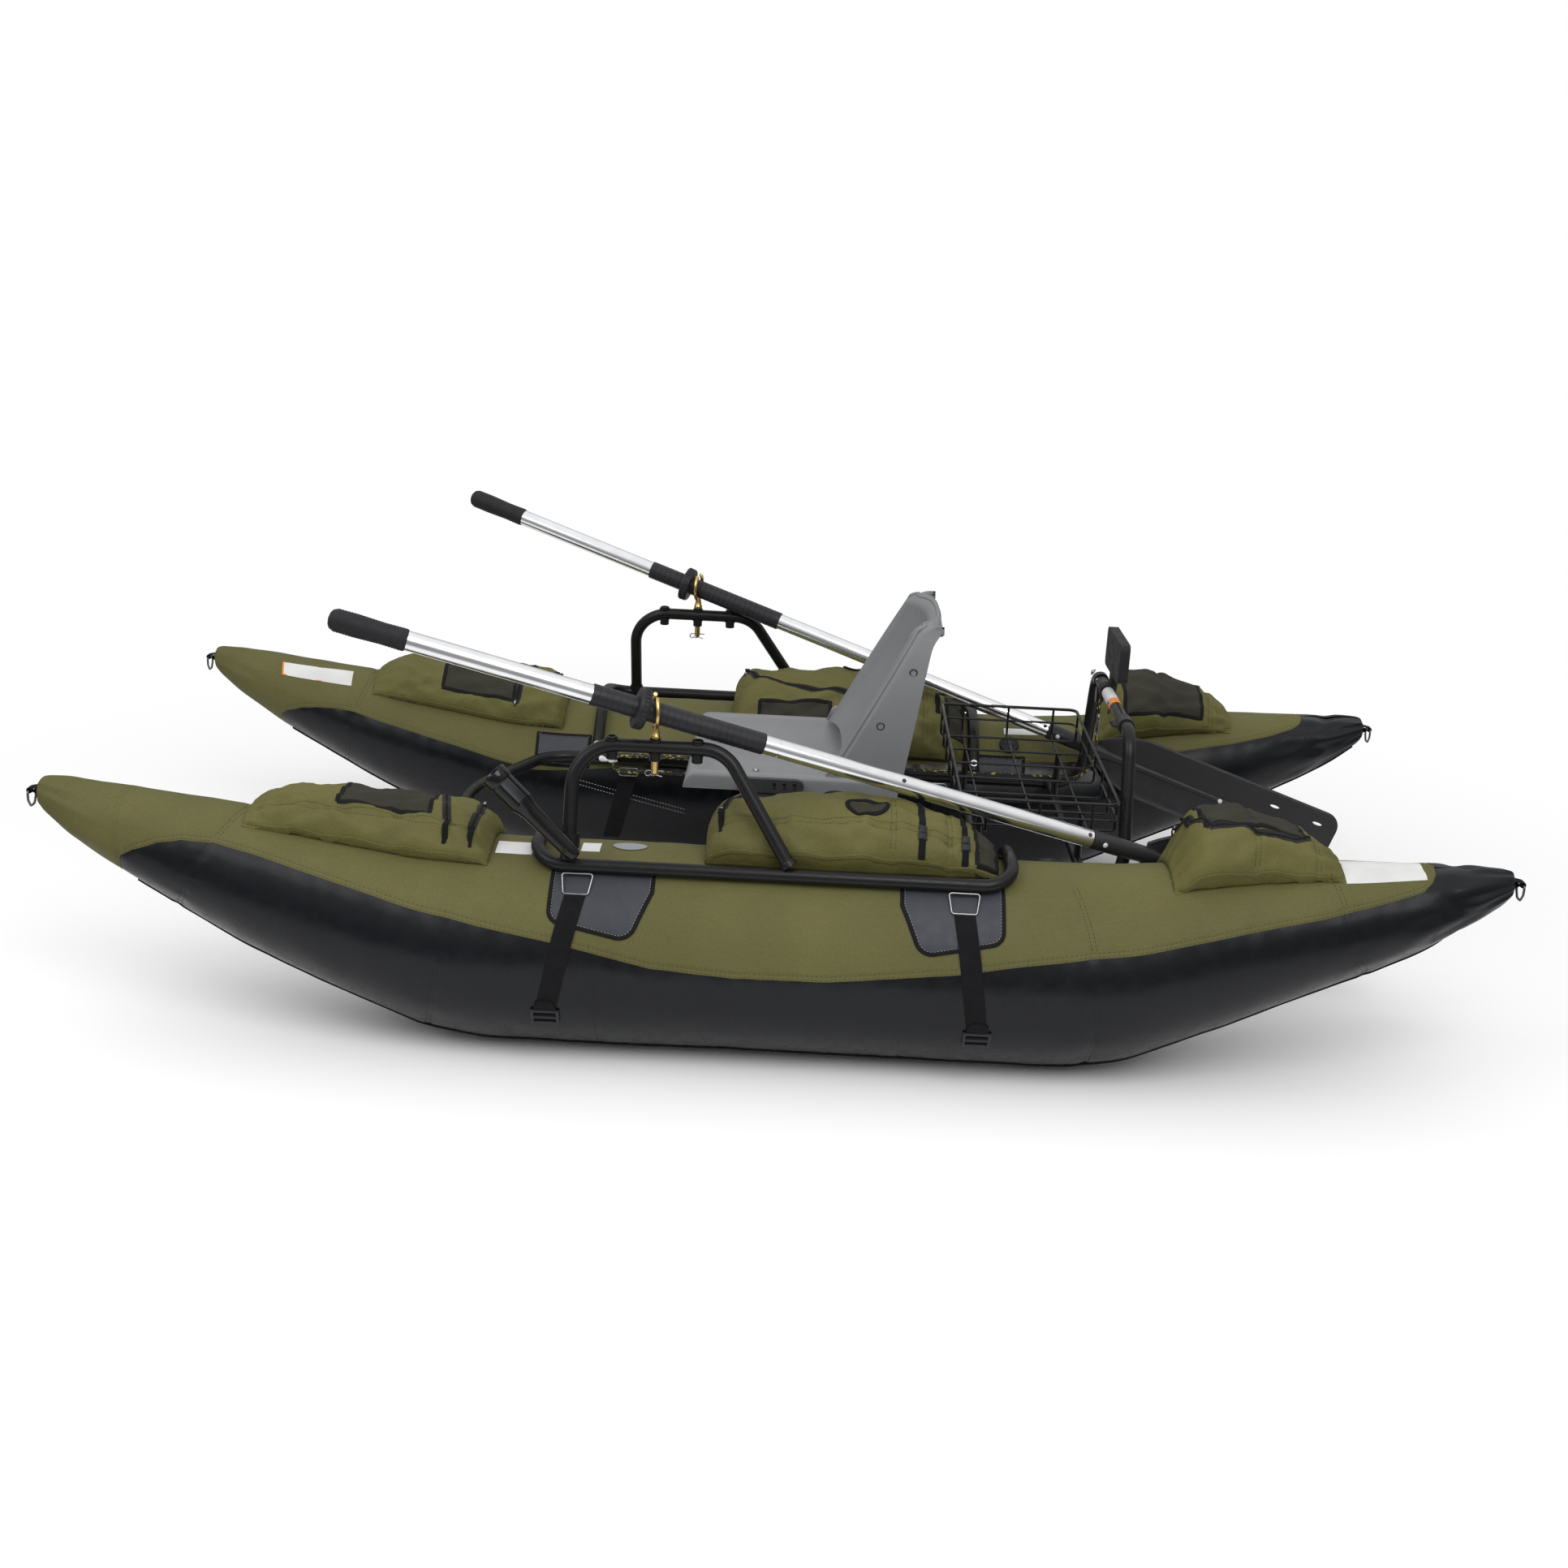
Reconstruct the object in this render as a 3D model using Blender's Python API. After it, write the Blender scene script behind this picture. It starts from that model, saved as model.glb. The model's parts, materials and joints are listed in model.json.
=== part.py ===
"""Inflatable pontoon boat with a tube frame, folding seat, two oars, bags and a rear basket.

The bow points along -X, the stern along +X, port is -Y and starboard is +Y.
The origin is under the middle of the boat, on the surface that the pontoons rest on.
All lengths are in metres and all angles in degrees, unless a name says otherwise.
"""

import math

import bmesh
import bpy
from mathutils import Matrix, Vector

PORT = -1
STARBOARD = 1
SIDES = {"port": PORT, "starboard": STARBOARD}

# Fits
SEAT_GAP = 0.0003
RUNNING_GAP = 0.0006
CUT_OVERRUN = 0.002
MERGE_DISTANCE = 0.000001
SHARP_ANGLE = 35.0

# Facets and steps
OCTAGON = 8
HEXAGON = 6
CLAMP_FACETS = 16
FERRULE_FACETS = 12
HALF_ROUND_STEPS = 4
CORNER_STEPS = 3
CURVE_STEPS = 12
STEEP_SHARE = 0.9
MITRE_LIMIT_SHARE = 0.5

# Pontoons: heights and radii are shares of the mid radius, places are shares of the half length
PONTOON_RADIUS = 0.189
PONTOON_HALF_LENGTH = 1.35
PONTOON_HALF_SPACING = 0.502
PONTOON_FACETS = 20
COVER_WALL = 0.003
BLADDER_WALL = 0.002
PONTOON_STATION_SHARES = (
    (-1.0, 2.27, 0.085),
    (-0.992, 2.254, 0.16),
    (-0.955, 2.13, 0.27),
    (-0.889, 1.94, 0.404),
    (-0.704, 1.49, 0.695),
    (-0.607, 1.3, 0.81),
    (-0.467, 1.05, 0.958),
    (-0.385, 1.0, 1.0),
    (0.407, 1.0, 1.0),
    (0.489, 1.06, 0.97),
    (0.637, 1.36, 0.8),
    (0.726, 1.52, 0.67),
    (0.815, 1.67, 0.54),
    (0.889, 1.815, 0.408),
    (0.956, 1.975, 0.255),
    (0.992, 2.07, 0.15),
    (1.0, 2.085, 0.08),
)

# Inflation valves on the inboard shoulder near the stern
VALVE_X = 0.515
VALVE_ANGLE = 126.0
VALVE_PORT_RADIUS = 0.03
VALVE_NECK_RADIUS = 0.02
VALVE_NECK_HEIGHT = 0.006
VALVE_BORE_RADIUS = 0.009
VALVE_CAP_RADIUS = 0.022
VALVE_CAP_HEIGHT = 0.009
VALVE_CAP_RIB = 0.0016

# Tow rings at the four tips
TOW_RING_WIRE = 0.0022
TOW_EYE_WALL = 0.003
TOW_LOOP_WIDTH = 0.022
TOW_TAB_THICKNESS = 0.004
TOW_RING_WIDTH = 0.034
TOW_RING_DROP = 0.03
TOW_RING_CORNER = 0.005

# Frame tubes
FRAME_TUBE_RADIUS = 0.0127
FRAME_TUBE_FACETS = OCTAGON
BEND_STEPS = 4
WIRE_FACETS = HEXAGON
WIRE_BEND_STEPS = 1
PAD_THICKNESS = 0.0016
SIDE_RAIL_ANGLE = 63.3
INNER_RAIL_ANGLE = 152.0
SADDLE_FRONT_X = -0.425
SADDLE_REAR_X = 0.432
SADDLE_CORNER = 0.055
SADDLE_STEPS = 7

# Oar arch: a leaning loop that stands on the side rail and carries the oarlock sockets
ARCH_FRONT_X = -0.364
ARCH_REAR_X = 0.028
ARCH_SHOULDER_X = -0.094
ARCH_TOP_OVERHANG = 0.029
ARCH_TOP_OUT = PONTOON_HALF_SPACING + ARCH_TOP_OVERHANG
ARCH_TOP_Z = 0.577
ARCH_FRONT_BEND = 0.08
ARCH_REAR_BEND = 0.07
SOCKET_X = (-0.296, -0.2185, -0.143)
OARLOCK_SOCKET = 1
SOCKET_RADIUS = 0.0098
SOCKET_BORE = 0.0067
SOCKET_ABOVE = 0.004
SOCKET_BELOW = 0.013
SOCKET_FACETS = OCTAGON

# Centre frame: foot bar in front, two inner rails and the rear arch
FOOT_BAR_JOINT_X = -0.21
FOOT_BAR_SHOULDER_X = -0.535
FOOT_BAR_APEX_X = -0.69
FOOT_BAR_SHOULDER_BEND = 0.09
FOOT_BAR_APEX_BEND = 0.27
REAR_ARCH_X = 0.675
REAR_ARCH_LOW_BEND = 0.06
REAR_ARCH_HIGH_BEND = 0.06
REAR_ARCH_TOP_INSET = 0.0878
REAR_ARCH_TOP_Z = 0.56
CROSS_BAR_RADIUS = 0.0105
CROSS_BAR_FACETS = OCTAGON

# Straps with their triangle rings and ladder buckles
STRAP_FRONT_X = -0.362
STRAP_REAR_X = 0.345
STRAP_SLANT = -0.035
STRAP_WIDTH = 0.038
STRAP_THICKNESS = 0.0016
STRAP_TOP_ANGLE = 44.0
STRAP_LOW_ANGLE = -22.0
STRAP_RING_WIRE = 0.002
STRAP_RING_WIDTH = 0.044
STRAP_RING_TOP_WIDTH = 0.056
STRAP_RING_LEAN = 0.0062
BUCKLE_LENGTH = 0.034
BUCKLE_WIDTH = 0.05
BUCKLE_THICKNESS = 0.006
BUCKLE_BAR = 0.006

# Pads under the frame
PAD_FRONT_X = -0.3
PAD_REAR_X = 0.325
PAD_HALF_LENGTH = 0.093
PAD_TONGUE_SHARE = 0.45
PAD_LOW_ANGLE = 25.0
PAD_FULL_ANGLE = 45.0
PAD_TOP_ANGLE = 66.0
PAD_CLEAR_ANGLE = 4.0

# Oars: distances run along the shaft from the oarlock towards the blade
OAR_PIVOT_X = SOCKET_X[OARLOCK_SOCKET]
OAR_PIVOT_Z = 0.64
OAR_INWARD_SHARE = 0.19
OAR_FALL_SHARE = 0.29
OAR_FACETS = 14
SHAFT_RADIUS = 0.0175
SHAFT_WALL = 0.0014
SHAFT_START = -0.47
SHAFT_END = 0.87
SLEEVE_RADIUS = 0.0197
SLEEVE_START = -0.12
SLEEVE_END = 0.205
COLLAR_RADIUS = 0.039
COLLAR_LENGTH = 0.021
COLLAR_START = -0.0375
COLLAR_CHAMFER = 0.004
GRIP_START = -0.585
GRIP_LENGTH = 0.135
GRIP_RADIUS = 0.0205
GRIP_SHAPE_SHARES = (
    (0.0, 0.0),
    (0.012, 0.5),
    (0.04, 0.8),
    (0.1, 0.98),
    (0.35, 1.0),
    (0.7, 0.93),
    (0.97, 0.97),
    (1.0, 0.92),
)
FERRULE_END = 1.0
FERRULE_RADIUS = 0.016
BLADE_START = 0.985
BLADE_SHOULDER = 1.085
BLADE_END = 1.545
BLADE_HALF_WIDTH = 0.07
BLADE_ROOT_HALF_WIDTH = 0.026
BLADE_THICKNESS = 0.006
BLADE_DISH = 0.008
BLADE_TIP_ROUND = 0.035
BLADE_RIB_RADIUS = 0.009
BLADE_RIB_END = 1.34
BLADE_SLOT_LENGTH = 0.03
BLADE_SLOT_WIDTH = 0.008
BLADE_SLOT_PLACES = (1.4, 1.5)

# Oarlocks: an open round horn on a pin, held by a hairpin
HORN_WIRE = 0.0045
HORN_INNER = 0.0255
HORN_GAP_ANGLE = 64.0
HORN_STEPS = 16
OARLOCK_PIN_RADIUS = 0.0062
OARLOCK_PIN_BELOW = 0.026
OARLOCK_NECK_RADIUS = 0.0085
HAIRPIN_WIRE = 0.0011
HAIRPIN_HOLE = 0.0016
HAIRPIN_RISE = 0.007
HAIRPIN_LEG = 0.03
HAIRPIN_LOOP = 0.005

# Seat
SEAT_FRONT_X = -0.19
SEAT_REAR_X = 0.235
SEAT_HALF_WIDTH = 0.22
SEAT_RIM_Z = 0.435
SEAT_PAN_Z = 0.4
SEAT_SKIRT = 0.034
SEAT_WALL = 0.004
SEAT_RIM_WIDTH = 0.016
SEAT_HINGE_X = 0.114
SEAT_HINGE_Z = 0.45
SEAT_HINGE_RADIUS = 0.005
SEAT_BOLT_HEAD_RADIUS = 0.009
SEAT_BOLT_HEAD_LENGTH = 0.004
SEAT_EAR_WIDTH = 0.01
SEAT_EAR_RADIUS = 0.015
SEAT_EAR_SETBACK = 0.0097
SEAT_BACK_HALF_WIDTH = SEAT_HALF_WIDTH - SEAT_EAR_SETBACK - SEAT_EAR_WIDTH - SEAT_GAP
SEAT_BACK_WALL = 0.005
SEAT_BACK_LOW_Z = 0.443
SEAT_BACK_TOP_Z = 0.728
SEAT_BACK_LEVELS = 6
SEAT_BACK_ROLL = 0.02
SEAT_BACK_ROLL_RISE = 0.006
BACK_FRONT_LOW_X = 0.098
BACK_FRONT_TOP_X = 0.25
BACK_REAR_LOW_X = 0.245
BACK_REAR_TOP_X = 0.29
BACK_TOP_HALF_WIDTH = 0.168
BACK_DISH = 0.03
BACK_CORNER = 0.022
BACK_HOLE_RADIUS = 0.006
BACK_HOLE_SHARES = (0.34, 0.72)
SEAT_DISH_SHARES = (
    (0.0, 0.0, 1.0),
    (0.012, 0.0, 0.35),
    (0.05, 0.25, 0.0),
    (0.16, 0.85, 0.0),
    (0.35, 1.0, 0.0),
    (0.65, 1.0, 0.0),
    (0.85, 0.8, 0.0),
    (1.0, 0.6, 0.0),
)
SEAT_PAN_SHARES = ((0.72, 0.86), (0.45, 1.0), (0.15, 0.9))
BRACKET_X = (-0.08, 0.05)
BRACKET_Z = (0.402, 0.43)
BRACKET_THICKNESS = 0.012
BRACKET_SLOT_WIDTH = 0.007
BRACKET_SLOT_HEIGHT = 0.014
BRACKET_SLOT_X = (-0.009, 0.011, 0.031)
SEAT_BAR_X = (-0.08, 0.17)
MOUNT_HALF_WIDTH = 0.11
MOUNT_FOOT = 0.03
MOUNT_PLATE = 0.004
MOUNT_OVERHANG = 0.018

# Wire basket
BASKET_X = (0.35, 0.652)
BASKET_OVERHANG = 0.0122
BASKET_RIM_Z = 0.447
BASKET_FLOOR_Z = 0.383
BASKET_WIRE = 0.0026
BASKET_RIM_WIRE = 0.0034
BASKET_LONG_WIRES = 7
BASKET_LONG_SPREAD = 0.3
BASKET_CROSS_WIRES = 3
BASKET_CORNER = 0.018
BASKET_FACETS = 4
BASKET_LONG_TURN = 8.0
BASKET_CROSS_TURN = 21.0
BASKET_FOOT_TURN = 4.0
BASKET_FOOT_OUT = 0.2

# Rod holder
ROD_CLAMP_Z = 0.41
ROD_LEAN = 45.0
ROD_CUP_RADIUS = 0.0225
ROD_CUP_BORE = 0.0195
ROD_CUP_START = 0.095
ROD_CUP_END = 0.185
ROD_CONE_LENGTH = 0.018
ROD_STEM_RADIUS = 0.013
ROD_STEM_END = -0.024
ROD_CAP_RADIUS = 0.0245
ROD_CAP_LENGTH = 0.02
ROD_CUT_WIDTH = 0.02
ROD_CUT_LENGTH = 0.05
ROD_CLAMP_LENGTH = 0.026
ROD_CLAMP_WALL = 0.006
ROD_BOSS_RADIUS = 0.011
ROD_PIN_RADIUS = 0.005
ROD_FACETS = 14

# Bags: places along the boat, heights above the pontoon and the angles of their lower edges
BAG_GAP = 0.0005
FRONT_BAG_X = (-0.965, -0.505)
FRONT_BAG_HEIGHT = 0.068
FRONT_BAG_ANGLES = (64.0, 131.0)
FRONT_BAG_SHARES = (
    (0.0, 0.16),
    (0.05, 0.42),
    (0.12, 0.66),
    (0.22, 0.84),
    (0.4, 0.97),
    (0.75, 1.0),
    (0.9, 0.88),
    (0.97, 0.6),
    (1.0, 0.25),
)
MIDDLE_BAG_X = (-0.125, 0.414)
MIDDLE_BAG_HEIGHT = 0.116
MIDDLE_BAG_ANGLES = (73.0, 142.0)
MIDDLE_BAG_SHARES = (
    (0.0, 0.35),
    (0.02, 0.66),
    (0.07, 0.9),
    (0.33, 1.0),
    (0.63, 0.94),
    (0.79, 0.72),
    (0.88, 0.58),
    (0.96, 0.38),
    (1.0, 0.2),
)
REAR_BAG_X = (0.715, 1.03)
REAR_BAG_HEIGHT = 0.102
REAR_BAG_ANGLES = (62.0, 128.0)
REAR_BAG_SHARES = (
    (0.0, 0.1),
    (0.05, 0.2),
    (0.11, 0.45),
    (0.17, 0.8),
    (0.26, 0.96),
    (0.45, 1.0),
    (0.7, 0.8),
    (0.86, 0.56),
    (0.96, 0.25),
    (1.0, 0.1),
)
BAG_ARC_POINTS = 11
BAG_SHAPE_POWER = 2.6
BAG_ROOT_SHARE = 0.86

# Fittings clamped round the top bar of the rear arch
BAR_CLAMP_WALL = 0.0035
PULLEY_INSET = 0.057
PULLEY_CLAMP_LENGTH = 0.02
PULLEY_DROP = 0.037
SHEAVE_RADIUS = 0.016
SHEAVE_WIDTH = 0.009
SHEAVE_GROOVE = 0.004
SHEAVE_FLANGE = 0.0012
SHEAVE_AXLE = 0.003
PULLEY_CHEEK = 0.0025
PULLEY_CHEEK_WIDTH = 0.026
CLIP_WIRE = 0.0022
CLIP_LENGTH = 0.048
CLIP_WIDTH = 0.014
CLIP_DROP = 0.035
CLIP_BEND_SHARE = 0.85
BOARD_DEPTH = 0.02
BOARD_WIDTH = 0.185
BOARD_HEIGHT = 0.083
BOARD_INSET = 0.145
BOARD_LIFT = 0.02
BOARD_ROUND = 0.012
BOARD_SETBACK = 0.005
BOARD_POST = 0.03
CLEAT_INSET = 0.07
CLEAT_LENGTH = 0.036
CLEAT_TEETH = 3
CLEAT_PLATE = 0.004
CLEAT_RISE = 0.014
CLEAT_TOOTH = 0.006

# Anchor rope: places chosen by hand after the sheave, as x, distance outboard of the inner rail and height
ROPE_RADIUS = 0.003
ROPE_STEP = 0.018
ROPE_ARC_POINTS = 8
ANCHOR_ROPE_ROUTE = (
    (0.677, -0.1228, 0.49),
    (0.684, -0.1048, 0.43),
    (0.687, -0.0798, 0.37),
    (0.676, -0.0568, 0.325),
    (0.645, -0.0368, 0.302),
    (0.6, -0.0218, 0.2985),
    (0.52, -0.0198, 0.298),
    (0.4, -0.0208, 0.2978),
    (0.26, -0.0198, 0.298),
    (0.12, -0.0198, 0.2978),
    (0.0, -0.0188, 0.2978),
    (-0.11, -0.0183, 0.298),
    (-0.2, -0.0178, 0.2995),
)
HANK_FRONT_X = -0.365
HANK_REAR_X = -0.222
HANK_HALF_HEIGHT = 0.019
HANK_PITCH = 0.0072
HANK_TURNS = 2.6
HANK_RUN_POINTS = 5
HANK_ARC_POINTS = 7
LEAST_GAP_STEPS = 4


def clear_scene():
    for old in list(bpy.data.objects):
        bpy.data.objects.remove(old, do_unlink=True)


def material(name, color, roughness, metallic=0.0):
    made = bpy.data.materials.get(name)
    if made is None:
        made = bpy.data.materials.new(name)
        made.use_nodes = True
        shader = made.node_tree.nodes["Principled BSDF"]
        shader.inputs["Base Color"].default_value = (*color, 1.0)
        shader.inputs["Roughness"].default_value = roughness
        shader.inputs["Metallic"].default_value = metallic
    return made


def olive_fabric():
    return material("olive_fabric", (0.19, 0.19, 0.055), 0.85)


def bladder_film():
    return material("bladder_film", (0.5, 0.55, 0.6), 0.35)


def black_steel():
    return material("black_steel", (0.02, 0.02, 0.022), 0.4, 0.2)


def bright_aluminium():
    return material("bright_aluminium", (0.8, 0.8, 0.8), 0.25, 1.0)


def black_plastic():
    return material("black_plastic", (0.025, 0.025, 0.028), 0.5)


def grey_plastic():
    return material("grey_plastic", (0.35, 0.36, 0.37), 0.5)


def brass():
    return material("brass", (0.6, 0.42, 0.15), 0.3, 1.0)


def bright_steel():
    return material("bright_steel", (0.7, 0.7, 0.7), 0.25, 1.0)


def webbing():
    return material("webbing", (0.02, 0.02, 0.02), 0.9)


def pad_vinyl():
    return material("pad_vinyl", (0.08, 0.09, 0.11), 0.6)


def rope_black():
    return material("rope_black", (0.03, 0.03, 0.02), 0.8)


def new_object(name, bm, surface, origin=None):
    """Turn a bmesh in world places into an object whose origin is at the given point."""
    bmesh.ops.remove_doubles(bm, verts=bm.verts, dist=MERGE_DISTANCE)
    bmesh.ops.recalc_face_normals(bm, faces=bm.faces)
    mesh = bpy.data.meshes.new(name)
    bm.to_mesh(mesh)
    bm.free()
    made = bpy.data.objects.new(name, mesh)
    bpy.context.scene.collection.objects.link(made)
    mesh.materials.append(surface)
    if origin is not None:
        mesh.transform(Matrix.Translation(-Vector(origin)))
        made.location = Vector(origin)
    finish(made)
    return made


def finish(made):
    made.data.shade_smooth()
    made.data.set_sharp_from_angle(angle=math.radians(SHARP_ANGLE))


def combine(base, others, operation, solver="EXACT"):
    """Apply Booleans to base in turn and remove the other objects."""
    for other in others:
        step = base.modifiers.new("step", "BOOLEAN")
        step.operation = operation
        step.object = other
        step.solver = solver
        bpy.context.view_layer.update()
        graph = bpy.context.evaluated_depsgraph_get()
        result = bpy.data.meshes.new_from_object(base.evaluated_get(graph))
        base.modifiers.clear()
        base.data = result
        bpy.data.objects.remove(other, do_unlink=True)
    finish(base)
    return base


def keep_main_body(made):
    """Drop the slivers that a union leaves where wires barely cross."""
    bm = bmesh.new()
    bm.from_mesh(made.data)
    bodies = []
    waiting = set(bm.verts)
    while waiting:
        body = set()
        edge_front = [waiting.pop()]
        while edge_front:
            vert = edge_front.pop()
            body.add(vert)
            for edge in vert.link_edges:
                other = edge.other_vert(vert)
                if other in waiting:
                    waiting.remove(other)
                    edge_front.append(other)
        bodies.append(body)
    bodies.sort(key=len)
    for body in bodies[:-1]:
        bmesh.ops.delete(bm, geom=list(body), context="VERTS")
    bm.to_mesh(made.data)
    bm.free()
    finish(made)
    return made


def add_rings(bm, rings, closed_ends=True, closed_loop=False):
    """Skin a list of equal rings; the ends are capped unless the rings form a loop."""
    rows = [[bm.verts.new(point) for point in ring] for ring in rings]
    count = len(rows[0])
    pairs = list(zip(rows, rows[1:]))
    if closed_loop:
        pairs.append((rows[-1], rows[0]))
    for low, high in pairs:
        for i in range(count):
            j = (i + 1) % count
            bm.faces.new((low[i], low[j], high[j], high[i]))
    if closed_ends and not closed_loop:
        bm.faces.new(rows[0])
        bm.faces.new(list(reversed(rows[-1])))
    return rows


def frames_along(path, closed):
    """Tangents and steady side directions along a path."""
    count = len(path)
    tangents = []
    for i, point in enumerate(path):
        before = path[i - 1] if closed or i > 0 else point
        after = path[(i + 1) % count] if closed or i < count - 1 else point
        tangents.append((after - before).normalized())
    guide = Vector((0, 0, 1))
    if abs(tangents[0].dot(guide)) > STEEP_SHARE:
        guide = Vector((0, 1, 0))
    side = tangents[0].cross(guide).normalized()
    frames = []
    for tangent in tangents:
        side = (side - tangent * side.dot(tangent)).normalized()
        frames.append((tangent, side, tangent.cross(side)))
    return frames


def add_tube(bm, path, radius, facets, closed=False, turn=0.0):
    """Sweep a round section along a path, mitred at each point."""
    path = [Vector(point) for point in path]
    frames = frames_along(path, closed)
    rings = []
    for i, (point, (tangent, side, up)) in enumerate(zip(path, frames)):
        stretch = 1.0
        if closed or 0 < i < len(path) - 1:
            ahead = (path[(i + 1) % len(path)] - point).normalized()
            stretch = 1.0 / max(ahead.dot(tangent), MITRE_LIMIT_SHARE)
            bend = ahead - tangent * ahead.dot(tangent)
            across = bend.normalized() if bend.length > MERGE_DISTANCE else side
        else:
            across = side
        ring = []
        for k in range(facets):
            angle = math.radians(turn) + 2 * math.pi * (k + 0.5) / facets
            spoke = side * math.cos(angle) + up * math.sin(angle)
            spoke = spoke + across * spoke.dot(across) * (stretch - 1.0)
            ring.append(point + spoke * radius)
        rings.append(ring)
    add_rings(bm, rings, closed_loop=closed)


def add_turned(bm, start, direction, profile, facets, turn=0.0):
    """Turn a profile of (distance, radius) pairs about a line; radius 0 closes to a point."""
    direction = Vector(direction).normalized()
    start = Vector(start)
    guide = Vector((0, 0, 1)) if abs(direction.z) < STEEP_SHARE else Vector((1, 0, 0))
    side = direction.cross(guide).normalized()
    up = direction.cross(side)
    rows = []
    for distance, radius in profile:
        centre = start + direction * distance
        if radius <= 0:
            rows.append([bm.verts.new(centre)])
            continue
        ring = []
        for k in range(facets):
            angle = math.radians(turn) + 2 * math.pi * (k + 0.5) / facets
            ring.append(bm.verts.new(centre + (side * math.cos(angle) + up * math.sin(angle)) * radius))
        rows.append(ring)
    for low, high in zip(rows, rows[1:]):
        for k in range(facets):
            j = (k + 1) % facets
            if len(low) == 1:
                bm.faces.new((low[0], high[j], high[k]))
            elif len(high) == 1:
                bm.faces.new((low[k], low[j], high[0]))
            else:
                bm.faces.new((low[k], low[j], high[j], high[k]))
    if len(rows[0]) > 1:
        bm.faces.new(rows[0])
    if len(rows[-1]) > 1:
        bm.faces.new(list(reversed(rows[-1])))


def add_hollow_turned(bm, start, direction, outer, inner, facets):
    """A turned wall open at both ends, from two (distance, radius) profiles of one direction."""
    direction = Vector(direction).normalized()
    start = Vector(start)
    guide = Vector((0, 0, 1)) if abs(direction.z) < STEEP_SHARE else Vector((1, 0, 0))
    side = direction.cross(guide).normalized()
    up = direction.cross(side)
    rings = []
    for distance, radius in list(outer) + list(reversed(inner)):
        centre = start + direction * distance
        ring = []
        for k in range(facets):
            angle = 2 * math.pi * (k + 0.5) / facets
            ring.append(centre + (side * math.cos(angle) + up * math.sin(angle)) * radius)
        rings.append(ring)
    add_rings(bm, rings, closed_loop=True)


def add_box(bm, low, high):
    corners = [(x, y, z) for x in (low[0], high[0]) for y in (low[1], high[1]) for z in (low[2], high[2])]
    verts = [bm.verts.new(corner) for corner in corners]
    for face in ((0, 1, 3, 2), (4, 6, 7, 5), (0, 4, 5, 1), (2, 3, 7, 6), (0, 2, 6, 4), (1, 5, 7, 3)):
        bm.faces.new([verts[i] for i in face])


def box_object(name, low, high, surface):
    bm = bmesh.new()
    low_corner = [min(a, b) for a, b in zip(low, high)]
    high_corner = [max(a, b) for a, b in zip(low, high)]
    add_box(bm, low_corner, high_corner)
    return new_object(name, bm, surface)


def tube_object(name, path, radius, facets, surface, closed=False, turn=0.0, origin=None):
    bm = bmesh.new()
    add_tube(bm, path, radius, facets, closed, turn)
    return new_object(name, bm, surface, origin)


def turned_object(name, start, direction, profile, facets, surface, origin=None):
    bm = bmesh.new()
    add_turned(bm, start, direction, profile, facets)
    return new_object(name, bm, surface, origin)


def rounded_path(corners, bends, steps):
    """Straight runs between corners, each inner corner rounded to its bend radius."""
    corners = [Vector(corner) for corner in corners]
    path = [corners[0]]
    for i in range(1, len(corners) - 1):
        corner = corners[i]
        back = (corners[i - 1] - corner).normalized()
        ahead = (corners[i + 1] - corner).normalized()
        half = back.angle(ahead) / 2
        reach = bends[i - 1] / math.tan(half)
        start = corner + back * reach
        centre = corner + (back + ahead).normalized() * (bends[i - 1] / math.sin(half))
        sweep = math.pi - 2 * half
        spoke = start - centre
        axis = back.cross(ahead).normalized()
        for k in range(steps + 1):
            turned = Matrix.Rotation(-sweep * k / steps, 3, axis) @ spoke
            path.append(centre + turned)
    path.append(corners[-1])
    return path


def port_side(side, x, out, z):
    return Vector((x, side * out, z))


FACET_HALF = math.pi / PONTOON_FACETS
FRAME_TUBE_FLAT = FRAME_TUBE_RADIUS * math.cos(math.pi / FRAME_TUBE_FACETS)
CROSS_BAR_FLAT = CROSS_BAR_RADIUS * math.cos(math.pi / CROSS_BAR_FACETS)
SADDLE_RADIUS = PONTOON_RADIUS + PAD_THICKNESS + 2 * SEAT_GAP + FRAME_TUBE_FLAT
PONTOON_AXIS_Z = PONTOON_RADIUS * math.cos(FACET_HALF)
INNER_STATIONS = (0, 2, 3, 4, 6, 7, 8, 9, 11, 13, 15, 16)
INNER_STATION_SHARES = [PONTOON_STATION_SHARES[k] for k in INNER_STATIONS]
TOW_EYE_INNER = (TOW_RING_WIRE + RUNNING_GAP) / math.cos(math.pi / SOCKET_FACETS)
TOW_EYE_OUTER = TOW_EYE_INNER + TOW_EYE_WALL
HORN_DROP = (SLEEVE_RADIUS + HORN_WIRE + RUNNING_GAP) / math.sqrt(1 - OAR_FALL_SHARE**2) - HORN_WIRE
PONTOON_LIFT = PONTOON_AXIS_Z - PONTOON_RADIUS


def station_ring(side, share_x, share_z, share_r, inset):
    """One pontoon cross-section; angle 0 points outboard and 90 points up."""
    radius = PONTOON_RADIUS * share_r - inset
    x = PONTOON_HALF_LENGTH * share_x
    z = PONTOON_RADIUS * share_z + PONTOON_LIFT
    ring = []
    for k in range(PONTOON_FACETS):
        angle = FACET_HALF + 2 * math.pi * k / PONTOON_FACETS
        out = PONTOON_HALF_SPACING + radius * math.cos(angle)
        ring.append(port_side(side, x, out, z + radius * math.sin(angle)))
    return ring


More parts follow.
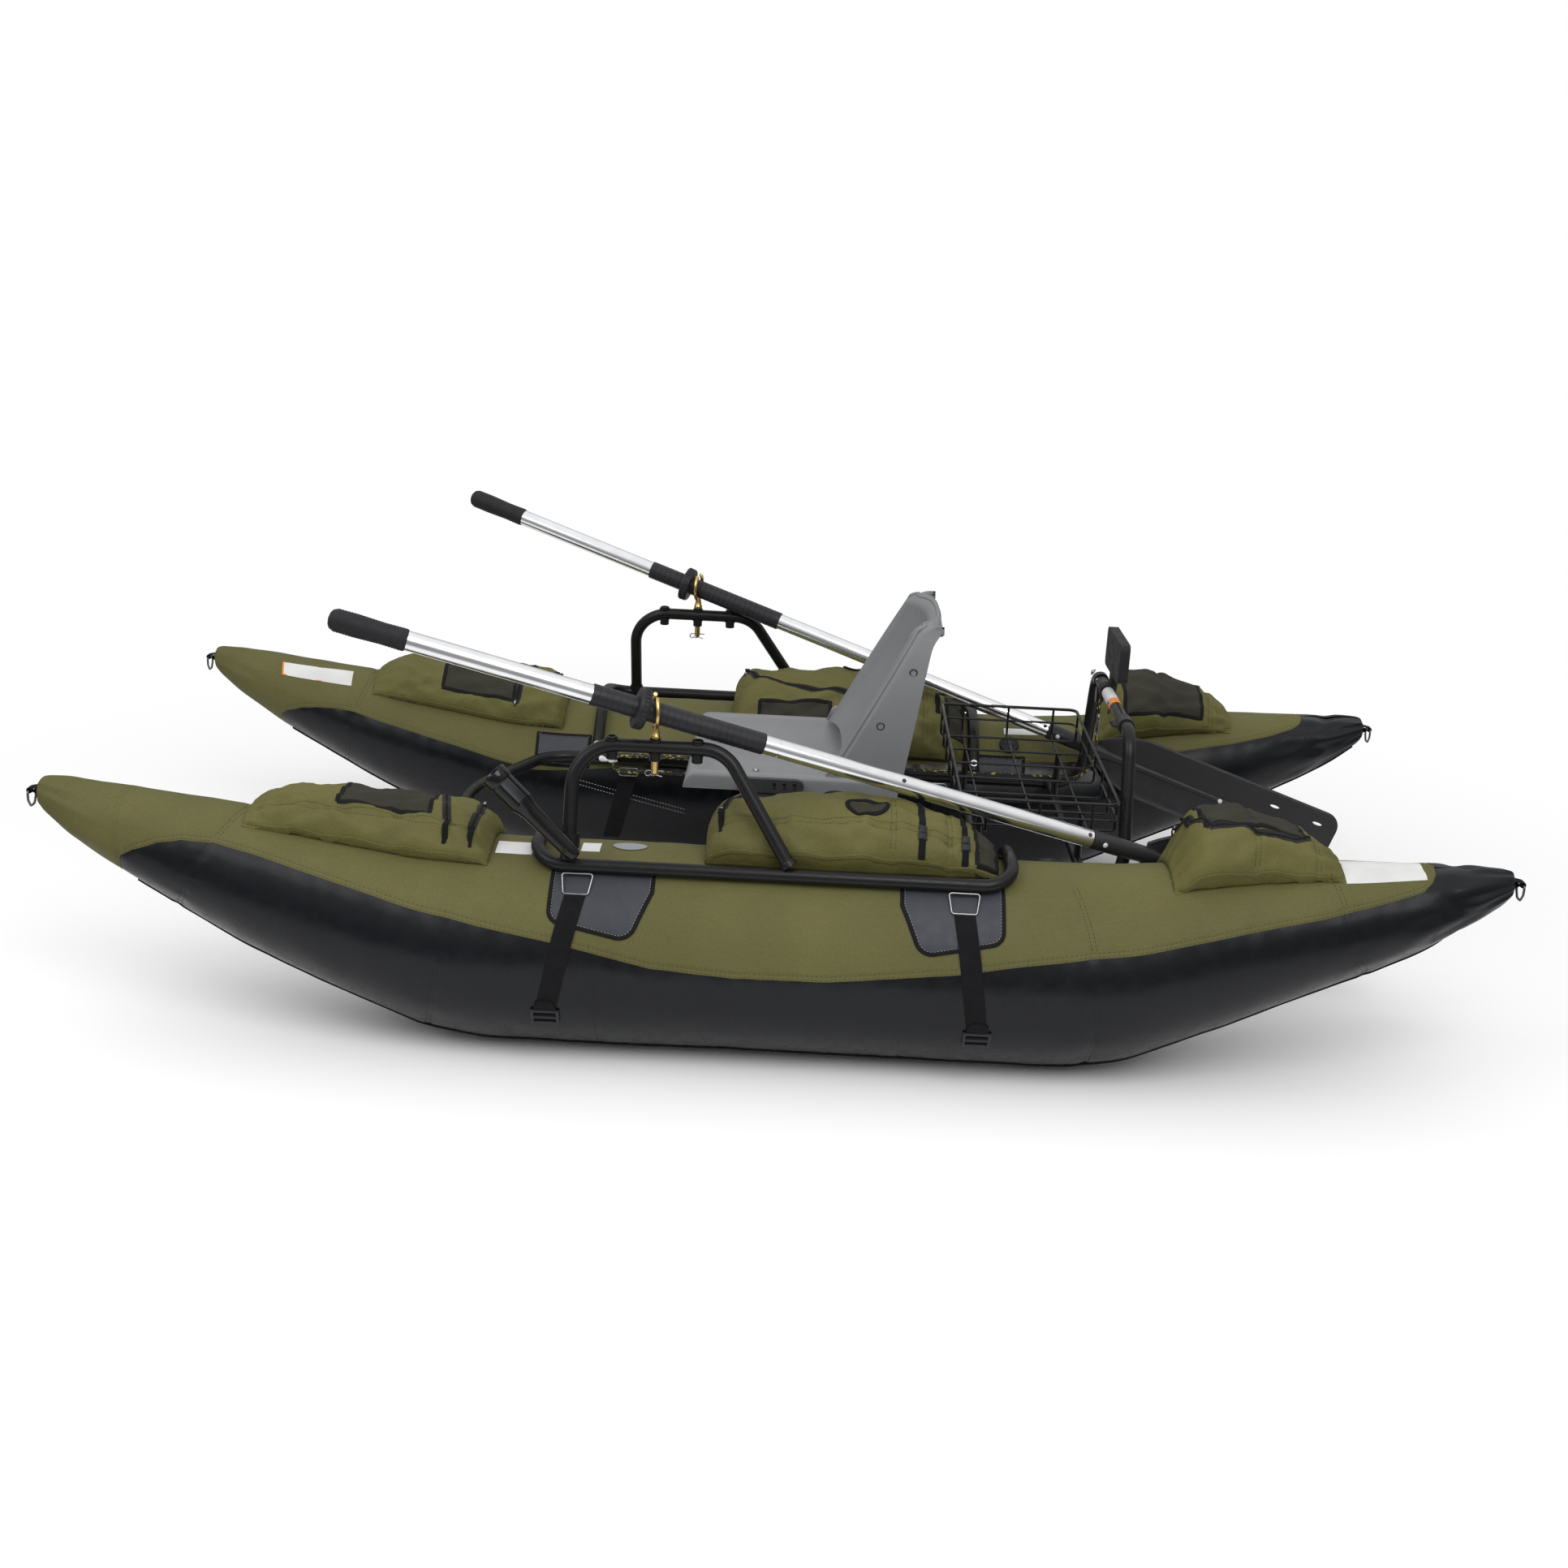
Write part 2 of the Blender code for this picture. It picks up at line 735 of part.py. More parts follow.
def pontoon_skin(name, side, inset, stations, surface):
    """A closed pontoon shape, drawn in by inset all round."""
    rings = []
    for share_x, share_z, share_r in stations:
        if PONTOON_RADIUS * share_r > 2 * inset:
            rings.append(station_ring(side, share_x, share_z, share_r, inset))
    for ring, sign in ((rings[0], 1), (rings[-1], -1)):
        for point in ring:
            point.x += sign * inset
    bm = bmesh.new()
    add_rings(bm, rings)
    return new_object(name, bm, surface)


def skin_radius(angle):
    """Distance from the pontoon axis to its flat facet at an angle, on the straight stretch."""
    facet = round(angle * PONTOON_FACETS / 360.0)
    middle = facet * 360.0 / PONTOON_FACETS
    return PONTOON_RADIUS * math.cos(FACET_HALF) / math.cos(math.radians(angle - middle))


def skin_point(side, x, angle, offset):
    """A point above the straight stretch of a pontoon."""
    reach = skin_radius(angle) + offset
    out = PONTOON_HALF_SPACING + reach * math.cos(math.radians(angle))
    return port_side(side, x, out, PONTOON_AXIS_Z + reach * math.sin(math.radians(angle)))


def facet_corners(low, high):
    """The angles of the facet corners between two angles, with both ends."""
    step = 360.0 / PONTOON_FACETS
    angles = [low]
    corner = (math.floor((low - step / 2) / step) + 1) * step + step / 2
    while corner < high - 1.0:
        if corner > low + 1.0:
            angles.append(corner)
        corner += step
    angles.append(high)
    return angles


def valve_direction(side):
    angle = math.radians(VALVE_ANGLE)
    return Vector((0, side * math.cos(angle), math.sin(angle)))


def valve_point(side, offset):
    """A point on the valve's axis, measured out from the pontoon's facet."""
    reach = PONTOON_AXIS_Z + offset
    base = Vector((VALVE_X, side * PONTOON_HALF_SPACING, PONTOON_AXIS_Z))
    return base + valve_direction(side) * reach


def make_cover(label, side):
    """The sewn cover: a thin shell with a valve port on its shoulder and a webbing loop at each tip."""
    cover = pontoon_skin("pontoon_cover_" + label, side, 0, PONTOON_STATION_SHARES, olive_fabric())
    cavity = pontoon_skin("cavity", side, COVER_WALL, INNER_STATION_SHARES, olive_fabric())
    depth = COVER_WALL + 2 * CUT_OVERRUN
    port = turned_object(
        "port",
        valve_point(side, -depth),
        valve_direction(side),
        ((0, VALVE_PORT_RADIUS), (2 * depth, VALVE_PORT_RADIUS)),
        SOCKET_FACETS,
        olive_fabric(),
    )
    loops, bores = make_tow_loops(side)
    combine(cover, [cavity], "DIFFERENCE")
    combine(cover, loops, "UNION")
    return combine(cover, [port] + bores, "DIFFERENCE")


def make_bladder(label, side):
    """The inflated inner tube with its valve neck; the bore runs through to the air space."""
    outer = COVER_WALL + SEAT_GAP
    inner = outer + BLADDER_WALL
    bladder = pontoon_skin("bladder_" + label, side, outer, INNER_STATION_SHARES, bladder_film())
    cavity = pontoon_skin("cavity", side, inner, INNER_STATION_SHARES, bladder_film())
    root = valve_point(side, BLADDER_WALL / 2 - inner)
    neck_profile = ((0, VALVE_NECK_RADIUS), (VALVE_NECK_HEIGHT, VALVE_NECK_RADIUS))
    facing = valve_direction(side)
    neck = turned_object("neck", root, facing, neck_profile, SOCKET_FACETS, bladder_film())
    bore_profile = ((0, VALVE_BORE_RADIUS), (VALVE_NECK_HEIGHT + 2 * inner, VALVE_BORE_RADIUS))
    bore_start = valve_point(side, -2 * inner)
    bore = turned_object("bore", bore_start, facing, bore_profile, SOCKET_FACETS, bladder_film())
    combine(bladder, [cavity], "DIFFERENCE")
    combine(bladder, [neck], "UNION")
    return combine(bladder, [bore], "DIFFERENCE")


def make_valve_cap(label, side):
    seat = VALVE_NECK_HEIGHT - COVER_WALL - BLADDER_WALL / 2
    start = valve_point(side, seat)
    top = VALVE_CAP_HEIGHT
    profile = (
        (0, VALVE_CAP_RADIUS - VALVE_CAP_RIB),
        (VALVE_CAP_RIB, VALVE_CAP_RADIUS),
        (top - VALVE_CAP_RIB, VALVE_CAP_RADIUS),
        (top, VALVE_CAP_RADIUS - VALVE_CAP_RIB),
    )
    facing = valve_direction(side)
    return turned_object("valve_cap_" + label, start, facing, profile, OAR_FACETS, black_plastic(), start)


def tip_place(end):
    """The x and height of the tow eye beyond a pontoon's tip; end is -1 at the bow."""
    shares = PONTOON_STATION_SHARES[0] if end < 0 else PONTOON_STATION_SHARES[-1]
    x = end * (PONTOON_HALF_LENGTH + 2 * TOW_EYE_OUTER)
    return x, PONTOON_RADIUS * shares[1] + PONTOON_LIFT


def make_tow_loops(side):
    """Webbing loops sewn on the tips, one at each end, and the bores that the tow rings pass through."""
    loops = []
    bores = []
    across = Vector((0, side, 0))
    half = TOW_LOOP_WIDTH / 2
    for end in (-1, 1):
        x, z = tip_place(end)
        edge = port_side(side, x, PONTOON_HALF_SPACING - half, z)
        outer = ((0, TOW_EYE_OUTER), (TOW_LOOP_WIDTH, TOW_EYE_OUTER))
        eye = turned_object("eye", edge, across, outer, SOCKET_FACETS, webbing())
        root = end * (PONTOON_HALF_LENGTH - COVER_WALL / 2)
        tab_low = port_side(side, root, PONTOON_HALF_SPACING - half, z - TOW_TAB_THICKNESS / 2)
        tab_high = port_side(side, x, PONTOON_HALF_SPACING + half, z + TOW_TAB_THICKNESS / 2)
        loops.append(combine(eye, [box_object("tab", tab_low, tab_high, webbing())], "UNION"))
        bore = ((0, TOW_EYE_INNER), (TOW_LOOP_WIDTH + 2 * CUT_OVERRUN, TOW_EYE_INNER))
        start = edge - across * CUT_OVERRUN
        bores.append(turned_object("bore", start, across, bore, SOCKET_FACETS, webbing()))
    return loops, bores


def make_tow_ring(label, side, end_name, end):
    x, z = tip_place(end)
    half = TOW_RING_WIDTH / 2
    middle = side * PONTOON_HALF_SPACING
    corners = [
        (x, middle, z),
        (x, middle + half, z),
        (x, middle + half, z - TOW_RING_DROP * 0.55),
        (x, middle, z - TOW_RING_DROP),
        (x, middle - half, z - TOW_RING_DROP * 0.55),
        (x, middle - half, z),
        (x, middle, z),
    ]
    path = rounded_path(corners, [TOW_RING_CORNER] * 5, WIRE_BEND_STEPS)[:-1]
    name = "tow_ring_" + end_name + "_" + label
    return tube_object(name, path, TOW_RING_WIRE, WIRE_FACETS, bright_steel(), True, 0.0, (x, middle, z))


def saddle_point(side, angle, x):
    out = PONTOON_HALF_SPACING + SADDLE_RADIUS * math.cos(math.radians(angle))
    return port_side(side, x, out, PONTOON_AXIS_Z + SADDLE_RADIUS * math.sin(math.radians(angle)))


RAIL_OUT = PONTOON_HALF_SPACING + SADDLE_RADIUS * math.cos(math.radians(SIDE_RAIL_ANGLE))
RAIL_Z = PONTOON_AXIS_Z + SADDLE_RADIUS * math.sin(math.radians(SIDE_RAIL_ANGLE))
INNER_OUT = PONTOON_HALF_SPACING + SADDLE_RADIUS * math.cos(math.radians(INNER_RAIL_ANGLE))
INNER_Z = PONTOON_AXIS_Z + SADDLE_RADIUS * math.sin(math.radians(INNER_RAIL_ANGLE))
BASKET_HALF_WIDTH = INNER_OUT + BASKET_OVERHANG
REAR_ARCH_TOP_OUT = INNER_OUT - REAR_ARCH_TOP_INSET
PULLEY_OUT = REAR_ARCH_TOP_OUT - PULLEY_INSET
BOARD_OUT = REAR_ARCH_TOP_OUT - BOARD_INSET
CLEAT_OUT = CLEAT_INSET - REAR_ARCH_TOP_OUT


def make_side_rail(label, side):
    """One tube: over the pontoon in front, along its outer shoulder and back over it behind."""
    clear = FRAME_TUBE_RADIUS + SEAT_GAP
    end_angle = INNER_RAIL_ANGLE - math.degrees(clear / SADDLE_RADIUS)
    bend = math.degrees(SADDLE_CORNER / SADDLE_RADIUS)
    front = []
    for k in range(SADDLE_STEPS + 1):
        angle = end_angle + (SIDE_RAIL_ANGLE + bend - end_angle) * k / SADDLE_STEPS
        front.append((angle, SADDLE_FRONT_X))
    for k in range(1, BEND_STEPS + 1):
        turned = math.pi / 2 * k / BEND_STEPS
        angle = SIDE_RAIL_ANGLE + bend * (1 - math.sin(turned))
        front.append((angle, SADDLE_FRONT_X + SADDLE_CORNER * (1 - math.cos(turned))))
    rear = [(angle, SADDLE_FRONT_X + SADDLE_REAR_X - x) for angle, x in reversed(front)]
    path = [saddle_point(side, angle, x) for angle, x in front + rear]
    return tube_object("side_rail_" + label, path, FRAME_TUBE_RADIUS, FRAME_TUBE_FACETS, black_steel())


def arch_point(side, x, share):
    """A point in the leaning plane of the oar arch; share 0 is at the rail and 1 at the top."""
    out = RAIL_OUT + (ARCH_TOP_OUT - RAIL_OUT) * share
    return port_side(side, x, out, RAIL_Z + (ARCH_TOP_Z - RAIL_Z) * share)


def make_oar_arch(label, side):
    slope = math.hypot(ARCH_TOP_OUT - RAIL_OUT, ARCH_TOP_Z - RAIL_Z)
    foot_share = (FRAME_TUBE_RADIUS + RUNNING_GAP) / slope
    slant = (ARCH_REAR_X - ARCH_SHOULDER_X) / math.hypot(slope, ARCH_REAR_X - ARCH_SHOULDER_X)
    rear_share = foot_share + FRAME_TUBE_RADIUS * slant / slope
    rear_foot_x = ARCH_REAR_X + (ARCH_SHOULDER_X - ARCH_REAR_X) * rear_share
    corners = [
        arch_point(side, ARCH_FRONT_X, foot_share),
        arch_point(side, ARCH_FRONT_X, 1.0),
        arch_point(side, ARCH_SHOULDER_X, 1.0),
        arch_point(side, rear_foot_x, rear_share),
    ]
    path = rounded_path(corners, [ARCH_FRONT_BEND, ARCH_REAR_BEND], BEND_STEPS)
    arch = tube_object("oar_arch_" + label, path, FRAME_TUBE_RADIUS, FRAME_TUBE_FACETS, black_steel())
    bushes = []
    bores = []
    low = ARCH_TOP_Z - FRAME_TUBE_RADIUS - SOCKET_BELOW
    high = ARCH_TOP_Z + FRAME_TUBE_RADIUS + SOCKET_ABOVE
    for x in SOCKET_X:
        base = port_side(side, x, ARCH_TOP_OUT, low)
        span = high - low
        bush = ((0, SOCKET_RADIUS), (span, SOCKET_RADIUS))
        bushes.append(turned_object("bush", base, (0, 0, 1), bush, SOCKET_FACETS, black_steel()))
        start = base - Vector((0, 0, CUT_OVERRUN))
        bore = ((0, SOCKET_BORE), (span + 2 * CUT_OVERRUN, SOCKET_BORE))
        bores.append(turned_object("bore", start, (0, 0, 1), bore, SOCKET_FACETS, black_steel()))
    combine(arch, bushes, "UNION")
    return combine(arch, bores, "DIFFERENCE")


def make_foot_bar():
    """The rounded front of the centre frame, from one inner rail to the other."""
    corners = [
        (FOOT_BAR_JOINT_X, -INNER_OUT, INNER_Z),
        (FOOT_BAR_SHOULDER_X, -INNER_OUT, INNER_Z),
        (FOOT_BAR_APEX_X, 0, INNER_Z),
        (FOOT_BAR_SHOULDER_X, INNER_OUT, INNER_Z),
        (FOOT_BAR_JOINT_X, INNER_OUT, INNER_Z),
    ]
    bends = [FOOT_BAR_SHOULDER_BEND, FOOT_BAR_APEX_BEND, FOOT_BAR_SHOULDER_BEND]
    path = rounded_path(corners, bends, BEND_STEPS)
    return tube_object("foot_bar", path, FRAME_TUBE_RADIUS, FRAME_TUBE_FACETS, black_steel())


def make_rear_frame():
    """Both inner rails and the rear arch, bent from one tube, with welded bars under the basket."""
    start_x = FOOT_BAR_JOINT_X + SEAT_GAP
    corners = [
        (start_x, -INNER_OUT, INNER_Z),
        (REAR_ARCH_X, -INNER_OUT, INNER_Z),
        (REAR_ARCH_X, -REAR_ARCH_TOP_OUT, REAR_ARCH_TOP_Z),
        (REAR_ARCH_X, REAR_ARCH_TOP_OUT, REAR_ARCH_TOP_Z),
        (REAR_ARCH_X, INNER_OUT, INNER_Z),
        (start_x, INNER_OUT, INNER_Z),
    ]
    bends = [REAR_ARCH_LOW_BEND, REAR_ARCH_HIGH_BEND, REAR_ARCH_HIGH_BEND, REAR_ARCH_LOW_BEND]
    path = rounded_path(corners, bends, BEND_STEPS)
    frame = tube_object("rear_frame", path, FRAME_TUBE_RADIUS, FRAME_TUBE_FACETS, black_steel())
    bars = []
    for x in (basket_cross_x(0), basket_cross_x(BASKET_CROSS_WIRES - 1)):
        ends = [(x, -INNER_OUT, INNER_Z), (x, INNER_OUT, INNER_Z)]
        bars.append(tube_object("bar", ends, CROSS_BAR_RADIUS, CROSS_BAR_FACETS, black_steel()))
    return combine(frame, bars, "UNION")


def make_seat_frame():
    """Two bars between the inner rails, joined by the folded pedestal that carries the seat."""
    reach = INNER_OUT - FRAME_TUBE_FLAT - SEAT_GAP
    bars = []
    for x in SEAT_BAR_X:
        ends = [(x, -reach, INNER_Z), (x, reach, INNER_Z)]
        bars.append(tube_object("bar", ends, CROSS_BAR_RADIUS, CROSS_BAR_FACETS, black_steel()))
    low = INNER_Z + CROSS_BAR_FLAT - MOUNT_PLATE / 4
    high = SEAT_PAN_Z - SEAT_WALL - SEAT_GAP
    inner = MOUNT_HALF_WIDTH - MOUNT_PLATE
    foot = MOUNT_HALF_WIDTH + MOUNT_FOOT
    half = [
        (foot, low),
        (foot, low + MOUNT_PLATE),
        (MOUNT_HALF_WIDTH, low + MOUNT_PLATE),
        (MOUNT_HALF_WIDTH, high),
    ]
    under = [(inner, high - MOUNT_PLATE), (inner, low)]
    outline = half + [(-out, z) for out, z in reversed(half)]
    outline += [(-out, z) for out, z in reversed(under)] + under
    rings = []
    for x in (SEAT_BAR_X[0] - MOUNT_OVERHANG, SEAT_BAR_X[1] + MOUNT_OVERHANG):
        rings.append([Vector((x, out, z)) for out, z in outline])
    bm = bmesh.new()
    add_rings(bm, rings)
    pedestal = new_object("seat_frame", bm, black_steel())
    return combine(pedestal, bars, "UNION")


def add_skin_plate(bm, side, rows, thickness):
    """A curved plate that lies on the pontoon: rows of (angle, low x, high x, offset)."""
    rings = []
    for angle, low_x, high_x, offset in rows:
        rings.append(
            [
                skin_point(side, low_x, angle, offset),
                skin_point(side, high_x, angle, offset),
                skin_point(side, high_x, angle, offset + thickness),
                skin_point(side, low_x, angle, offset + thickness),
            ]
        )
    add_rings(bm, rings)


def make_frame_pad(name, side, middle):
    """A wear pad whose rounded tongue shows below the side rail."""
    bm = bmesh.new()
    rows = []
    for angle in facet_corners(PAD_LOW_ANGLE, PAD_TOP_ANGLE):
        share = 1.0
        if angle < PAD_FULL_ANGLE:
            rise = (angle - PAD_LOW_ANGLE) / (PAD_FULL_ANGLE - PAD_LOW_ANGLE)
            share = PAD_TONGUE_SHARE + (1 - PAD_TONGUE_SHARE) * math.sin(rise * math.pi / 2)
        half = PAD_HALF_LENGTH * share
        rows.append((angle, middle - half, middle + half, SEAT_GAP))
    add_skin_plate(bm, side, rows, PAD_THICKNESS)
    return new_object(name, bm, pad_vinyl())


def make_strap(name, side, top_x, slant):
    """A webbing strap sewn round its ring at the rail, down to a ladder buckle on the flank."""
    over_pad = PAD_THICKNESS + 2 * SEAT_GAP
    bm = bmesh.new()
    rows = []
    step_up = PAD_LOW_ANGLE - PAD_CLEAR_ANGLE
    angles = facet_corners(STRAP_LOW_ANGLE, step_up)[:-1] + facet_corners(step_up, STRAP_TOP_ANGLE)
    for angle in angles:
        share = (STRAP_TOP_ANGLE - angle) / (STRAP_TOP_ANGLE - STRAP_LOW_ANGLE)
        middle = top_x + STRAP_SLANT * slant * share
        offset = over_pad if angle >= step_up else SEAT_GAP
        rows.append((angle, middle - STRAP_WIDTH / 2, middle + STRAP_WIDTH / 2, offset))
    add_skin_plate(bm, side, rows, STRAP_THICKNESS)
    strap = new_object(name, bm, webbing())
    ring = make_strap_ring(side, top_x, over_pad)
    buckle = make_buckle(side, top_x + STRAP_SLANT * slant)
    return combine(strap, [ring, buckle], "UNION")


def make_strap_ring(side, middle, over_pad):
    """A wire ring that widens from the strap up to the side rail."""
    arc = math.radians(1.0) * PONTOON_RADIUS
    low_angle = STRAP_TOP_ANGLE - STRAP_RING_WIRE / arc
    high_angle = SIDE_RAIL_ANGLE - (FRAME_TUBE_RADIUS + STRAP_RING_WIRE) / arc
    low_lift = over_pad + STRAP_RING_WIRE + STRAP_THICKNESS / 2
    high_lift = low_lift + STRAP_RING_LEAN
    low_half = STRAP_RING_WIDTH / 2
    high_half = STRAP_RING_TOP_WIDTH / 2
    corners = [
        skin_point(side, middle, low_angle, low_lift),
        skin_point(side, middle + low_half, low_angle, low_lift),
        skin_point(side, middle + high_half, high_angle, high_lift),
        skin_point(side, middle - high_half, high_angle, high_lift),
        skin_point(side, middle - low_half, low_angle, low_lift),
        skin_point(side, middle, low_angle, low_lift),
    ]
    path = rounded_path(corners, [2 * STRAP_RING_WIRE] * 4, WIRE_BEND_STEPS)[:-1]
    return tube_object("ring", path, STRAP_RING_WIRE, WIRE_FACETS, bright_steel(), True)


def make_buckle(side, middle):
    """A ladder buckle: a plate with two windows that hangs from the strap's end."""
    arc = math.radians(1.0) * PONTOON_RADIUS
    bar = BUCKLE_BAR / arc
    high_angle = STRAP_LOW_ANGLE + bar / 2
    low_angle = high_angle - BUCKLE_LENGTH / arc
    half = BUCKLE_WIDTH / 2
    bm = bmesh.new()
    rows = [(angle, middle - half, middle + half, SEAT_GAP) for angle in facet_corners(low_angle, high_angle)]
    add_skin_plate(bm, side, rows, BUCKLE_THICKNESS)
    plate = new_object("buckle", bm, black_plastic())
    window = (high_angle - low_angle - 3 * bar) / 2
    inner_half = half - BUCKLE_BAR
    cutters = []
    for k in range(2):
        start = low_angle + bar + k * (window + bar)
        rows = []
        for angle in (start, start + window):
            rows.append((angle, middle - inner_half, middle + inner_half, -CUT_OVERRUN))
        bm = bmesh.new()
        add_skin_plate(bm, side, rows, BUCKLE_THICKNESS + 3 * CUT_OVERRUN)
        cutters.append(new_object("window", bm, black_plastic()))
    return combine(plate, cutters, "DIFFERENCE")


def oar_direction(side):
    """From the oarlock towards the blade: astern, inboard and down."""
    along = math.sqrt(1 - OAR_INWARD_SHARE**2 - OAR_FALL_SHARE**2)
    return Vector((along, -side * OAR_INWARD_SHARE, -OAR_FALL_SHARE))


def oar_pivot(side):
    return port_side(side, OAR_PIVOT_X, ARCH_TOP_OUT, OAR_PIVOT_Z)


def oar_turned(name, label, side, profile, surface, facets=OAR_FACETS):
    start = oar_pivot(side)
    return turned_object(name + label, start, oar_direction(side), profile, facets, surface, start)


def oar_hollow(name, label, side, outer, inner, surface):
    start = oar_pivot(side)
    bm = bmesh.new()
    add_hollow_turned(bm, start, oar_direction(side), outer, inner, OAR_FACETS)
    return new_object(name + label, bm, surface, start)


def make_oar_shaft(label, side):
    inner = SHAFT_RADIUS - SHAFT_WALL
    outer_profile = ((SHAFT_START, SHAFT_RADIUS), (SHAFT_END, SHAFT_RADIUS))
    inner_profile = ((SHAFT_START, inner), (SHAFT_END, inner))
    return oar_hollow("oar_shaft_", label, side, outer_profile, inner_profile, bright_aluminium())


def make_oar_sleeve(label, side):
    inner = SHAFT_RADIUS / math.cos(math.pi / OAR_FACETS) + SEAT_GAP
    outer_profile = ((SLEEVE_START, SLEEVE_RADIUS), (SLEEVE_END, SLEEVE_RADIUS))
    inner_profile = ((SLEEVE_START, inner), (SLEEVE_END, inner))
    return oar_hollow("oar_sleeve_", label, side, outer_profile, inner_profile, black_plastic())


def make_oar_collar(label, side):
    inner = SLEEVE_RADIUS + SEAT_GAP
    end = COLLAR_START + COLLAR_LENGTH
    outer_profile = (
        (COLLAR_START, COLLAR_RADIUS - COLLAR_CHAMFER),
        (COLLAR_START + COLLAR_CHAMFER, COLLAR_RADIUS),
        (end - COLLAR_CHAMFER, COLLAR_RADIUS),
        (end, COLLAR_RADIUS - COLLAR_CHAMFER),
    )
    inner_profile = ((COLLAR_START, inner), (end, inner))
    return oar_hollow("oar_collar_", label, side, outer_profile, inner_profile, black_plastic())


def make_oar_grip(label, side):
    """A moulded grip that closes over the end of the shaft."""
    pocket = SHAFT_RADIUS + SEAT_GAP
    depth = SHAFT_START - SEAT_GAP
    profile = []
    for along, radius in GRIP_SHAPE_SHARES:
        profile.append((GRIP_START + GRIP_LENGTH * along, GRIP_RADIUS * radius))
    profile += [(GRIP_START + GRIP_LENGTH, pocket), (depth, pocket), (depth, 0)]
    return oar_turned("oar_grip_", label, side, profile, black_plastic())


def blade_outline(direction, rise, face, pivot):
    """Rings across the blade: each has a near and a far face, dished towards the edges."""
    rings = []
    round_start = BLADE_END - BLADE_TIP_ROUND
    places = [
        (BLADE_START, BLADE_ROOT_HALF_WIDTH),
        (BLADE_SHOULDER, BLADE_HALF_WIDTH),
        (round_start, BLADE_HALF_WIDTH),
    ]
    for turned in (30.0, 60.0, 90.0):
        angle = math.radians(turned)
        along = round_start + BLADE_TIP_ROUND * math.sin(angle)
        half = BLADE_HALF_WIDTH - BLADE_TIP_ROUND * (1 - math.cos(angle))
        places.append((along, half))
    for along, half in places:
        ring = []
        for sign in (1, -1):
            for share in (-1.0, -0.5, 0.0, 0.5, 1.0):
                width = half * share * sign
                bow = BLADE_DISH * (width / BLADE_HALF_WIDTH) ** 2
                thick = BLADE_THICKNESS / 2 * sign
                ring.append(pivot + direction * along + rise * width + face * (thick - bow))
        rings.append(ring)
    return rings


def make_oar_blade(label, side):
    """Moulded blade with a ribbed back, drain slots and a ferrule that plugs into the shaft."""
    direction = oar_direction(side)
    pivot = oar_pivot(side)
    rise = (Vector((0, 0, 1)) - direction * direction.z).normalized()
    face = rise.cross(direction) * side
    bm = bmesh.new()
    add_rings(bm, blade_outline(direction, rise, face, pivot))
    blade = new_object("oar_blade_" + label, bm, black_plastic())
    plug = SHAFT_RADIUS - SHAFT_WALL - 2 * SEAT_GAP
    ferrule = (
        (SHAFT_END - 0.5 * GRIP_LENGTH, plug * math.cos(math.pi / OAR_FACETS)),
        (SHAFT_END + SEAT_GAP, plug * math.cos(math.pi / OAR_FACETS)),
        (SHAFT_END + SEAT_GAP, SHAFT_RADIUS),
        (SHAFT_END + SLEEVE_RADIUS, SHAFT_RADIUS),
        (FERRULE_END, FERRULE_RADIUS),
        (FERRULE_END + SLEEVE_RADIUS, BLADE_RIB_RADIUS),
        (BLADE_RIB_END, BLADE_RIB_RADIUS * 0.6),
    )
    stem = turned_object("stem", pivot, direction, ferrule, FERRULE_FACETS, black_plastic())
    slots = []
    for place in BLADE_SLOT_PLACES:
        for sign in (1, -1):
            middle = pivot + direction * place + rise * (BLADE_HALF_WIDTH * 0.5 * sign)
            slots.append(slot_cutter(middle, direction, rise, face))
    combine(blade, [stem], "UNION")
    combine(blade, slots, "DIFFERENCE")
    blade.data.transform(Matrix.Translation(-pivot))
    blade.location = pivot
    return blade


def slot_cutter(middle, direction, rise, face):
    half_length = BLADE_SLOT_LENGTH / 2
    half_width = BLADE_SLOT_WIDTH / 2
    reach = BLADE_THICKNESS + BLADE_DISH
    bm = bmesh.new()
    rings = []
    for depth in (-reach, reach):
        ring = []
        for along, wide in ((-1, -1), (1, -1), (1, 1), (-1, 1)):
            ring.append(middle + direction * along * half_length + rise * wide * half_width + face * depth)
        rings.append(ring)
    add_rings(bm, rings)
    return new_object("slot", bm, black_plastic())


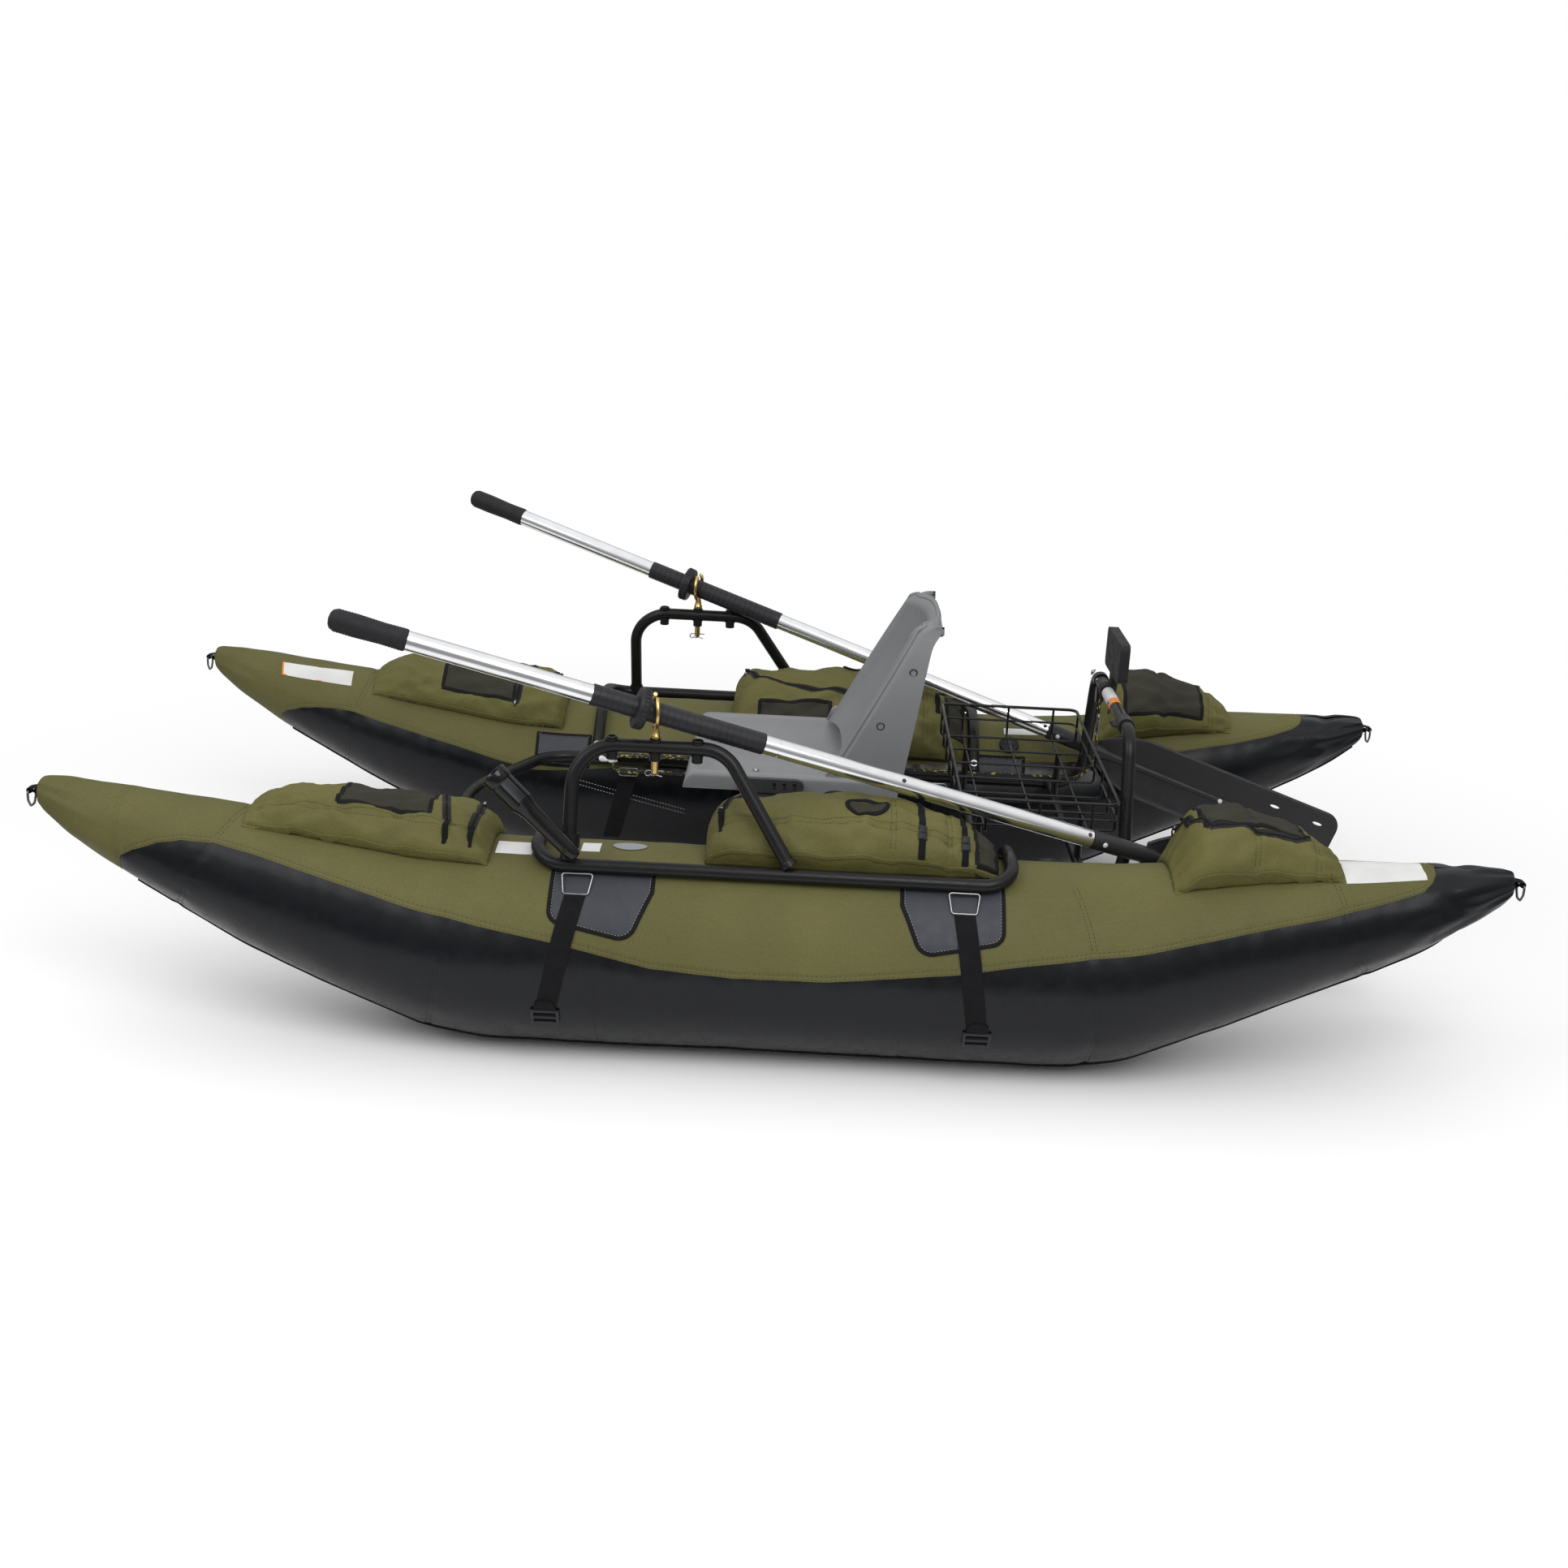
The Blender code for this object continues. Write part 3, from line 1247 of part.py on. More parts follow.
def make_oarlock(label, side):
    """A pin, a neck and an open round horn, upright across the oar."""
    pivot = oar_pivot(side)
    flat = oar_direction(side)
    flat.z = 0
    across = flat.normalized().cross(Vector((0, 0, 1)))
    centre_z = OAR_PIVOT_Z - HORN_DROP + HORN_INNER
    radius = HORN_INNER + HORN_WIRE
    start = 90.0 + HORN_GAP_ANGLE / 2
    sweep = 360.0 - HORN_GAP_ANGLE
    path = []
    for k in range(HORN_STEPS + 1):
        angle = math.radians(start + sweep * k / HORN_STEPS)
        lateral = across * (radius * math.cos(angle))
        path.append(Vector((pivot.x, pivot.y, centre_z + radius * math.sin(angle))) + lateral)
    horn = tube_object("oarlock_" + label, path, HORN_WIRE, WIRE_FACETS, brass())
    bush_top = ARCH_TOP_Z + FRAME_TUBE_RADIUS + SOCKET_ABOVE
    bush_low = ARCH_TOP_Z - FRAME_TUBE_RADIUS - SOCKET_BELOW
    neck_top = centre_z - radius
    pin = (
        (0, OARLOCK_PIN_RADIUS * 0.7),
        (OARLOCK_PIN_RADIUS * 0.5, OARLOCK_PIN_RADIUS),
        (OARLOCK_PIN_BELOW + bush_top - bush_low + SEAT_GAP, OARLOCK_PIN_RADIUS),
        (OARLOCK_PIN_BELOW + bush_top - bush_low + SEAT_GAP, OARLOCK_NECK_RADIUS),
        (neck_top - bush_low + OARLOCK_PIN_BELOW, OARLOCK_PIN_RADIUS),
    )
    foot = Vector((pivot.x, pivot.y, bush_low - OARLOCK_PIN_BELOW))
    stem = turned_object("stem", foot, (0, 0, 1), pin, SOCKET_FACETS, brass())
    hole_z = foot.z + HAIRPIN_RISE
    hole = tube_object(
        "hole",
        [
            (pivot.x - 2 * OARLOCK_PIN_RADIUS, pivot.y, hole_z),
            (pivot.x + 2 * OARLOCK_PIN_RADIUS, pivot.y, hole_z),
        ],
        HAIRPIN_HOLE,
        SOCKET_FACETS,
        brass(),
    )
    combine(horn, [stem], "UNION")
    combine(horn, [hole], "DIFFERENCE")
    horn.data.transform(Matrix.Translation(-pivot))
    horn.location = pivot
    return horn


def make_hairpin(label, side):
    """A bent wire through the oarlock's pin: one leg through the hole and a loop behind."""
    pivot = oar_pivot(side)
    bush_low = ARCH_TOP_Z - FRAME_TUBE_RADIUS - SOCKET_BELOW
    hole_z = bush_low - OARLOCK_PIN_BELOW + HAIRPIN_RISE
    start_x = pivot.x - HAIRPIN_LEG * 0.4
    end_x = pivot.x + HAIRPIN_LEG * 0.55
    below = hole_z - 2 * HAIRPIN_LOOP
    path = [
        (start_x, pivot.y, hole_z),
        (pivot.x, pivot.y, hole_z),
        (end_x, pivot.y, hole_z),
        (end_x + HAIRPIN_LOOP, pivot.y, hole_z - HAIRPIN_LOOP * 0.4),
        (end_x + HAIRPIN_LOOP, pivot.y, below + HAIRPIN_LOOP * 0.4),
        (end_x, pivot.y, below),
        (pivot.x + OARLOCK_PIN_RADIUS, pivot.y, below),
        (start_x + HAIRPIN_LOOP, pivot.y, below + HAIRPIN_LOOP * 0.4),
    ]
    name = "hairpin_" + label
    return tube_object(name, path, HAIRPIN_WIRE, WIRE_FACETS, bright_steel(), origin=pivot)


def add_wall(bm, front, back):
    """Close two equal grids of points into one solid wall."""
    front = [[bm.verts.new(point) for point in row] for row in front]
    back = [[bm.verts.new(point) for point in row] for row in back]
    rows = len(front)
    columns = len(front[0])
    for i in range(rows - 1):
        for j in range(columns - 1):
            bm.faces.new((front[i][j], front[i][j + 1], front[i + 1][j + 1], front[i + 1][j]))
            bm.faces.new((back[i][j], back[i + 1][j], back[i + 1][j + 1], back[i][j + 1]))
    for i in range(rows - 1):
        for j in (0, columns - 1):
            bm.faces.new((front[i][j], front[i + 1][j], back[i + 1][j], back[i][j]))
    for j in range(columns - 1):
        for i in (0, rows - 1):
            bm.faces.new((front[i][j], back[i][j], back[i][j + 1], front[i][j + 1]))


def seat_row(share, dish, drop, wall):
    """One line across the seat; wall is 0 for its outer face and the wall's thickness for its inner one."""
    rim = SEAT_HALF_WIDTH - wall
    inner_rim = SEAT_HALF_WIDTH - SEAT_RIM_WIDTH
    depth = SEAT_RIM_Z - SEAT_PAN_Z
    hem = SEAT_RIM_Z - SEAT_SKIRT
    x = SEAT_FRONT_X + (SEAT_REAR_X - SEAT_FRONT_X) * share
    if share < SEAT_DISH_SHARES[2][0]:
        x += wall * (1 - share)
    lip = SEAT_RIM_Z - SEAT_SKIRT * drop
    top = lip if drop >= 1 else lip - wall
    corner = SEAT_RIM_WIDTH / 2
    side = (top - hem) / (SEAT_RIM_Z - hem)
    points = [(rim, hem), (rim, max(top - corner * side, hem)), (rim - corner / 2, top), (inner_rim, top)]
    for out, fall in SEAT_PAN_SHARES:
        points.append((SEAT_HALF_WIDTH * out, top - depth * fall * dish))
    port = [Vector((x, -out, z)) for out, z in points]
    starboard = [Vector((x, out, z)) for out, z in reversed(points)]
    return port + starboard


def make_seat_base():
    """Moulded tray: raised rims, a dished pan, a rolled front lip and two hinge ears."""
    top = [seat_row(share, dish, drop, 0) for share, dish, drop in SEAT_DISH_SHARES]
    under = [seat_row(share, dish, drop, SEAT_WALL) for share, dish, drop in SEAT_DISH_SHARES]
    bm = bmesh.new()
    add_wall(bm, top, under)
    base = new_object("seat_base", bm, grey_plastic())
    inner = SEAT_BACK_HALF_WIDTH + SEAT_GAP
    outer = inner + SEAT_EAR_WIDTH
    ears = []
    holes = []
    for sign in (-1, 1):
        ears.append(make_ear(sign * inner, sign * outer))
        start = (SEAT_HINGE_X, sign * (inner - CUT_OVERRUN), SEAT_HINGE_Z)
        reach = SEAT_EAR_WIDTH + 2 * CUT_OVERRUN
        hole = ((0, SEAT_HINGE_RADIUS + RUNNING_GAP), (reach, SEAT_HINGE_RADIUS + RUNNING_GAP))
        holes.append(turned_object("hole", start, (0, sign, 0), hole, SOCKET_FACETS, grey_plastic()))
    combine(base, ears, "UNION")
    return combine(base, holes, "DIFFERENCE")


def make_ear(near, far):
    """A rounded hinge ear that stands on the seat's side rim."""
    foot = SEAT_RIM_Z - SEAT_WALL * 0.6
    spread = 1.8 * SEAT_EAR_RADIUS
    points = [(SEAT_HINGE_X - spread, foot)]
    for turned in (150.0, 120.0, 90.0, 60.0, 30.0):
        angle = math.radians(turned)
        x = SEAT_HINGE_X + SEAT_EAR_RADIUS * math.cos(angle)
        points.append((x, SEAT_HINGE_Z + SEAT_EAR_RADIUS * math.sin(angle)))
    points.append((SEAT_HINGE_X + spread, foot))
    bm = bmesh.new()
    add_rings(bm, [[Vector((x, y, z)) for x, z in points] for y in (near, far)])
    return new_object("ear", bm, grey_plastic())


def back_section(share, wall, roll=0.0):
    """One level of the seat back, from the port flange's rear edge round to the starboard one."""
    front = BACK_FRONT_LOW_X + (BACK_FRONT_TOP_X - BACK_FRONT_LOW_X) * share + SEAT_BACK_ROLL * roll + wall
    rear = BACK_REAR_LOW_X + (BACK_REAR_TOP_X - BACK_REAR_LOW_X) * share
    half = SEAT_BACK_HALF_WIDTH + (BACK_TOP_HALF_WIDTH - SEAT_BACK_HALF_WIDTH) * share**3 - wall
    z = SEAT_BACK_LOW_Z + (SEAT_BACK_TOP_Z - SEAT_BACK_LOW_Z) * share
    z += SEAT_BACK_ROLL_RISE * roll - wall * roll
    corner = BACK_CORNER - wall
    dish = BACK_DISH * math.sin(math.pi * (0.15 + 0.7 * share))
    points = [(rear, half), (front + corner, half)]
    points.append((front + corner * 0.3, half - corner * 0.3))
    points.append((front, half - corner))
    flat = SEAT_BACK_HALF_WIDTH - BACK_CORNER
    for out_share in (0.8, 0.5, 0.25):
        out = (half - corner) * out_share
        points.append((front + dish * (1 - (out / flat) ** 2), out))
    port = [Vector((x, -out, z)) for x, out in points]
    starboard = [Vector((x, out, z)) for x, out in reversed(points)]
    return port + starboard


def make_seat_back():
    """Moulded bucket back: a dished panel with side flanges, hinge lugs and a top that rolls astern."""
    levels = [k / (SEAT_BACK_LEVELS - 1) for k in range(SEAT_BACK_LEVELS)]
    outer = [back_section(share, 0) for share in levels] + [back_section(1.0, 0, 1.0)]
    inner = [back_section(share, SEAT_BACK_WALL) for share in levels]
    inner.append(back_section(1.0, SEAT_BACK_WALL, 1.0))
    bm = bmesh.new()
    add_wall(bm, outer, inner)
    back = new_object("seat_back", bm, grey_plastic())
    lugs = []
    holes = []
    for sign in (-1, 1):
        start = Vector((SEAT_HINGE_X, sign * (SEAT_BACK_HALF_WIDTH - SEAT_BACK_WALL), SEAT_HINGE_Z))
        lug = ((0, SEAT_EAR_RADIUS), (SEAT_BACK_WALL, SEAT_EAR_RADIUS))
        lugs.append(turned_object("lug", start, (0, sign, 0), lug, OAR_FACETS, grey_plastic()))
        reach = 4 * SEAT_BACK_WALL + CUT_OVERRUN
        bore = SEAT_HINGE_RADIUS + RUNNING_GAP
        start = start - Vector((0, sign * 3 * SEAT_BACK_WALL, 0))
        bore_profile = ((0, bore), (reach, bore))
        facing = (0, sign, 0)
        holes.append(turned_object("hole", start, facing, bore_profile, FERRULE_FACETS, grey_plastic()))
        for share in BACK_HOLE_SHARES:
            x = BACK_FRONT_LOW_X + (BACK_FRONT_TOP_X - BACK_FRONT_LOW_X) * share + 2 * BACK_CORNER
            z = SEAT_BACK_LOW_Z + (SEAT_BACK_TOP_Z - SEAT_BACK_LOW_Z) * share
            place = Vector((x, sign * (SEAT_BACK_HALF_WIDTH - 4 * SEAT_BACK_WALL), z))
            bore = ((0, BACK_HOLE_RADIUS), (8 * SEAT_BACK_WALL, BACK_HOLE_RADIUS))
            holes.append(turned_object("hole", place, facing, bore, SOCKET_FACETS, grey_plastic()))
    combine(back, lugs, "UNION")
    combine(back, holes, "DIFFERENCE")
    return move_origin(back, (SEAT_HINGE_X, 0, SEAT_HINGE_Z))


def move_origin(made, origin):
    """Put an object's origin at a world place without moving its shape."""
    made.data.transform(Matrix.Translation(-Vector(origin)))
    made.location = Vector(origin)
    return made


def make_seat_bolt(label, side):
    """A shouldered bolt through the ear and the seat back's lug."""
    reach = SEAT_EAR_WIDTH + SEAT_BACK_WALL + 3 * SEAT_GAP + SEAT_BOLT_HEAD_LENGTH
    start_out = SEAT_BACK_HALF_WIDTH + SEAT_EAR_WIDTH + 2 * SEAT_GAP + SEAT_BOLT_HEAD_LENGTH
    start = port_side(side, SEAT_HINGE_X, start_out, SEAT_HINGE_Z)
    profile = (
        (0, SEAT_BOLT_HEAD_RADIUS * 0.8),
        (SEAT_BOLT_HEAD_LENGTH / 3, SEAT_BOLT_HEAD_RADIUS),
        (SEAT_BOLT_HEAD_LENGTH, SEAT_BOLT_HEAD_RADIUS),
        (SEAT_BOLT_HEAD_LENGTH, SEAT_HINGE_RADIUS),
        (SEAT_BOLT_HEAD_LENGTH + reach, SEAT_HINGE_RADIUS),
    )
    name = "seat_hinge_bolt_" + label
    return turned_object(name, start, (0, -side, 0), profile, SOCKET_FACETS, bright_steel(), start)


def extruded(name, outline, low, high, axis, surface):
    """A flat outline of (a, b) pairs given thickness along one axis, numbered 0, 1 or 2."""
    rings = []
    for place in (low, high):
        ring = []
        for a, b in outline:
            point = [a, b]
            point.insert(axis, place)
            ring.append(Vector(point))
        rings.append(ring)
    bm = bmesh.new()
    add_rings(bm, rings)
    return new_object(name, bm, surface)


def round_ended(low, high, bottom, top):
    """A level bar outline with half-round ends."""
    radius = (top - bottom) / 2
    points = []
    for x, start in ((high - radius, -90.0), (low + radius, 90.0)):
        for k in range(HALF_ROUND_STEPS + 1):
            angle = math.radians(start + 180.0 * k / HALF_ROUND_STEPS)
            points.append((x + radius * math.cos(angle), bottom + radius + radius * math.sin(angle)))
    return points


def make_seat_bracket():
    """A slotted adjuster bar against the port skirt of the seat."""
    inner = -SEAT_HALF_WIDTH - SEAT_GAP
    outline = round_ended(BRACKET_X[0], BRACKET_X[1], BRACKET_Z[0], BRACKET_Z[1])
    bar = extruded("seat_side_bracket", outline, inner, inner - BRACKET_THICKNESS, 1, grey_plastic())
    middle = (BRACKET_Z[0] + BRACKET_Z[1]) / 2
    slots = []
    for x in BRACKET_SLOT_X:
        low = (x - BRACKET_SLOT_WIDTH / 2, inner + CUT_OVERRUN, middle - BRACKET_SLOT_HEIGHT / 2)
        far = inner - BRACKET_THICKNESS - CUT_OVERRUN
        high = (x + BRACKET_SLOT_WIDTH / 2, far, middle + BRACKET_SLOT_HEIGHT / 2)
        slots.append(box_object("slot", low, high, grey_plastic()))
    return combine(bar, slots, "DIFFERENCE")


def basket_cross_x(k):
    return BASKET_X[0] + (BASKET_X[1] - BASKET_X[0]) * (k + 0.5) / BASKET_CROSS_WIRES


def basket_loop(z, wire):
    front, rear = BASKET_X
    half = BASKET_HALF_WIDTH
    middle = (front + rear) / 2
    corners = [(middle, -half, z), (rear, -half, z), (rear, half, z), (front, half, z), (front, -half, z)]
    corners.append(corners[0])
    path = rounded_path(corners, [BASKET_CORNER] * 4, WIRE_BEND_STEPS)[:-1]
    return tube_object("loop", path, wire, BASKET_FACETS, black_steel(), True)


def basket_wire(path, radius, turn):
    return tube_object("wire", path, radius, BASKET_FACETS, black_steel(), turn=turn)


def make_wire_basket():
    """Welded basket: a rim, a side wire, U-shaped floor wires both ways and four feet on the bars."""
    front, rear = BASKET_X
    half = BASKET_HALF_WIDTH
    cross_z = BASKET_FLOOR_Z - BASKET_WIRE
    basket = basket_loop(BASKET_RIM_Z, BASKET_RIM_WIRE)
    basket.name = "wire_basket"
    wires = [basket_loop((BASKET_RIM_Z + BASKET_FLOOR_Z) / 2, BASKET_WIRE)]
    for k in range(BASKET_LONG_WIRES):
        y = BASKET_LONG_SPREAD * (2 * k / (BASKET_LONG_WIRES - 1) - 1)
        corners = [(front, y, BASKET_RIM_Z), (front, y, BASKET_FLOOR_Z), (rear, y, BASKET_FLOOR_Z)]
        corners.append((rear, y, BASKET_RIM_Z))
        path = rounded_path(corners, [BASKET_CORNER / 2] * 2, WIRE_BEND_STEPS)
        wires.append(basket_wire(path, BASKET_WIRE, BASKET_LONG_TURN))
    for k in range(BASKET_CROSS_WIRES):
        x = basket_cross_x(k)
        corners = [(x, -half, BASKET_RIM_Z), (x, -half, cross_z), (x, half, cross_z), (x, half, BASKET_RIM_Z)]
        path = rounded_path(corners, [BASKET_CORNER / 2] * 2, WIRE_BEND_STEPS)
        wires.append(basket_wire(path, BASKET_WIRE, BASKET_CROSS_TURN))
    foot_z = INNER_Z + CROSS_BAR_FLAT + SEAT_GAP
    for x in (basket_cross_x(0), basket_cross_x(BASKET_CROSS_WIRES - 1)):
        for y in (-BASKET_FOOT_OUT, BASKET_FOOT_OUT):
            ends = [(x, y, foot_z), (x, y, cross_z)]
            wires.append(basket_wire(ends, BASKET_RIM_WIRE, BASKET_FOOT_TURN))
    combine(basket, wires, "UNION", "MANIFOLD")
    return keep_main_body(basket)


def arch_leg_place():
    """The middle of the rod clamp on the port arch's front leg, and the leg's direction."""
    share = (ROD_CLAMP_Z - RAIL_Z) / (ARCH_TOP_Z - RAIL_Z)
    place = arch_point(PORT, ARCH_FRONT_X, share)
    along = (arch_point(PORT, ARCH_FRONT_X, 1.0) - arch_point(PORT, ARCH_FRONT_X, 0)).normalized()
    return place, along


def rod_pin_start():
    """Where the rod holder's pin leaves the clamp's boss."""
    place = arch_leg_place()[0]
    reach = FRAME_TUBE_RADIUS + RUNNING_GAP + ROD_CLAMP_WALL + ROD_BOSS_RADIUS / 2
    return place - Vector((0, reach, 0))


def make_rod_clamp():
    """A ring round the arch leg with a round boss and a pin that face outboard."""
    place, along = arch_leg_place()
    start = place - along * (ROD_CLAMP_LENGTH / 2)
    inner = FRAME_TUBE_RADIUS + RUNNING_GAP
    outer = inner + ROD_CLAMP_WALL
    bm = bmesh.new()
    outer_profile = ((0, outer), (ROD_CLAMP_LENGTH, outer))
    inner_profile = ((0, inner), (ROD_CLAMP_LENGTH, inner))
    add_hollow_turned(bm, start, along, outer_profile, inner_profile, ROD_FACETS)
    clamp = new_object("rod_holder_clamp", bm, black_plastic())
    face = rod_pin_start()
    root = Vector((place.x, place.y - inner - ROD_CLAMP_WALL / 2, place.z))
    boss_length = abs(face.y - root.y)
    pin_length = 2 * (ROD_STEM_RADIUS + SEAT_GAP) + CUT_OVERRUN
    profile = (
        (0, ROD_BOSS_RADIUS),
        (boss_length, ROD_BOSS_RADIUS),
        (boss_length, ROD_PIN_RADIUS),
        (boss_length + pin_length, ROD_PIN_RADIUS),
    )
    boss = turned_object("boss", root, (0, -1, 0), profile, SOCKET_FACETS, black_plastic())
    return combine(clamp, [boss], "UNION")


def make_rod_holder():
    """A stem that flares into an open cup with a long window, leaning towards the bow."""
    pivot = rod_pin_start() - Vector((0, ROD_STEM_RADIUS + SEAT_GAP, 0))
    lean = math.radians(ROD_LEAN)
    direction = Vector((-math.sin(lean), 0, math.cos(lean)))
    cap_start = ROD_CUP_END - ROD_CAP_LENGTH
    cone_end = ROD_CUP_START + ROD_CONE_LENGTH
    profile = (
        (ROD_STEM_END, ROD_STEM_RADIUS * 0.8),
        (ROD_STEM_END * 0.8, ROD_STEM_RADIUS),
        (ROD_CUP_START, ROD_STEM_RADIUS),
        (cone_end, ROD_CUP_RADIUS),
        (cap_start, ROD_CUP_RADIUS),
        (cap_start, ROD_CAP_RADIUS),
        (ROD_CUP_END, ROD_CAP_RADIUS),
        (ROD_CUP_END, ROD_CUP_BORE),
        (cone_end, ROD_CUP_BORE),
        (cone_end, 0),
    )
    holder = turned_object("rod_holder", pivot, direction, profile, ROD_FACETS, black_plastic())
    hole_start = pivot + Vector((0, ROD_STEM_RADIUS + CUT_OVERRUN, 0))
    hole_radius = ROD_PIN_RADIUS + RUNNING_GAP
    hole_profile = ((0, hole_radius), (2 * (ROD_STEM_RADIUS + CUT_OVERRUN), hole_radius))
    hole = turned_object("hole", hole_start, (0, -1, 0), hole_profile, SOCKET_FACETS, black_plastic())
    window = make_rod_window(pivot, direction, cone_end)
    combine(holder, [hole, window], "DIFFERENCE")
    return move_origin(holder, pivot)


def make_rod_window(pivot, direction, start):
    """The slot along the upper side of the cup."""
    outward = Vector((0, -1, 0)).cross(direction).normalized()
    if outward.z < 0:
        outward = -outward
    across = Vector((0, 1, 0))
    half = ROD_CUT_WIDTH / 2
    rings = []
    for along in (start, start + ROD_CUT_LENGTH):
        ring = []
        for lift, side in ((0, -half), (2 * ROD_CUP_RADIUS, -half), (2 * ROD_CUP_RADIUS, half), (0, half)):
            ring.append(pivot + direction * along + outward * lift + across * side)
        rings.append(ring)
    bm = bmesh.new()
    add_rings(bm, rings)
    return new_object("window", bm, black_plastic())


def hull_at(x):
    """The pontoon's axis height and radius at a place along the boat."""
    share = x / PONTOON_HALF_LENGTH
    pairs = zip(PONTOON_STATION_SHARES, PONTOON_STATION_SHARES[1:])
    for low, high in pairs:
        if low[0] <= share <= high[0]:
            part = (share - low[0]) / (high[0] - low[0])
            z = low[1] + (high[1] - low[1]) * part
            radius = low[2] + (high[2] - low[2]) * part
            return PONTOON_RADIUS * z + PONTOON_LIFT, PONTOON_RADIUS * radius
    return PONTOON_AXIS_Z, PONTOON_RADIUS


def make_bag(name, side, ends, height, angles, shares):
    """A stuffed bag that lies over the pontoon, cut to the pontoon's shape underneath."""
    middle_angle = sum(angles) / 2
    half_angle = (angles[1] - angles[0]) / 2
    rings = []
    for along, lift in shares:
        x = ends[0] + (ends[1] - ends[0]) * along
        z, radius = hull_at(x)
        ring = []
        for k in range(BAG_ARC_POINTS):
            part = 2 * k / (BAG_ARC_POINTS - 1) - 1
            rise = (1 - abs(part) ** BAG_SHAPE_POWER) ** (1 / BAG_SHAPE_POWER)
            reach = radius + height * lift * rise
            ring.append(bag_point(side, x, z, middle_angle + half_angle * part, reach))
        for part in (1.0, 0.0, -1.0):
            ring.append(bag_point(side, x, z, middle_angle + half_angle * part, radius * BAG_ROOT_SHARE))
        rings.append(ring)
    bm = bmesh.new()
    add_rings(bm, rings)
    bag = new_object(name, bm, olive_fabric())
    pontoon = pontoon_skin("pontoon", side, -BAG_GAP, PONTOON_STATION_SHARES, olive_fabric())
    return combine(bag, [pontoon], "DIFFERENCE")


def bag_point(side, x, z, angle, reach):
    out = PONTOON_HALF_SPACING + reach * math.cos(math.radians(angle))
    return port_side(side, x, out, z + reach * math.sin(math.radians(angle)))


def make_bags(label, side):
    make_bag("bag_front_" + label, side, FRONT_BAG_X, FRONT_BAG_HEIGHT, FRONT_BAG_ANGLES, FRONT_BAG_SHARES)
    name = "bag_middle_" + label
    make_bag(name, side, MIDDLE_BAG_X, MIDDLE_BAG_HEIGHT, MIDDLE_BAG_ANGLES, MIDDLE_BAG_SHARES)
    make_bag("bag_rear_" + label, side, REAR_BAG_X, REAR_BAG_HEIGHT, REAR_BAG_ANGLES, REAR_BAG_SHARES)


def bar_clamp(name, middle, length, surface):
    """A ring clamped round the top bar of the rear arch."""
    inner = FRAME_TUBE_RADIUS + SEAT_GAP
    outer = inner + BAR_CLAMP_WALL
    start = (REAR_ARCH_X, middle - length / 2, REAR_ARCH_TOP_Z)
    bm = bmesh.new()
    outer_profile = ((0, outer), (length, outer))
    inner_profile = ((0, inner), (length, inner))
    add_hollow_turned(bm, start, (0, 1, 0), outer_profile, inner_profile, CLAMP_FACETS)
    return new_object(name, bm, surface)


def make_pulley_bracket():
    """A clamp on the top bar with two cheeks and the sheave's axle."""
    bracket = bar_clamp("anchor_pulley_bracket", PULLEY_OUT, PULLEY_CLAMP_LENGTH, black_plastic())
    sheave_z = REAR_ARCH_TOP_Z - PULLEY_DROP
    near = SHEAVE_WIDTH / 2 + RUNNING_GAP
    far = near + PULLEY_CHEEK
    top = REAR_ARCH_TOP_Z - FRAME_TUBE_RADIUS - SEAT_GAP
    half = PULLEY_CHEEK_WIDTH / 2
    outline = [(PULLEY_OUT - half * 0.7, top), (PULLEY_OUT + half * 0.7, top)]
    for turned in (0.0, -45.0, -90.0, -135.0, -180.0):
        angle = math.radians(turned)
        outline.append((PULLEY_OUT + half * math.cos(angle), sheave_z + half * math.sin(angle)))
    parts = []
    for sign in (-1, 1):
        low = REAR_ARCH_X + sign * near
        high = REAR_ARCH_X + sign * far
        parts.append(extruded("cheek", outline, min(low, high), max(low, high), 0, black_plastic()))
    middle = near + PULLEY_CHEEK / 2
    start = (REAR_ARCH_X - middle, PULLEY_OUT, sheave_z)
    axle = ((0, SHEAVE_AXLE), (2 * middle, SHEAVE_AXLE))
    parts.append(turned_object("axle", start, (1, 0, 0), axle, SOCKET_FACETS, black_plastic()))
    return combine(bracket, parts, "UNION")


def make_sheave():
    """The grooved wheel that the anchor rope runs over."""
    sheave_z = REAR_ARCH_TOP_Z - PULLEY_DROP
    place = (REAR_ARCH_X, PULLEY_OUT, sheave_z)
    start = (REAR_ARCH_X - SHEAVE_WIDTH / 2, PULLEY_OUT, sheave_z)
    groove = SHEAVE_RADIUS - SHEAVE_GROOVE
    outer = (
        (0, SHEAVE_RADIUS),
        (SHEAVE_FLANGE, SHEAVE_RADIUS),
        (SHEAVE_FLANGE, groove),
        (SHEAVE_WIDTH - SHEAVE_FLANGE, groove),
        (SHEAVE_WIDTH - SHEAVE_FLANGE, SHEAVE_RADIUS),
        (SHEAVE_WIDTH, SHEAVE_RADIUS),
    )
    bore = SHEAVE_AXLE + RUNNING_GAP
    bm = bmesh.new()
    add_hollow_turned(bm, start, (1, 0, 0), outer, ((0, bore), (SHEAVE_WIDTH, bore)), CLAMP_FACETS)
    return new_object("anchor_sheave", bm, brass(), place)


def rope_turn():
    """Distance from the sheave's axis to the middle of the rope on it."""
    return SHEAVE_RADIUS - SHEAVE_GROOVE + ROPE_RADIUS + RUNNING_GAP


def clip_place():
    """The middle of the snap hook's upper bend, under the rope's end."""
    z = REAR_ARCH_TOP_Z - PULLEY_DROP - CLIP_DROP
    return Vector((REAR_ARCH_X, PULLEY_OUT - rope_turn(), z))


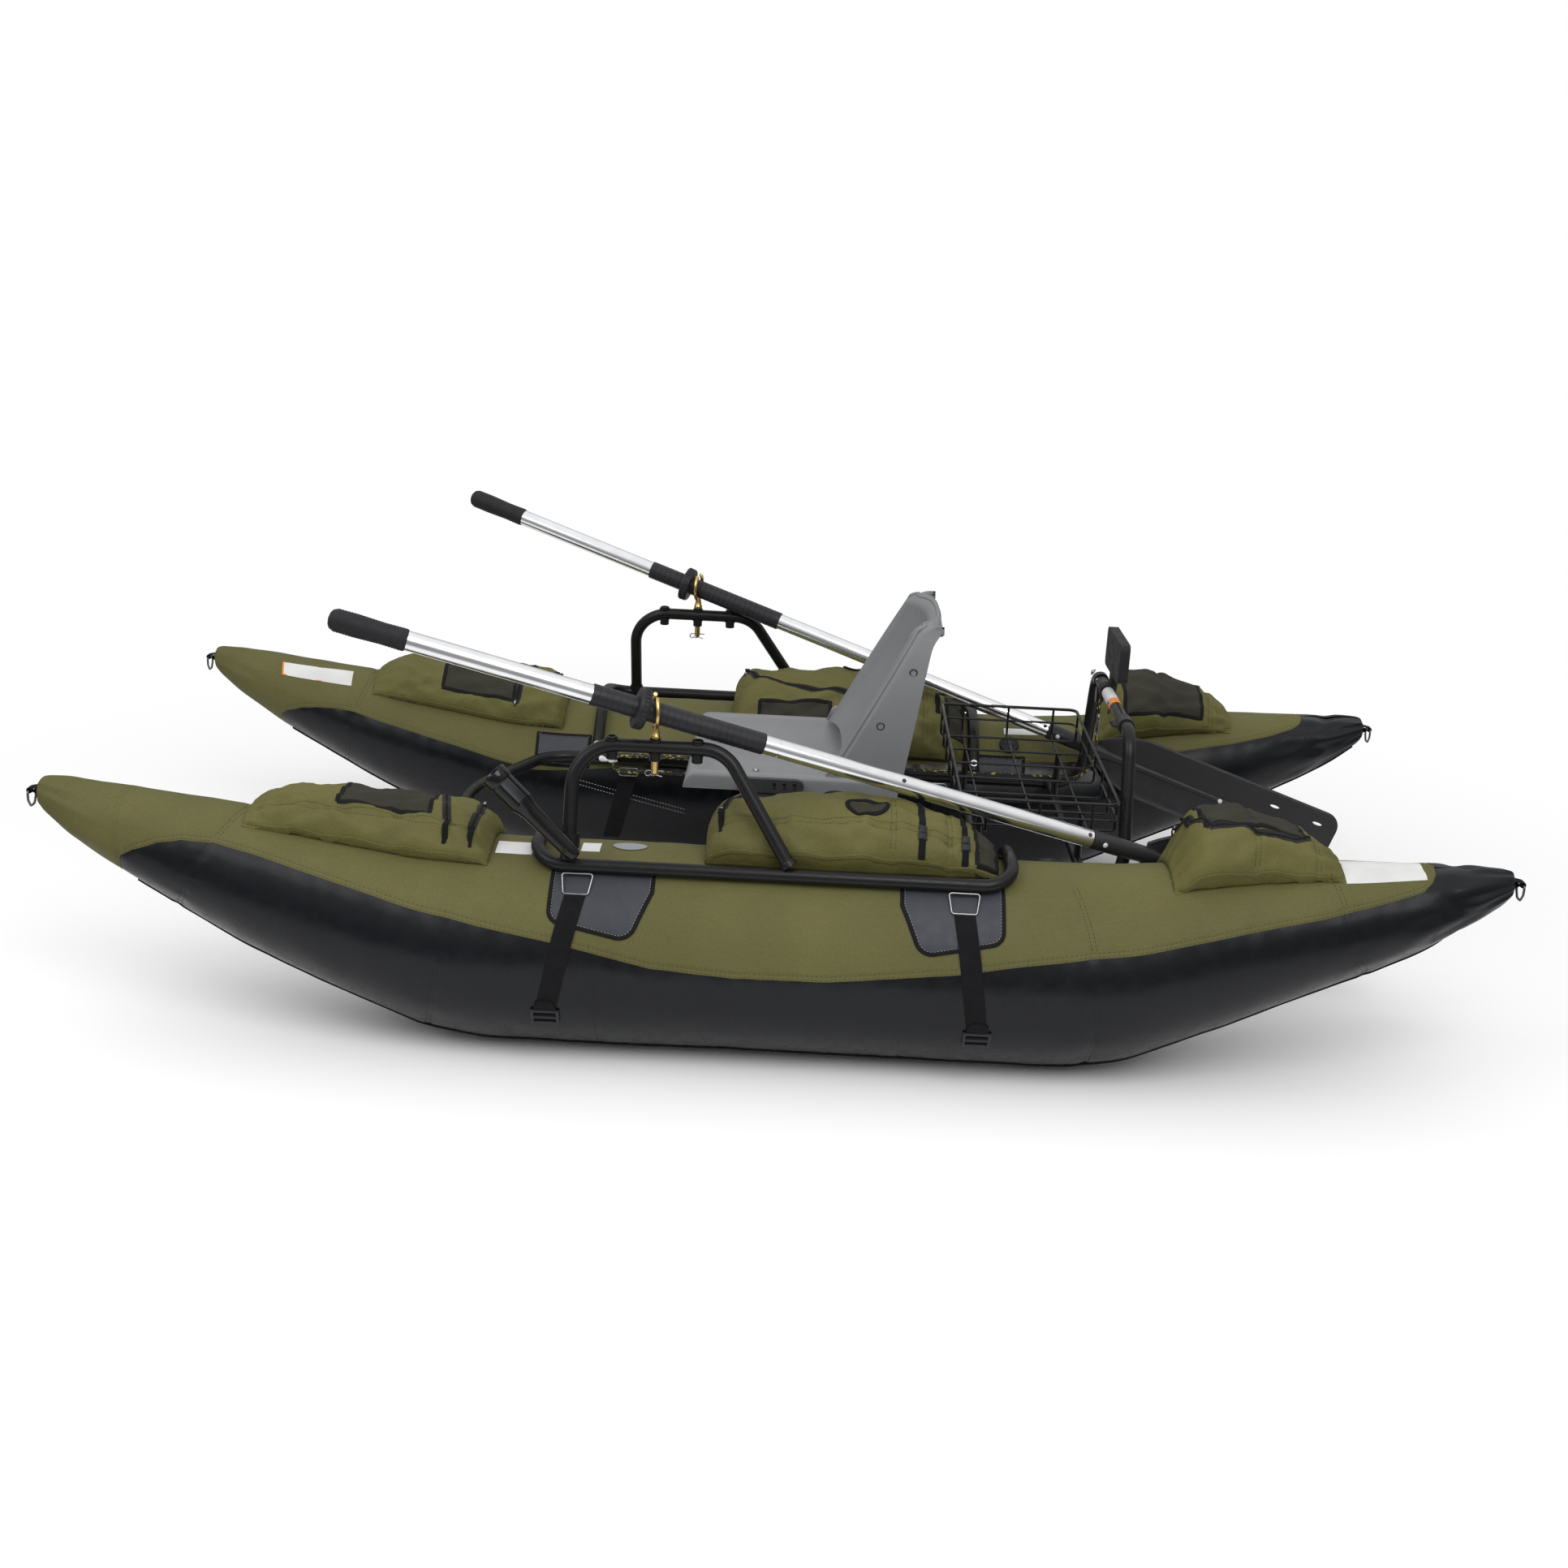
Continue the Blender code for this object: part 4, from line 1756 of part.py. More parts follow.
def make_snap_hook():
    """A long closed hook that hangs from the rope's end."""
    top = clip_place()
    half = CLIP_WIDTH / 2
    low = top.z - CLIP_LENGTH
    corners = [
        (top.x, top.y, top.z),
        (top.x, top.y + half, top.z),
        (top.x, top.y + half, low),
        (top.x, top.y - half, low),
        (top.x, top.y - half, top.z),
        (top.x, top.y, top.z),
    ]
    path = rounded_path(corners, [half * CLIP_BEND_SHARE] * 4, CORNER_STEPS)[:-1]
    return tube_object("snap_hook", path, CLIP_WIRE, WIRE_FACETS, bright_steel(), True, 0, top)


def smooth_route(points, spacing):
    """Points read at even steps from a smooth curve through the given places."""
    points = [Vector(point) for point in points]
    fine = []
    padded = [points[0]] + points + [points[-1]]
    for i in range(1, len(padded) - 2):
        before, start, end, after = padded[i - 1 : i + 3]
        for k in range(CURVE_STEPS):
            t = k / CURVE_STEPS
            curve = 2 * start + (end - before) * t
            curve += (2 * before - 5 * start + 4 * end - after) * t**2
            curve += (3 * start - before - 3 * end + after) * t**3
            fine.append(curve / 2)
    fine.append(points[-1])
    total = sum((b - a).length for a, b in zip(fine, fine[1:]))
    count = max(2, round(total / spacing))
    step = total / count
    route = [fine[0]]
    travelled = 0
    for a, b in zip(fine, fine[1:]):
        length = (b - a).length
        while len(route) < count and travelled + length >= step * len(route):
            part = (step * len(route) - travelled) / length
            route.append(a + (b - a) * part)
        travelled += length
    route.append(fine[-1])
    return route


def cord_object(name, route, radius, sides_level, surface):
    """A round cord along a route, as a curve with filled caps."""
    curve = bpy.data.curves.new(name, "CURVE")
    curve.dimensions = "3D"
    curve.bevel_depth = radius
    curve.bevel_resolution = sides_level
    curve.use_fill_caps = True
    spline = curve.splines.new("POLY")
    spline.points.add(len(route) - 1)
    for spline_point, place in zip(spline.points, route):
        spline_point.co = (*place, 1.0)
    curve.materials.append(surface)
    made = bpy.data.objects.new(name, curve)
    bpy.context.scene.collection.objects.link(made)
    return made


def rope_places():
    return [Vector((x, INNER_OUT + out, z)) for x, out, z in ANCHOR_ROPE_ROUTE]


def make_anchor_rope():
    """From the snap hook over the sheave, down beside the arch leg and along the starboard rail."""
    centre = Vector((REAR_ARCH_X, PULLEY_OUT, REAR_ARCH_TOP_Z - PULLEY_DROP))
    turn = rope_turn()
    end = clip_place()
    end.z += CLIP_WIRE + SEAT_GAP
    arc = []
    for k in range(ROPE_ARC_POINTS + 1):
        angle = math.pi - math.pi * k / ROPE_ARC_POINTS
        arc.append(centre + Vector((0, math.cos(angle), math.sin(angle))) * turn)
    run = smooth_route([arc[-1]] + rope_places(), ROPE_STEP)
    route = [end, (end + arc[0]) / 2] + arc + run[1:]
    return cord_object("anchor_rope", route, ROPE_RADIUS, 2, rope_black())


def hank_loop():
    """One flattened loop seen from the side, from the rear end of its upper run, as x and height."""
    middle_z = rope_places()[-1].z - HANK_HALF_HEIGHT
    loop = []
    for run_from, run_to, arc_start in (
        (HANK_REAR_X, HANK_FRONT_X, 90.0),
        (HANK_FRONT_X, HANK_REAR_X, 270.0),
    ):
        level = middle_z + HANK_HALF_HEIGHT * math.sin(math.radians(arc_start))
        for k in range(HANK_RUN_POINTS):
            loop.append((run_from + (run_to - run_from) * k / HANK_RUN_POINTS, level))
        for k in range(HANK_ARC_POINTS):
            angle = math.radians(arc_start + 180.0 * k / HANK_ARC_POINTS)
            x = run_to + HANK_HALF_HEIGHT * math.cos(angle)
            loop.append((x, middle_z + HANK_HALF_HEIGHT * math.sin(angle)))
    return loop


def hank_route():
    """Loops laid side by side next to the starboard rail, starting where the rope ends."""
    start = rope_places()[-1]
    start.x -= SEAT_GAP
    loop = hank_loop()
    route = [start]
    for i in range(round(HANK_TURNS * len(loop))):
        x, z = loop[i % len(loop)]
        route.append(Vector((x, start.y - HANK_PITCH * i / len(loop), z)))
    return route


def least_gap(route, radius, skip):
    """The smallest clear distance between parts of a cord that lie farther apart along it."""
    fine = []
    for a, b in zip(route, route[1:]):
        fine.extend(a + (b - a) * (k / LEAST_GAP_STEPS) for k in range(LEAST_GAP_STEPS))
    lengths = [0.0]
    for a, b in zip(fine, fine[1:]):
        lengths.append(lengths[-1] + (b - a).length)
    least = None
    for i, a in enumerate(fine):
        for j in range(i + 1, len(fine)):
            if lengths[j] - lengths[i] < skip:
                continue
            gap = (fine[j] - a).length - 2 * radius
            if least is None or gap < least:
                least = gap
    return least


def make_rope_hank():
    """The spare rope, looped and tied beside the starboard rail."""
    route = hank_route()
    gap = least_gap(route, ROPE_RADIUS, 8 * ROPE_RADIUS)
    print("least gap between the loops of the hank in mm:", round(gap * 1000, 2))
    return cord_object("anchor_rope_hank", route, ROPE_RADIUS, 1, rope_black())


def make_motor_board():
    """A rounded board on a post that clamps to the top bar."""
    clamp = bar_clamp("motor_board", BOARD_OUT, BOARD_POST, black_plastic())
    clamp_top = REAR_ARCH_TOP_Z + FRAME_TUBE_RADIUS + SEAT_GAP + BAR_CLAMP_WALL
    low = clamp_top + BOARD_LIFT
    high = low + BOARD_HEIGHT
    near = BOARD_OUT - BOARD_WIDTH / 2
    far = BOARD_OUT + BOARD_WIDTH / 2
    front = REAR_ARCH_X + BOARD_SETBACK
    rear = front + BOARD_DEPTH
    outline = []
    corners = ((far, high, 0.0), (near, high, 90.0), (near, low, 180.0), (far, low, 270.0))
    for y, z, start in corners:
        centre_y = y - BOARD_ROUND if y == far else y + BOARD_ROUND
        centre_z = z - BOARD_ROUND if z == high else z + BOARD_ROUND
        for k in range(CORNER_STEPS + 1):
            angle = math.radians(start + 90.0 * k / CORNER_STEPS)
            y_share = math.cos(angle)
            z_share = math.sin(angle)
            outline.append((centre_y + BOARD_ROUND * y_share, centre_z + BOARD_ROUND * z_share))
    board = extruded("board", outline, front, rear, 0, black_plastic())
    post_low = (front, BOARD_OUT - BOARD_POST / 2, clamp_top - BAR_CLAMP_WALL)
    post_high = (rear - BOARD_DEPTH / 3, BOARD_OUT + BOARD_POST / 2, low + BOARD_ROUND)
    post = box_object("post", post_low, post_high, black_plastic())
    return combine(clamp, [post, board], "UNION")


def make_notched_cleat():
    """A toothed plate on a clamp that jams the anchor rope."""
    cleat = bar_clamp("notched_cleat", CLEAT_OUT, CLEAT_LENGTH, black_plastic())
    root = REAR_ARCH_X - FRAME_TUBE_RADIUS - SEAT_GAP - BAR_CLAMP_WALL / 2
    start = CLEAT_OUT - CLEAT_LENGTH / 2
    pitch = CLEAT_LENGTH / CLEAT_TEETH
    outline = [(root, start), (root - CLEAT_RISE + CLEAT_TOOTH, start)]
    for k in range(CLEAT_TEETH):
        tip = start + pitch * (k + 0.35)
        outline.append((root - CLEAT_RISE, tip))
        outline.append((root - CLEAT_RISE + CLEAT_TOOTH, start + pitch * (k + 1)))
    outline.append((root, start + CLEAT_LENGTH))
    low = REAR_ARCH_TOP_Z - CLEAT_PLATE / 2
    plate = extruded("plate", outline, low, low + CLEAT_PLATE, 2, black_plastic())
    return combine(cleat, [plate], "UNION")


def make_side(label, side):
    """Everything that is mirrored from port to starboard."""
    make_cover(label, side)
    make_bladder(label, side)
    make_valve_cap(label, side)
    for end_name, end in (("bow", -1), ("stern", 1)):
        make_tow_ring(label, side, end_name, end)
    make_side_rail(label, side)
    make_oar_arch(label, side)
    make_frame_pad("frame_pad_front_" + label, side, PAD_FRONT_X)
    make_frame_pad("frame_pad_rear_" + label, side, PAD_REAR_X)
    make_strap("strap_front_" + label, side, STRAP_FRONT_X, 1)
    make_strap("strap_rear_" + label, side, STRAP_REAR_X, -1)
    make_oar(label, side)
    make_bags(label, side)
    make_seat_bolt(label, side)


def make_oar(label, side):
    make_oar_shaft(label, side)
    make_oar_sleeve(label, side)
    make_oar_collar(label, side)
    make_oar_grip(label, side)
    make_oar_blade(label, side)
    make_oarlock(label, side)
    make_hairpin(label, side)


def main():
    clear_scene()
    for label, side in SIDES.items():
        make_side(label, side)
    make_foot_bar()
    make_rear_frame()
    make_seat_frame()
    make_seat_base()
    make_seat_back()
    make_seat_bracket()
    make_wire_basket()
    make_rod_clamp()
    make_rod_holder()
    make_pulley_bracket()
    make_sheave()
    make_snap_hook()
    make_anchor_rope()
    make_rope_hank()
    make_motor_board()
    make_notched_cleat()


main()
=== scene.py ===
import json
import math

import bmesh
import bpy
import numpy as np
from mathutils import Matrix, Vector
from mathutils.bvhtree import BVHTree

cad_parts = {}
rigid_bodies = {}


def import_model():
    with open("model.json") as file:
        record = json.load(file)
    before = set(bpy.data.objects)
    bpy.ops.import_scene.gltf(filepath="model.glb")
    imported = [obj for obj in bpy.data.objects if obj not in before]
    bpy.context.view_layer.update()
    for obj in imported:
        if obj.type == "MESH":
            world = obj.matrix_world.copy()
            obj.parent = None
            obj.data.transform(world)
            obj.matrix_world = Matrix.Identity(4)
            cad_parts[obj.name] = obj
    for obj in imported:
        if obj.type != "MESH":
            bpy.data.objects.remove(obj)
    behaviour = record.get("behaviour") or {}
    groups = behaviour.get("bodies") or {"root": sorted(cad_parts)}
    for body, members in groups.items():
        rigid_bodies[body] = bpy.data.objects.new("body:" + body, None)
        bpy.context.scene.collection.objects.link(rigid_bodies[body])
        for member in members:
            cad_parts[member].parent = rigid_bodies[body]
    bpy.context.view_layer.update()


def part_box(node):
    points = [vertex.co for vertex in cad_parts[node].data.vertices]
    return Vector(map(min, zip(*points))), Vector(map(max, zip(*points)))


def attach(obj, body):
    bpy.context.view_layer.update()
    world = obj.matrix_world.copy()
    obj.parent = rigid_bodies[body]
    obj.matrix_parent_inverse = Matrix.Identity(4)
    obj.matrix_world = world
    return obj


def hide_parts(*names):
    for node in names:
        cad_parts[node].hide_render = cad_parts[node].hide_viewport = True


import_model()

PORT, STARBOARD = -1, 1
SIDES = {"port": PORT, "starboard": STARBOARD}


# Materials

MATERIAL = {}


def add_node(tree, kind, inputs=(), **settings):
    """A shader node; each input is another node's output or a plain value."""
    made = tree.nodes.new("ShaderNode" + kind)
    for key, value in settings.items():
        setattr(made, key, value)
    for key, value in dict(inputs).items():
        if hasattr(value, "is_output"):
            tree.links.new(value, made.inputs[key])
        else:
            made.inputs[key].default_value = value
    return made


class Shade:
    """A principled material with helpers for its procedural nodes; places are the piece's own, in metres."""

    def __init__(self, name, color, roughness, metallic=0.0, specular=0.5):
        made = bpy.data.materials.new(name)
        made.use_nodes = True
        MATERIAL[name] = made
        self.tree = made.node_tree
        self.out = self.tree.nodes["Principled BSDF"]
        self.color = color
        for key, value in (("Base Color", (*color, 1.0)), ("Roughness", roughness), ("Metallic", metallic),
                           ("Specular IOR Level", specular)):
            self.out.inputs[key].default_value = value
        where = self.node("TexCoord").outputs
        self.place, self.uv = where["Object"], where["UV"]
        self.bump_out = None

    def node(self, kind, inputs=(), **settings):
        return add_node(self.tree, kind, inputs, **settings)

    def noise(self, scale, detail=2.0, where=None):
        return self.node("TexNoise", {"Vector": where or self.place, "Scale": scale, "Detail": detail}).outputs["Fac"]

    def stretched_uv(self, stretch):
        return self.node("Mapping", {"Vector": self.uv, "Scale": stretch}).outputs["Vector"]

    def waves(self, period, along_v):
        """Even bands along u or v, with a period in metres."""
        scale = 2 * math.pi / 20 / period
        return self.node("TexWave", {"Vector": self.uv, "Scale": scale},
                         bands_direction="Y" if along_v else "X").outputs["Fac"]

    def weave(self, period):
        """Bands both ways, multiplied."""
        return self.node("Math", {0: self.waves(period, False), 1: self.waves(period, True)},
                         operation="MULTIPLY").outputs[0]

    def remap(self, value, low, high, new_low, new_high):
        made = self.node("MapRange", {"Value": value, "From Min": low, "From Max": high,
                                      "To Min": new_low, "To Max": new_high})
        return made.outputs["Result"]

    def tone(self, value, low, high, dark, light):
        """Multiply the colour by a factor that follows a value."""
        factor = self.remap(value, low, high, dark, light)
        socket = self.out.inputs["Base Color"]
        base = socket.links[0].from_socket if socket.links else None
        scaled = self.node("VectorMath", {0: base or self.color, "Scale": factor}, operation="SCALE")
        self.tree.links.new(scaled.outputs[0], socket)

    def patch(self, value, low, high, color):
        """Blend another colour in where a value is high."""
        socket = self.out.inputs["Base Color"]
        base = socket.links[0].from_socket if socket.links else (*self.color, 1.0)
        mixed = self.node("Mix", {0: self.remap(value, low, high, 0.0, 1.0)}, data_type="RGBA")
        for index, source in ((6, base), (7, (*color, 1.0))):
            if hasattr(source, "is_output"):
                self.tree.links.new(source, mixed.inputs[index])
            else:
                mixed.inputs[index].default_value = source
        self.tree.links.new(mixed.outputs[2], socket)

    def roughen(self, value, low, high):
        result = self.remap(value, 0.3, 0.7, low, high)
        self.tree.links.new(result, self.out.inputs["Roughness"])

    def bump(self, value, distance, strength=1.0):
        made = self.node("Bump", {"Height": value, "Distance": distance, "Strength": strength})
        if self.bump_out:
            self.tree.links.new(self.bump_out, made.inputs["Normal"])
        self.bump_out = made.outputs["Normal"]
        self.tree.links.new(self.bump_out, self.out.inputs["Normal"])


def fabric(name, color, roughness, weave, crumple, specular=0.35, variation=0.1):
    """Coated cloth: a woven grain, soft crumples and faint uneven colour."""
    s = Shade(name, color, roughness, specular=specular)
    s.tone(s.noise(5.0, 3.0), 0.3, 0.7, 1 - variation, 1 + variation)
    s.tone(s.noise(260.0, 2.0), 0.3, 0.7, 0.93, 1.07)
    s.roughen(s.noise(40.0, 3.0), roughness - 0.06, roughness + 0.08)
    s.bump(s.noise(26.0, 4.0), crumple)
    s.bump(s.weave(weave), weave * 0.12, 0.6)
    return s


def solid(name, color, roughness, grain, depth, metallic=0.0, specular=0.5, variation=0.08):
    """Moulded, painted or cast surface with a fine grain, handling wear and uneven gloss."""
    s = Shade(name, color, roughness, metallic, specular)
    s.tone(s.noise(14.0, 3.0), 0.3, 0.7, 1 - variation, 1 + variation)
    s.roughen(s.noise(55.0, 4.0), max(0.03, roughness - 0.07), roughness + 0.1)
    s.bump(s.noise(grain, 2.0), depth)
    return s


def make_materials():
    fabric("olive", (0.112, 0.105, 0.036), 0.66, 0.0013, 0.0006, 0.22)
    bag = fabric("olive_bag", (0.118, 0.11, 0.033), 0.66, 0.0013, 0.0024, 0.25, 0.14)
    bag.bump(bag.noise(75.0, 3.0), 0.0009)
    fabric("black_pvc", (0.0042, 0.0048, 0.0066), 0.25, 0.0016, 0.00025, 0.27)
    webbing = fabric("webbing", (0.0075, 0.0075, 0.0085), 0.8, 0.0024, 0.0002, 0.12)
    ribs = webbing.waves(0.0026, True)
    webbing.bump(ribs, 0.0004)
    webbing.tone(ribs, 0.0, 1.0, 0.8, 1.5)
    fabric("binding", (0.0075, 0.0075, 0.008), 0.7, 0.0012, 0.0003, 0.15)
    mesh = fabric("mesh", (0.036, 0.034, 0.025), 0.75, 0.003, 0.001, 0.15, 0.18)
    mesh.tone(mesh.weave(0.0032), 0.0, 0.7, 1.25, 0.5)
    solid("pad_vinyl", (0.04, 0.043, 0.053), 0.5, 420.0, 0.0005, specular=0.3)
    solid("black_steel", (0.0085, 0.0085, 0.009), 0.3, 900.0, 0.00004, specular=0.24, variation=0.05)
    bare = Shade("aluminium", (0.86, 0.865, 0.88), 0.2, 1.0)
    streaks = bare.noise(700.0, 2.0, bare.stretched_uv((1.0, 0.006, 1.0)))
    bare.roughen(streaks, 0.14, 0.2)
    bare.tone(bare.noise(30.0, 4.0), 0.3, 0.7, 0.93, 1.03)
    bare.bump(streaks, 0.000004)
    solid("grip", (0.018, 0.018, 0.02), 0.6, 500.0, 0.0003, specular=0.25)
    solid("black_plastic", (0.021, 0.021, 0.024), 0.42, 900.0, 0.00008, specular=0.25)
    solid("gloss_plastic", (0.004, 0.004, 0.0045), 0.06, 300.0, 0.00003, specular=0.35, variation=0.2)
    solid("grey_plastic", (0.2, 0.205, 0.213), 0.45, 900.0, 0.00012, specular=0.35, variation=0.03)
    solid("dark_grey", (0.04, 0.04, 0.043), 0.5, 900.0, 0.0001, specular=0.3)
    solid("blade_plastic", (0.022, 0.022, 0.024), 0.45, 260.0, 0.00015, specular=0.35)
    solid("brass", (0.62, 0.44, 0.16), 0.25, 500.0, 0.0001, 1.0, variation=0.12)
    solid("steel", (0.32, 0.32, 0.33), 0.22, 600.0, 0.00006, 1.0)
    solid("dark_metal", (0.13, 0.13, 0.135), 0.28, 600.0, 0.00006, 1.0)
    solid("white_plastic", (0.72, 0.72, 0.71), 0.4, 400.0, 0.0001)
    solid("label", (0.66, 0.66, 0.655), 0.45, 180.0, 0.0001)
    solid("orange", (0.75, 0.24, 0.03), 0.45, 180.0, 0.0001)
    solid("grey_patch", (0.25, 0.27, 0.28), 0.4, 500.0, 0.0002)
    solid("thread_dark", (0.05, 0.047, 0.02), 0.8, 2000.0, 0.0001)
    solid("thread_black", (0.008, 0.008, 0.009), 0.7, 2000.0, 0.0001)
    solid("thread_pale", (0.42, 0.42, 0.4), 0.8, 2000.0, 0.0001)
    tape = fabric("zip", (0.01, 0.01, 0.011), 0.6, 0.0016, 0.0002)
    tape.bump(tape.waves(0.0022, True), 0.0006)
    rope = Shade("rope", (0.013, 0.013, 0.012), 0.75)
    braid = rope.node("TexVoronoi", {"Vector": rope.stretched_uv((1.0, 0.45, 1.0)), "Scale": 420.0})
    fleck = rope.node("SeparateColor", {"Color": braid.outputs["Color"]}).outputs[0]
    rope.patch(fleck, 0.88, 0.9, (0.5, 0.44, 0.04))
    rope.bump(braid.outputs["Distance"], 0.0012)
    rope.roughen(rope.noise(300.0), 0.65, 0.85)
    solid("bladder", (0.5, 0.55, 0.6), 0.35, 300.0, 0.0002)


make_materials()


# Mesh building

def placed(name, data):
    """A new object in the scene."""
    made = bpy.data.objects.new(name, data)
    bpy.context.scene.collection.objects.link(made)
    return made


def run_lengths(points):
    """The distance covered at each of a row of points."""
    steps = np.linalg.norm(np.diff(np.array(points, float), axis=0), axis=1)
    return np.concatenate([[0], np.cumsum(steps)])


def circle(count):
    """Even angles of one full turn."""
    return [2 * math.pi * k / count for k in range(count)]


def parallel_frames(path, closed):
    """Tangent, side and up directions that turn as little as possible along a path."""
    count = len(path)
    tangents = []
    for i in range(count):
        before = path[i - 1] if closed or i > 0 else path[i]
        after = path[(i + 1) % count] if closed or i < count - 1 else path[i]
        tangents.append((after - before).normalized())
    guide = Vector((0, 0, 1)) if abs(tangents[0].z) < 0.9 else Vector((0, 1, 0))
    side = tangents[0].cross(guide).normalized()
    frames = []
    for tangent in tangents:
        side = (side - tangent * side.dot(tangent)).normalized()
        frames.append((tangent, side, tangent.cross(side)))
    return frames


class Piece:
    """One visual piece, gathered from several meshes and materials."""

    def __init__(self, name):
        self.name = name
        self.points = []
        self.faces = []
        self.marks = []
        self.uvs = []
        self.surfaces = []

    def add(self, points, faces, surface, uvs):
        base = len(self.points)
        self.points.extend(tuple(p) for p in points)
        self.faces.extend(tuple(i + base for i in face) for face in faces)
        if surface not in self.surfaces:
            self.surfaces.append(surface)
        self.marks.extend([self.surfaces.index(surface)] * len(faces))
        self.uvs.extend(uvs)

    def grid(self, rows, surface, u=None, v=None, wrap=False, flip=False):
        """A skin over equal rows of points; u and v are lengths along the columns and rows."""
        count, width = len(rows), len(rows[0])
        points = [p for row in rows for p in row]
        if u is None:
            u = run_lengths(rows[0])
        if v is None:
            v = run_lengths([row[0] for row in rows])
        u = list(u)
        if wrap and len(u) == width:
            u.append(u[-1] + (Vector(rows[0][0]) - Vector(rows[0][-1])).length)
        faces, uvs = [], []
        for i in range(count - 1):
            for j in range(width if wrap else width - 1):
                k = (j + 1) % width
                face = (i * width + j, i * width + k, (i + 1) * width + k, (i + 1) * width + j)
                marks = [(u[j], v[i]), (u[j + 1], v[i]), (u[j + 1], v[i + 1]), (u[j], v[i + 1])]
                if flip:
                    face, marks = face[::-1], marks[::-1]
                faces.append(face)
                uvs.extend(marks)
        self.add(points, faces, surface, uvs)

    def cap(self, ring, surface, flip=False, dome=0.0):
        """Close a ring with a fan, domed along its normal."""
        ring = [Vector(p) for p in ring]
        middle = sum(ring, Vector()) / len(ring)
        normal = (ring[0] - middle).cross(ring[1] - middle).normalized()
        centre = middle + normal * (dome * (-1 if flip else 1))
        faces, uvs = [], []
        for i in range(len(ring)):
            j = (i + 1) % len(ring)
            faces.append((j, i, len(ring)) if flip else (i, j, len(ring)))
            uvs.extend([(0.0, 0.0), (0.001, 0.0), (0.0, 0.001)])
        self.add(ring + [centre], faces, surface, uvs)

    def tube(self, path, radius, surface, sides=20, closed=False, ends=0.3, radii=None):
        path = [Vector(p) for p in path]
        frames = parallel_frames(path, closed)
        rows, v = [], [0.0]
        for i, (point, (_, side, up)) in enumerate(zip(path, frames)):
            r = radii[i] if radii else radius
            rows.append([point + (side * math.cos(-a) + up * math.sin(-a)) * r for a in circle(sides)])
            if i:
                v.append(v[-1] + (point - path[i - 1]).length)
        if closed:
            rows.append(rows[0])
            v.append(v[-1] + (path[0] - path[-1]).length)
        u = [2 * math.pi * radius * k / sides for k in range(sides + 1)]
        if not closed and ends:
            for end in (0, -1):
                sign = -1 if end == 0 else 1
                tangent = frames[end][0]
                middle = path[end]
                inner = [middle + (p - middle) * 0.72 + tangent * (sign * radius * ends) for p in rows[end]]
                if end == 0:
                    rows.insert(0, inner)
                    v.insert(0, -radius * ends)
                else:
                    rows.append(inner)
                    v.append(v[-1] + radius * ends)
        self.grid(rows, surface, u, v, wrap=True)
        if not closed:
            self.cap(rows[0], surface, flip=True, dome=radius * ends * 0.3)
            self.cap(rows[-1], surface, dome=radius * ends * 0.3)

    def turned(self, start, direction, profile, surface, sides=40):
        """Turn (distance, radius) pairs about a line; a radius of 0 closes to a point."""
        direction = Vector(direction).normalized()
        start = Vector(start)
        guide = Vector((0, 0, 1)) if abs(direction.z) < 0.9 else Vector((1, 0, 0))
        side = direction.cross(guide).normalized()
        up = direction.cross(side)
        rows, v = [], [0.0]
        for i, (distance, radius) in enumerate(profile):
            rows.append([start + direction * distance + (side * math.cos(-a) + up * math.sin(-a)) * max(radius, 1e-5)
                         for a in circle(sides)])
            if i:
                step = math.hypot(distance - profile[i - 1][0], radius - profile[i - 1][1])
                v.append(v[-1] + step)
        widest = max(radius for _, radius in profile)
        u = [2 * math.pi * widest * k / sides for k in range(sides + 1)]
        self.grid(rows, surface, u, v, wrap=True)

    def make(self, body, slot, replaces=(), sharp=38.0):
        mesh = bpy.data.meshes.new(self.name)
        mesh.from_pydata(self.points, [], self.faces)
        for surface in self.surfaces:
            mesh.materials.append(MATERIAL[surface])
        mesh.polygons.foreach_set("material_index", self.marks)
        layer = mesh.uv_layers.new(name="UVMap")
        layer.data.foreach_set("uv", np.array(self.uvs, np.float32).ravel())
        mesh.update()
        mesh.shade_smooth()
        mesh.set_sharp_from_angle(angle=math.radians(sharp))
        made = placed(self.name, mesh)
        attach(made, body)
        if replaces:
            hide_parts(*replaces)
        return made


def rounded_path(corners, bends, steps=12, closed=False):
    """Straight runs between corners, each inner corner rounded to its bend radius."""
    corners = [Vector(c) for c in corners]
    count = len(corners)
    path = [] if closed else [corners[0]]
    for i in range(0 if closed else 1, count if closed else count - 1):
        corner = corners[i]
        back = (corners[i - 1] - corner).normalized()
        ahead = (corners[(i + 1) % count] - corner).normalized()
        radius = bends[i if closed else i - 1]
        half = back.angle(ahead) / 2
        start = corner + back * (radius / math.tan(half))
        centre = corner + (back + ahead).normalized() * (radius / math.sin(half))
        axis = back.cross(ahead).normalized()
        sweep = math.pi - 2 * half
        for k in range(steps + 1):
            path.append(centre + Matrix.Rotation(-sweep * k / steps, 3, axis) @ (start - centre))
    if not closed:
        path.append(corners[-1])
    return path


def smooth_route(points, spacing):
    """Even steps along a smooth curve through the given places."""
    points = [Vector(p) for p in points]
    padded = [2 * points[0] - points[1]] + points + [2 * points[-1] - points[-2]]
    fine = []
    for i in range(1, len(padded) - 2):
        p0, p1, p2, p3 = padded[i - 1 : i + 3]
        for k in range(20):
            t = k / 20
            fine.append((2 * p1 + (p2 - p0) * t + (2 * p0 - 5 * p1 + 4 * p2 - p3) * t * t
                         + (3 * p1 - p0 - 3 * p2 + p3) * t**3) / 2)
    fine.append(points[-1])
    return even_steps(fine, spacing)


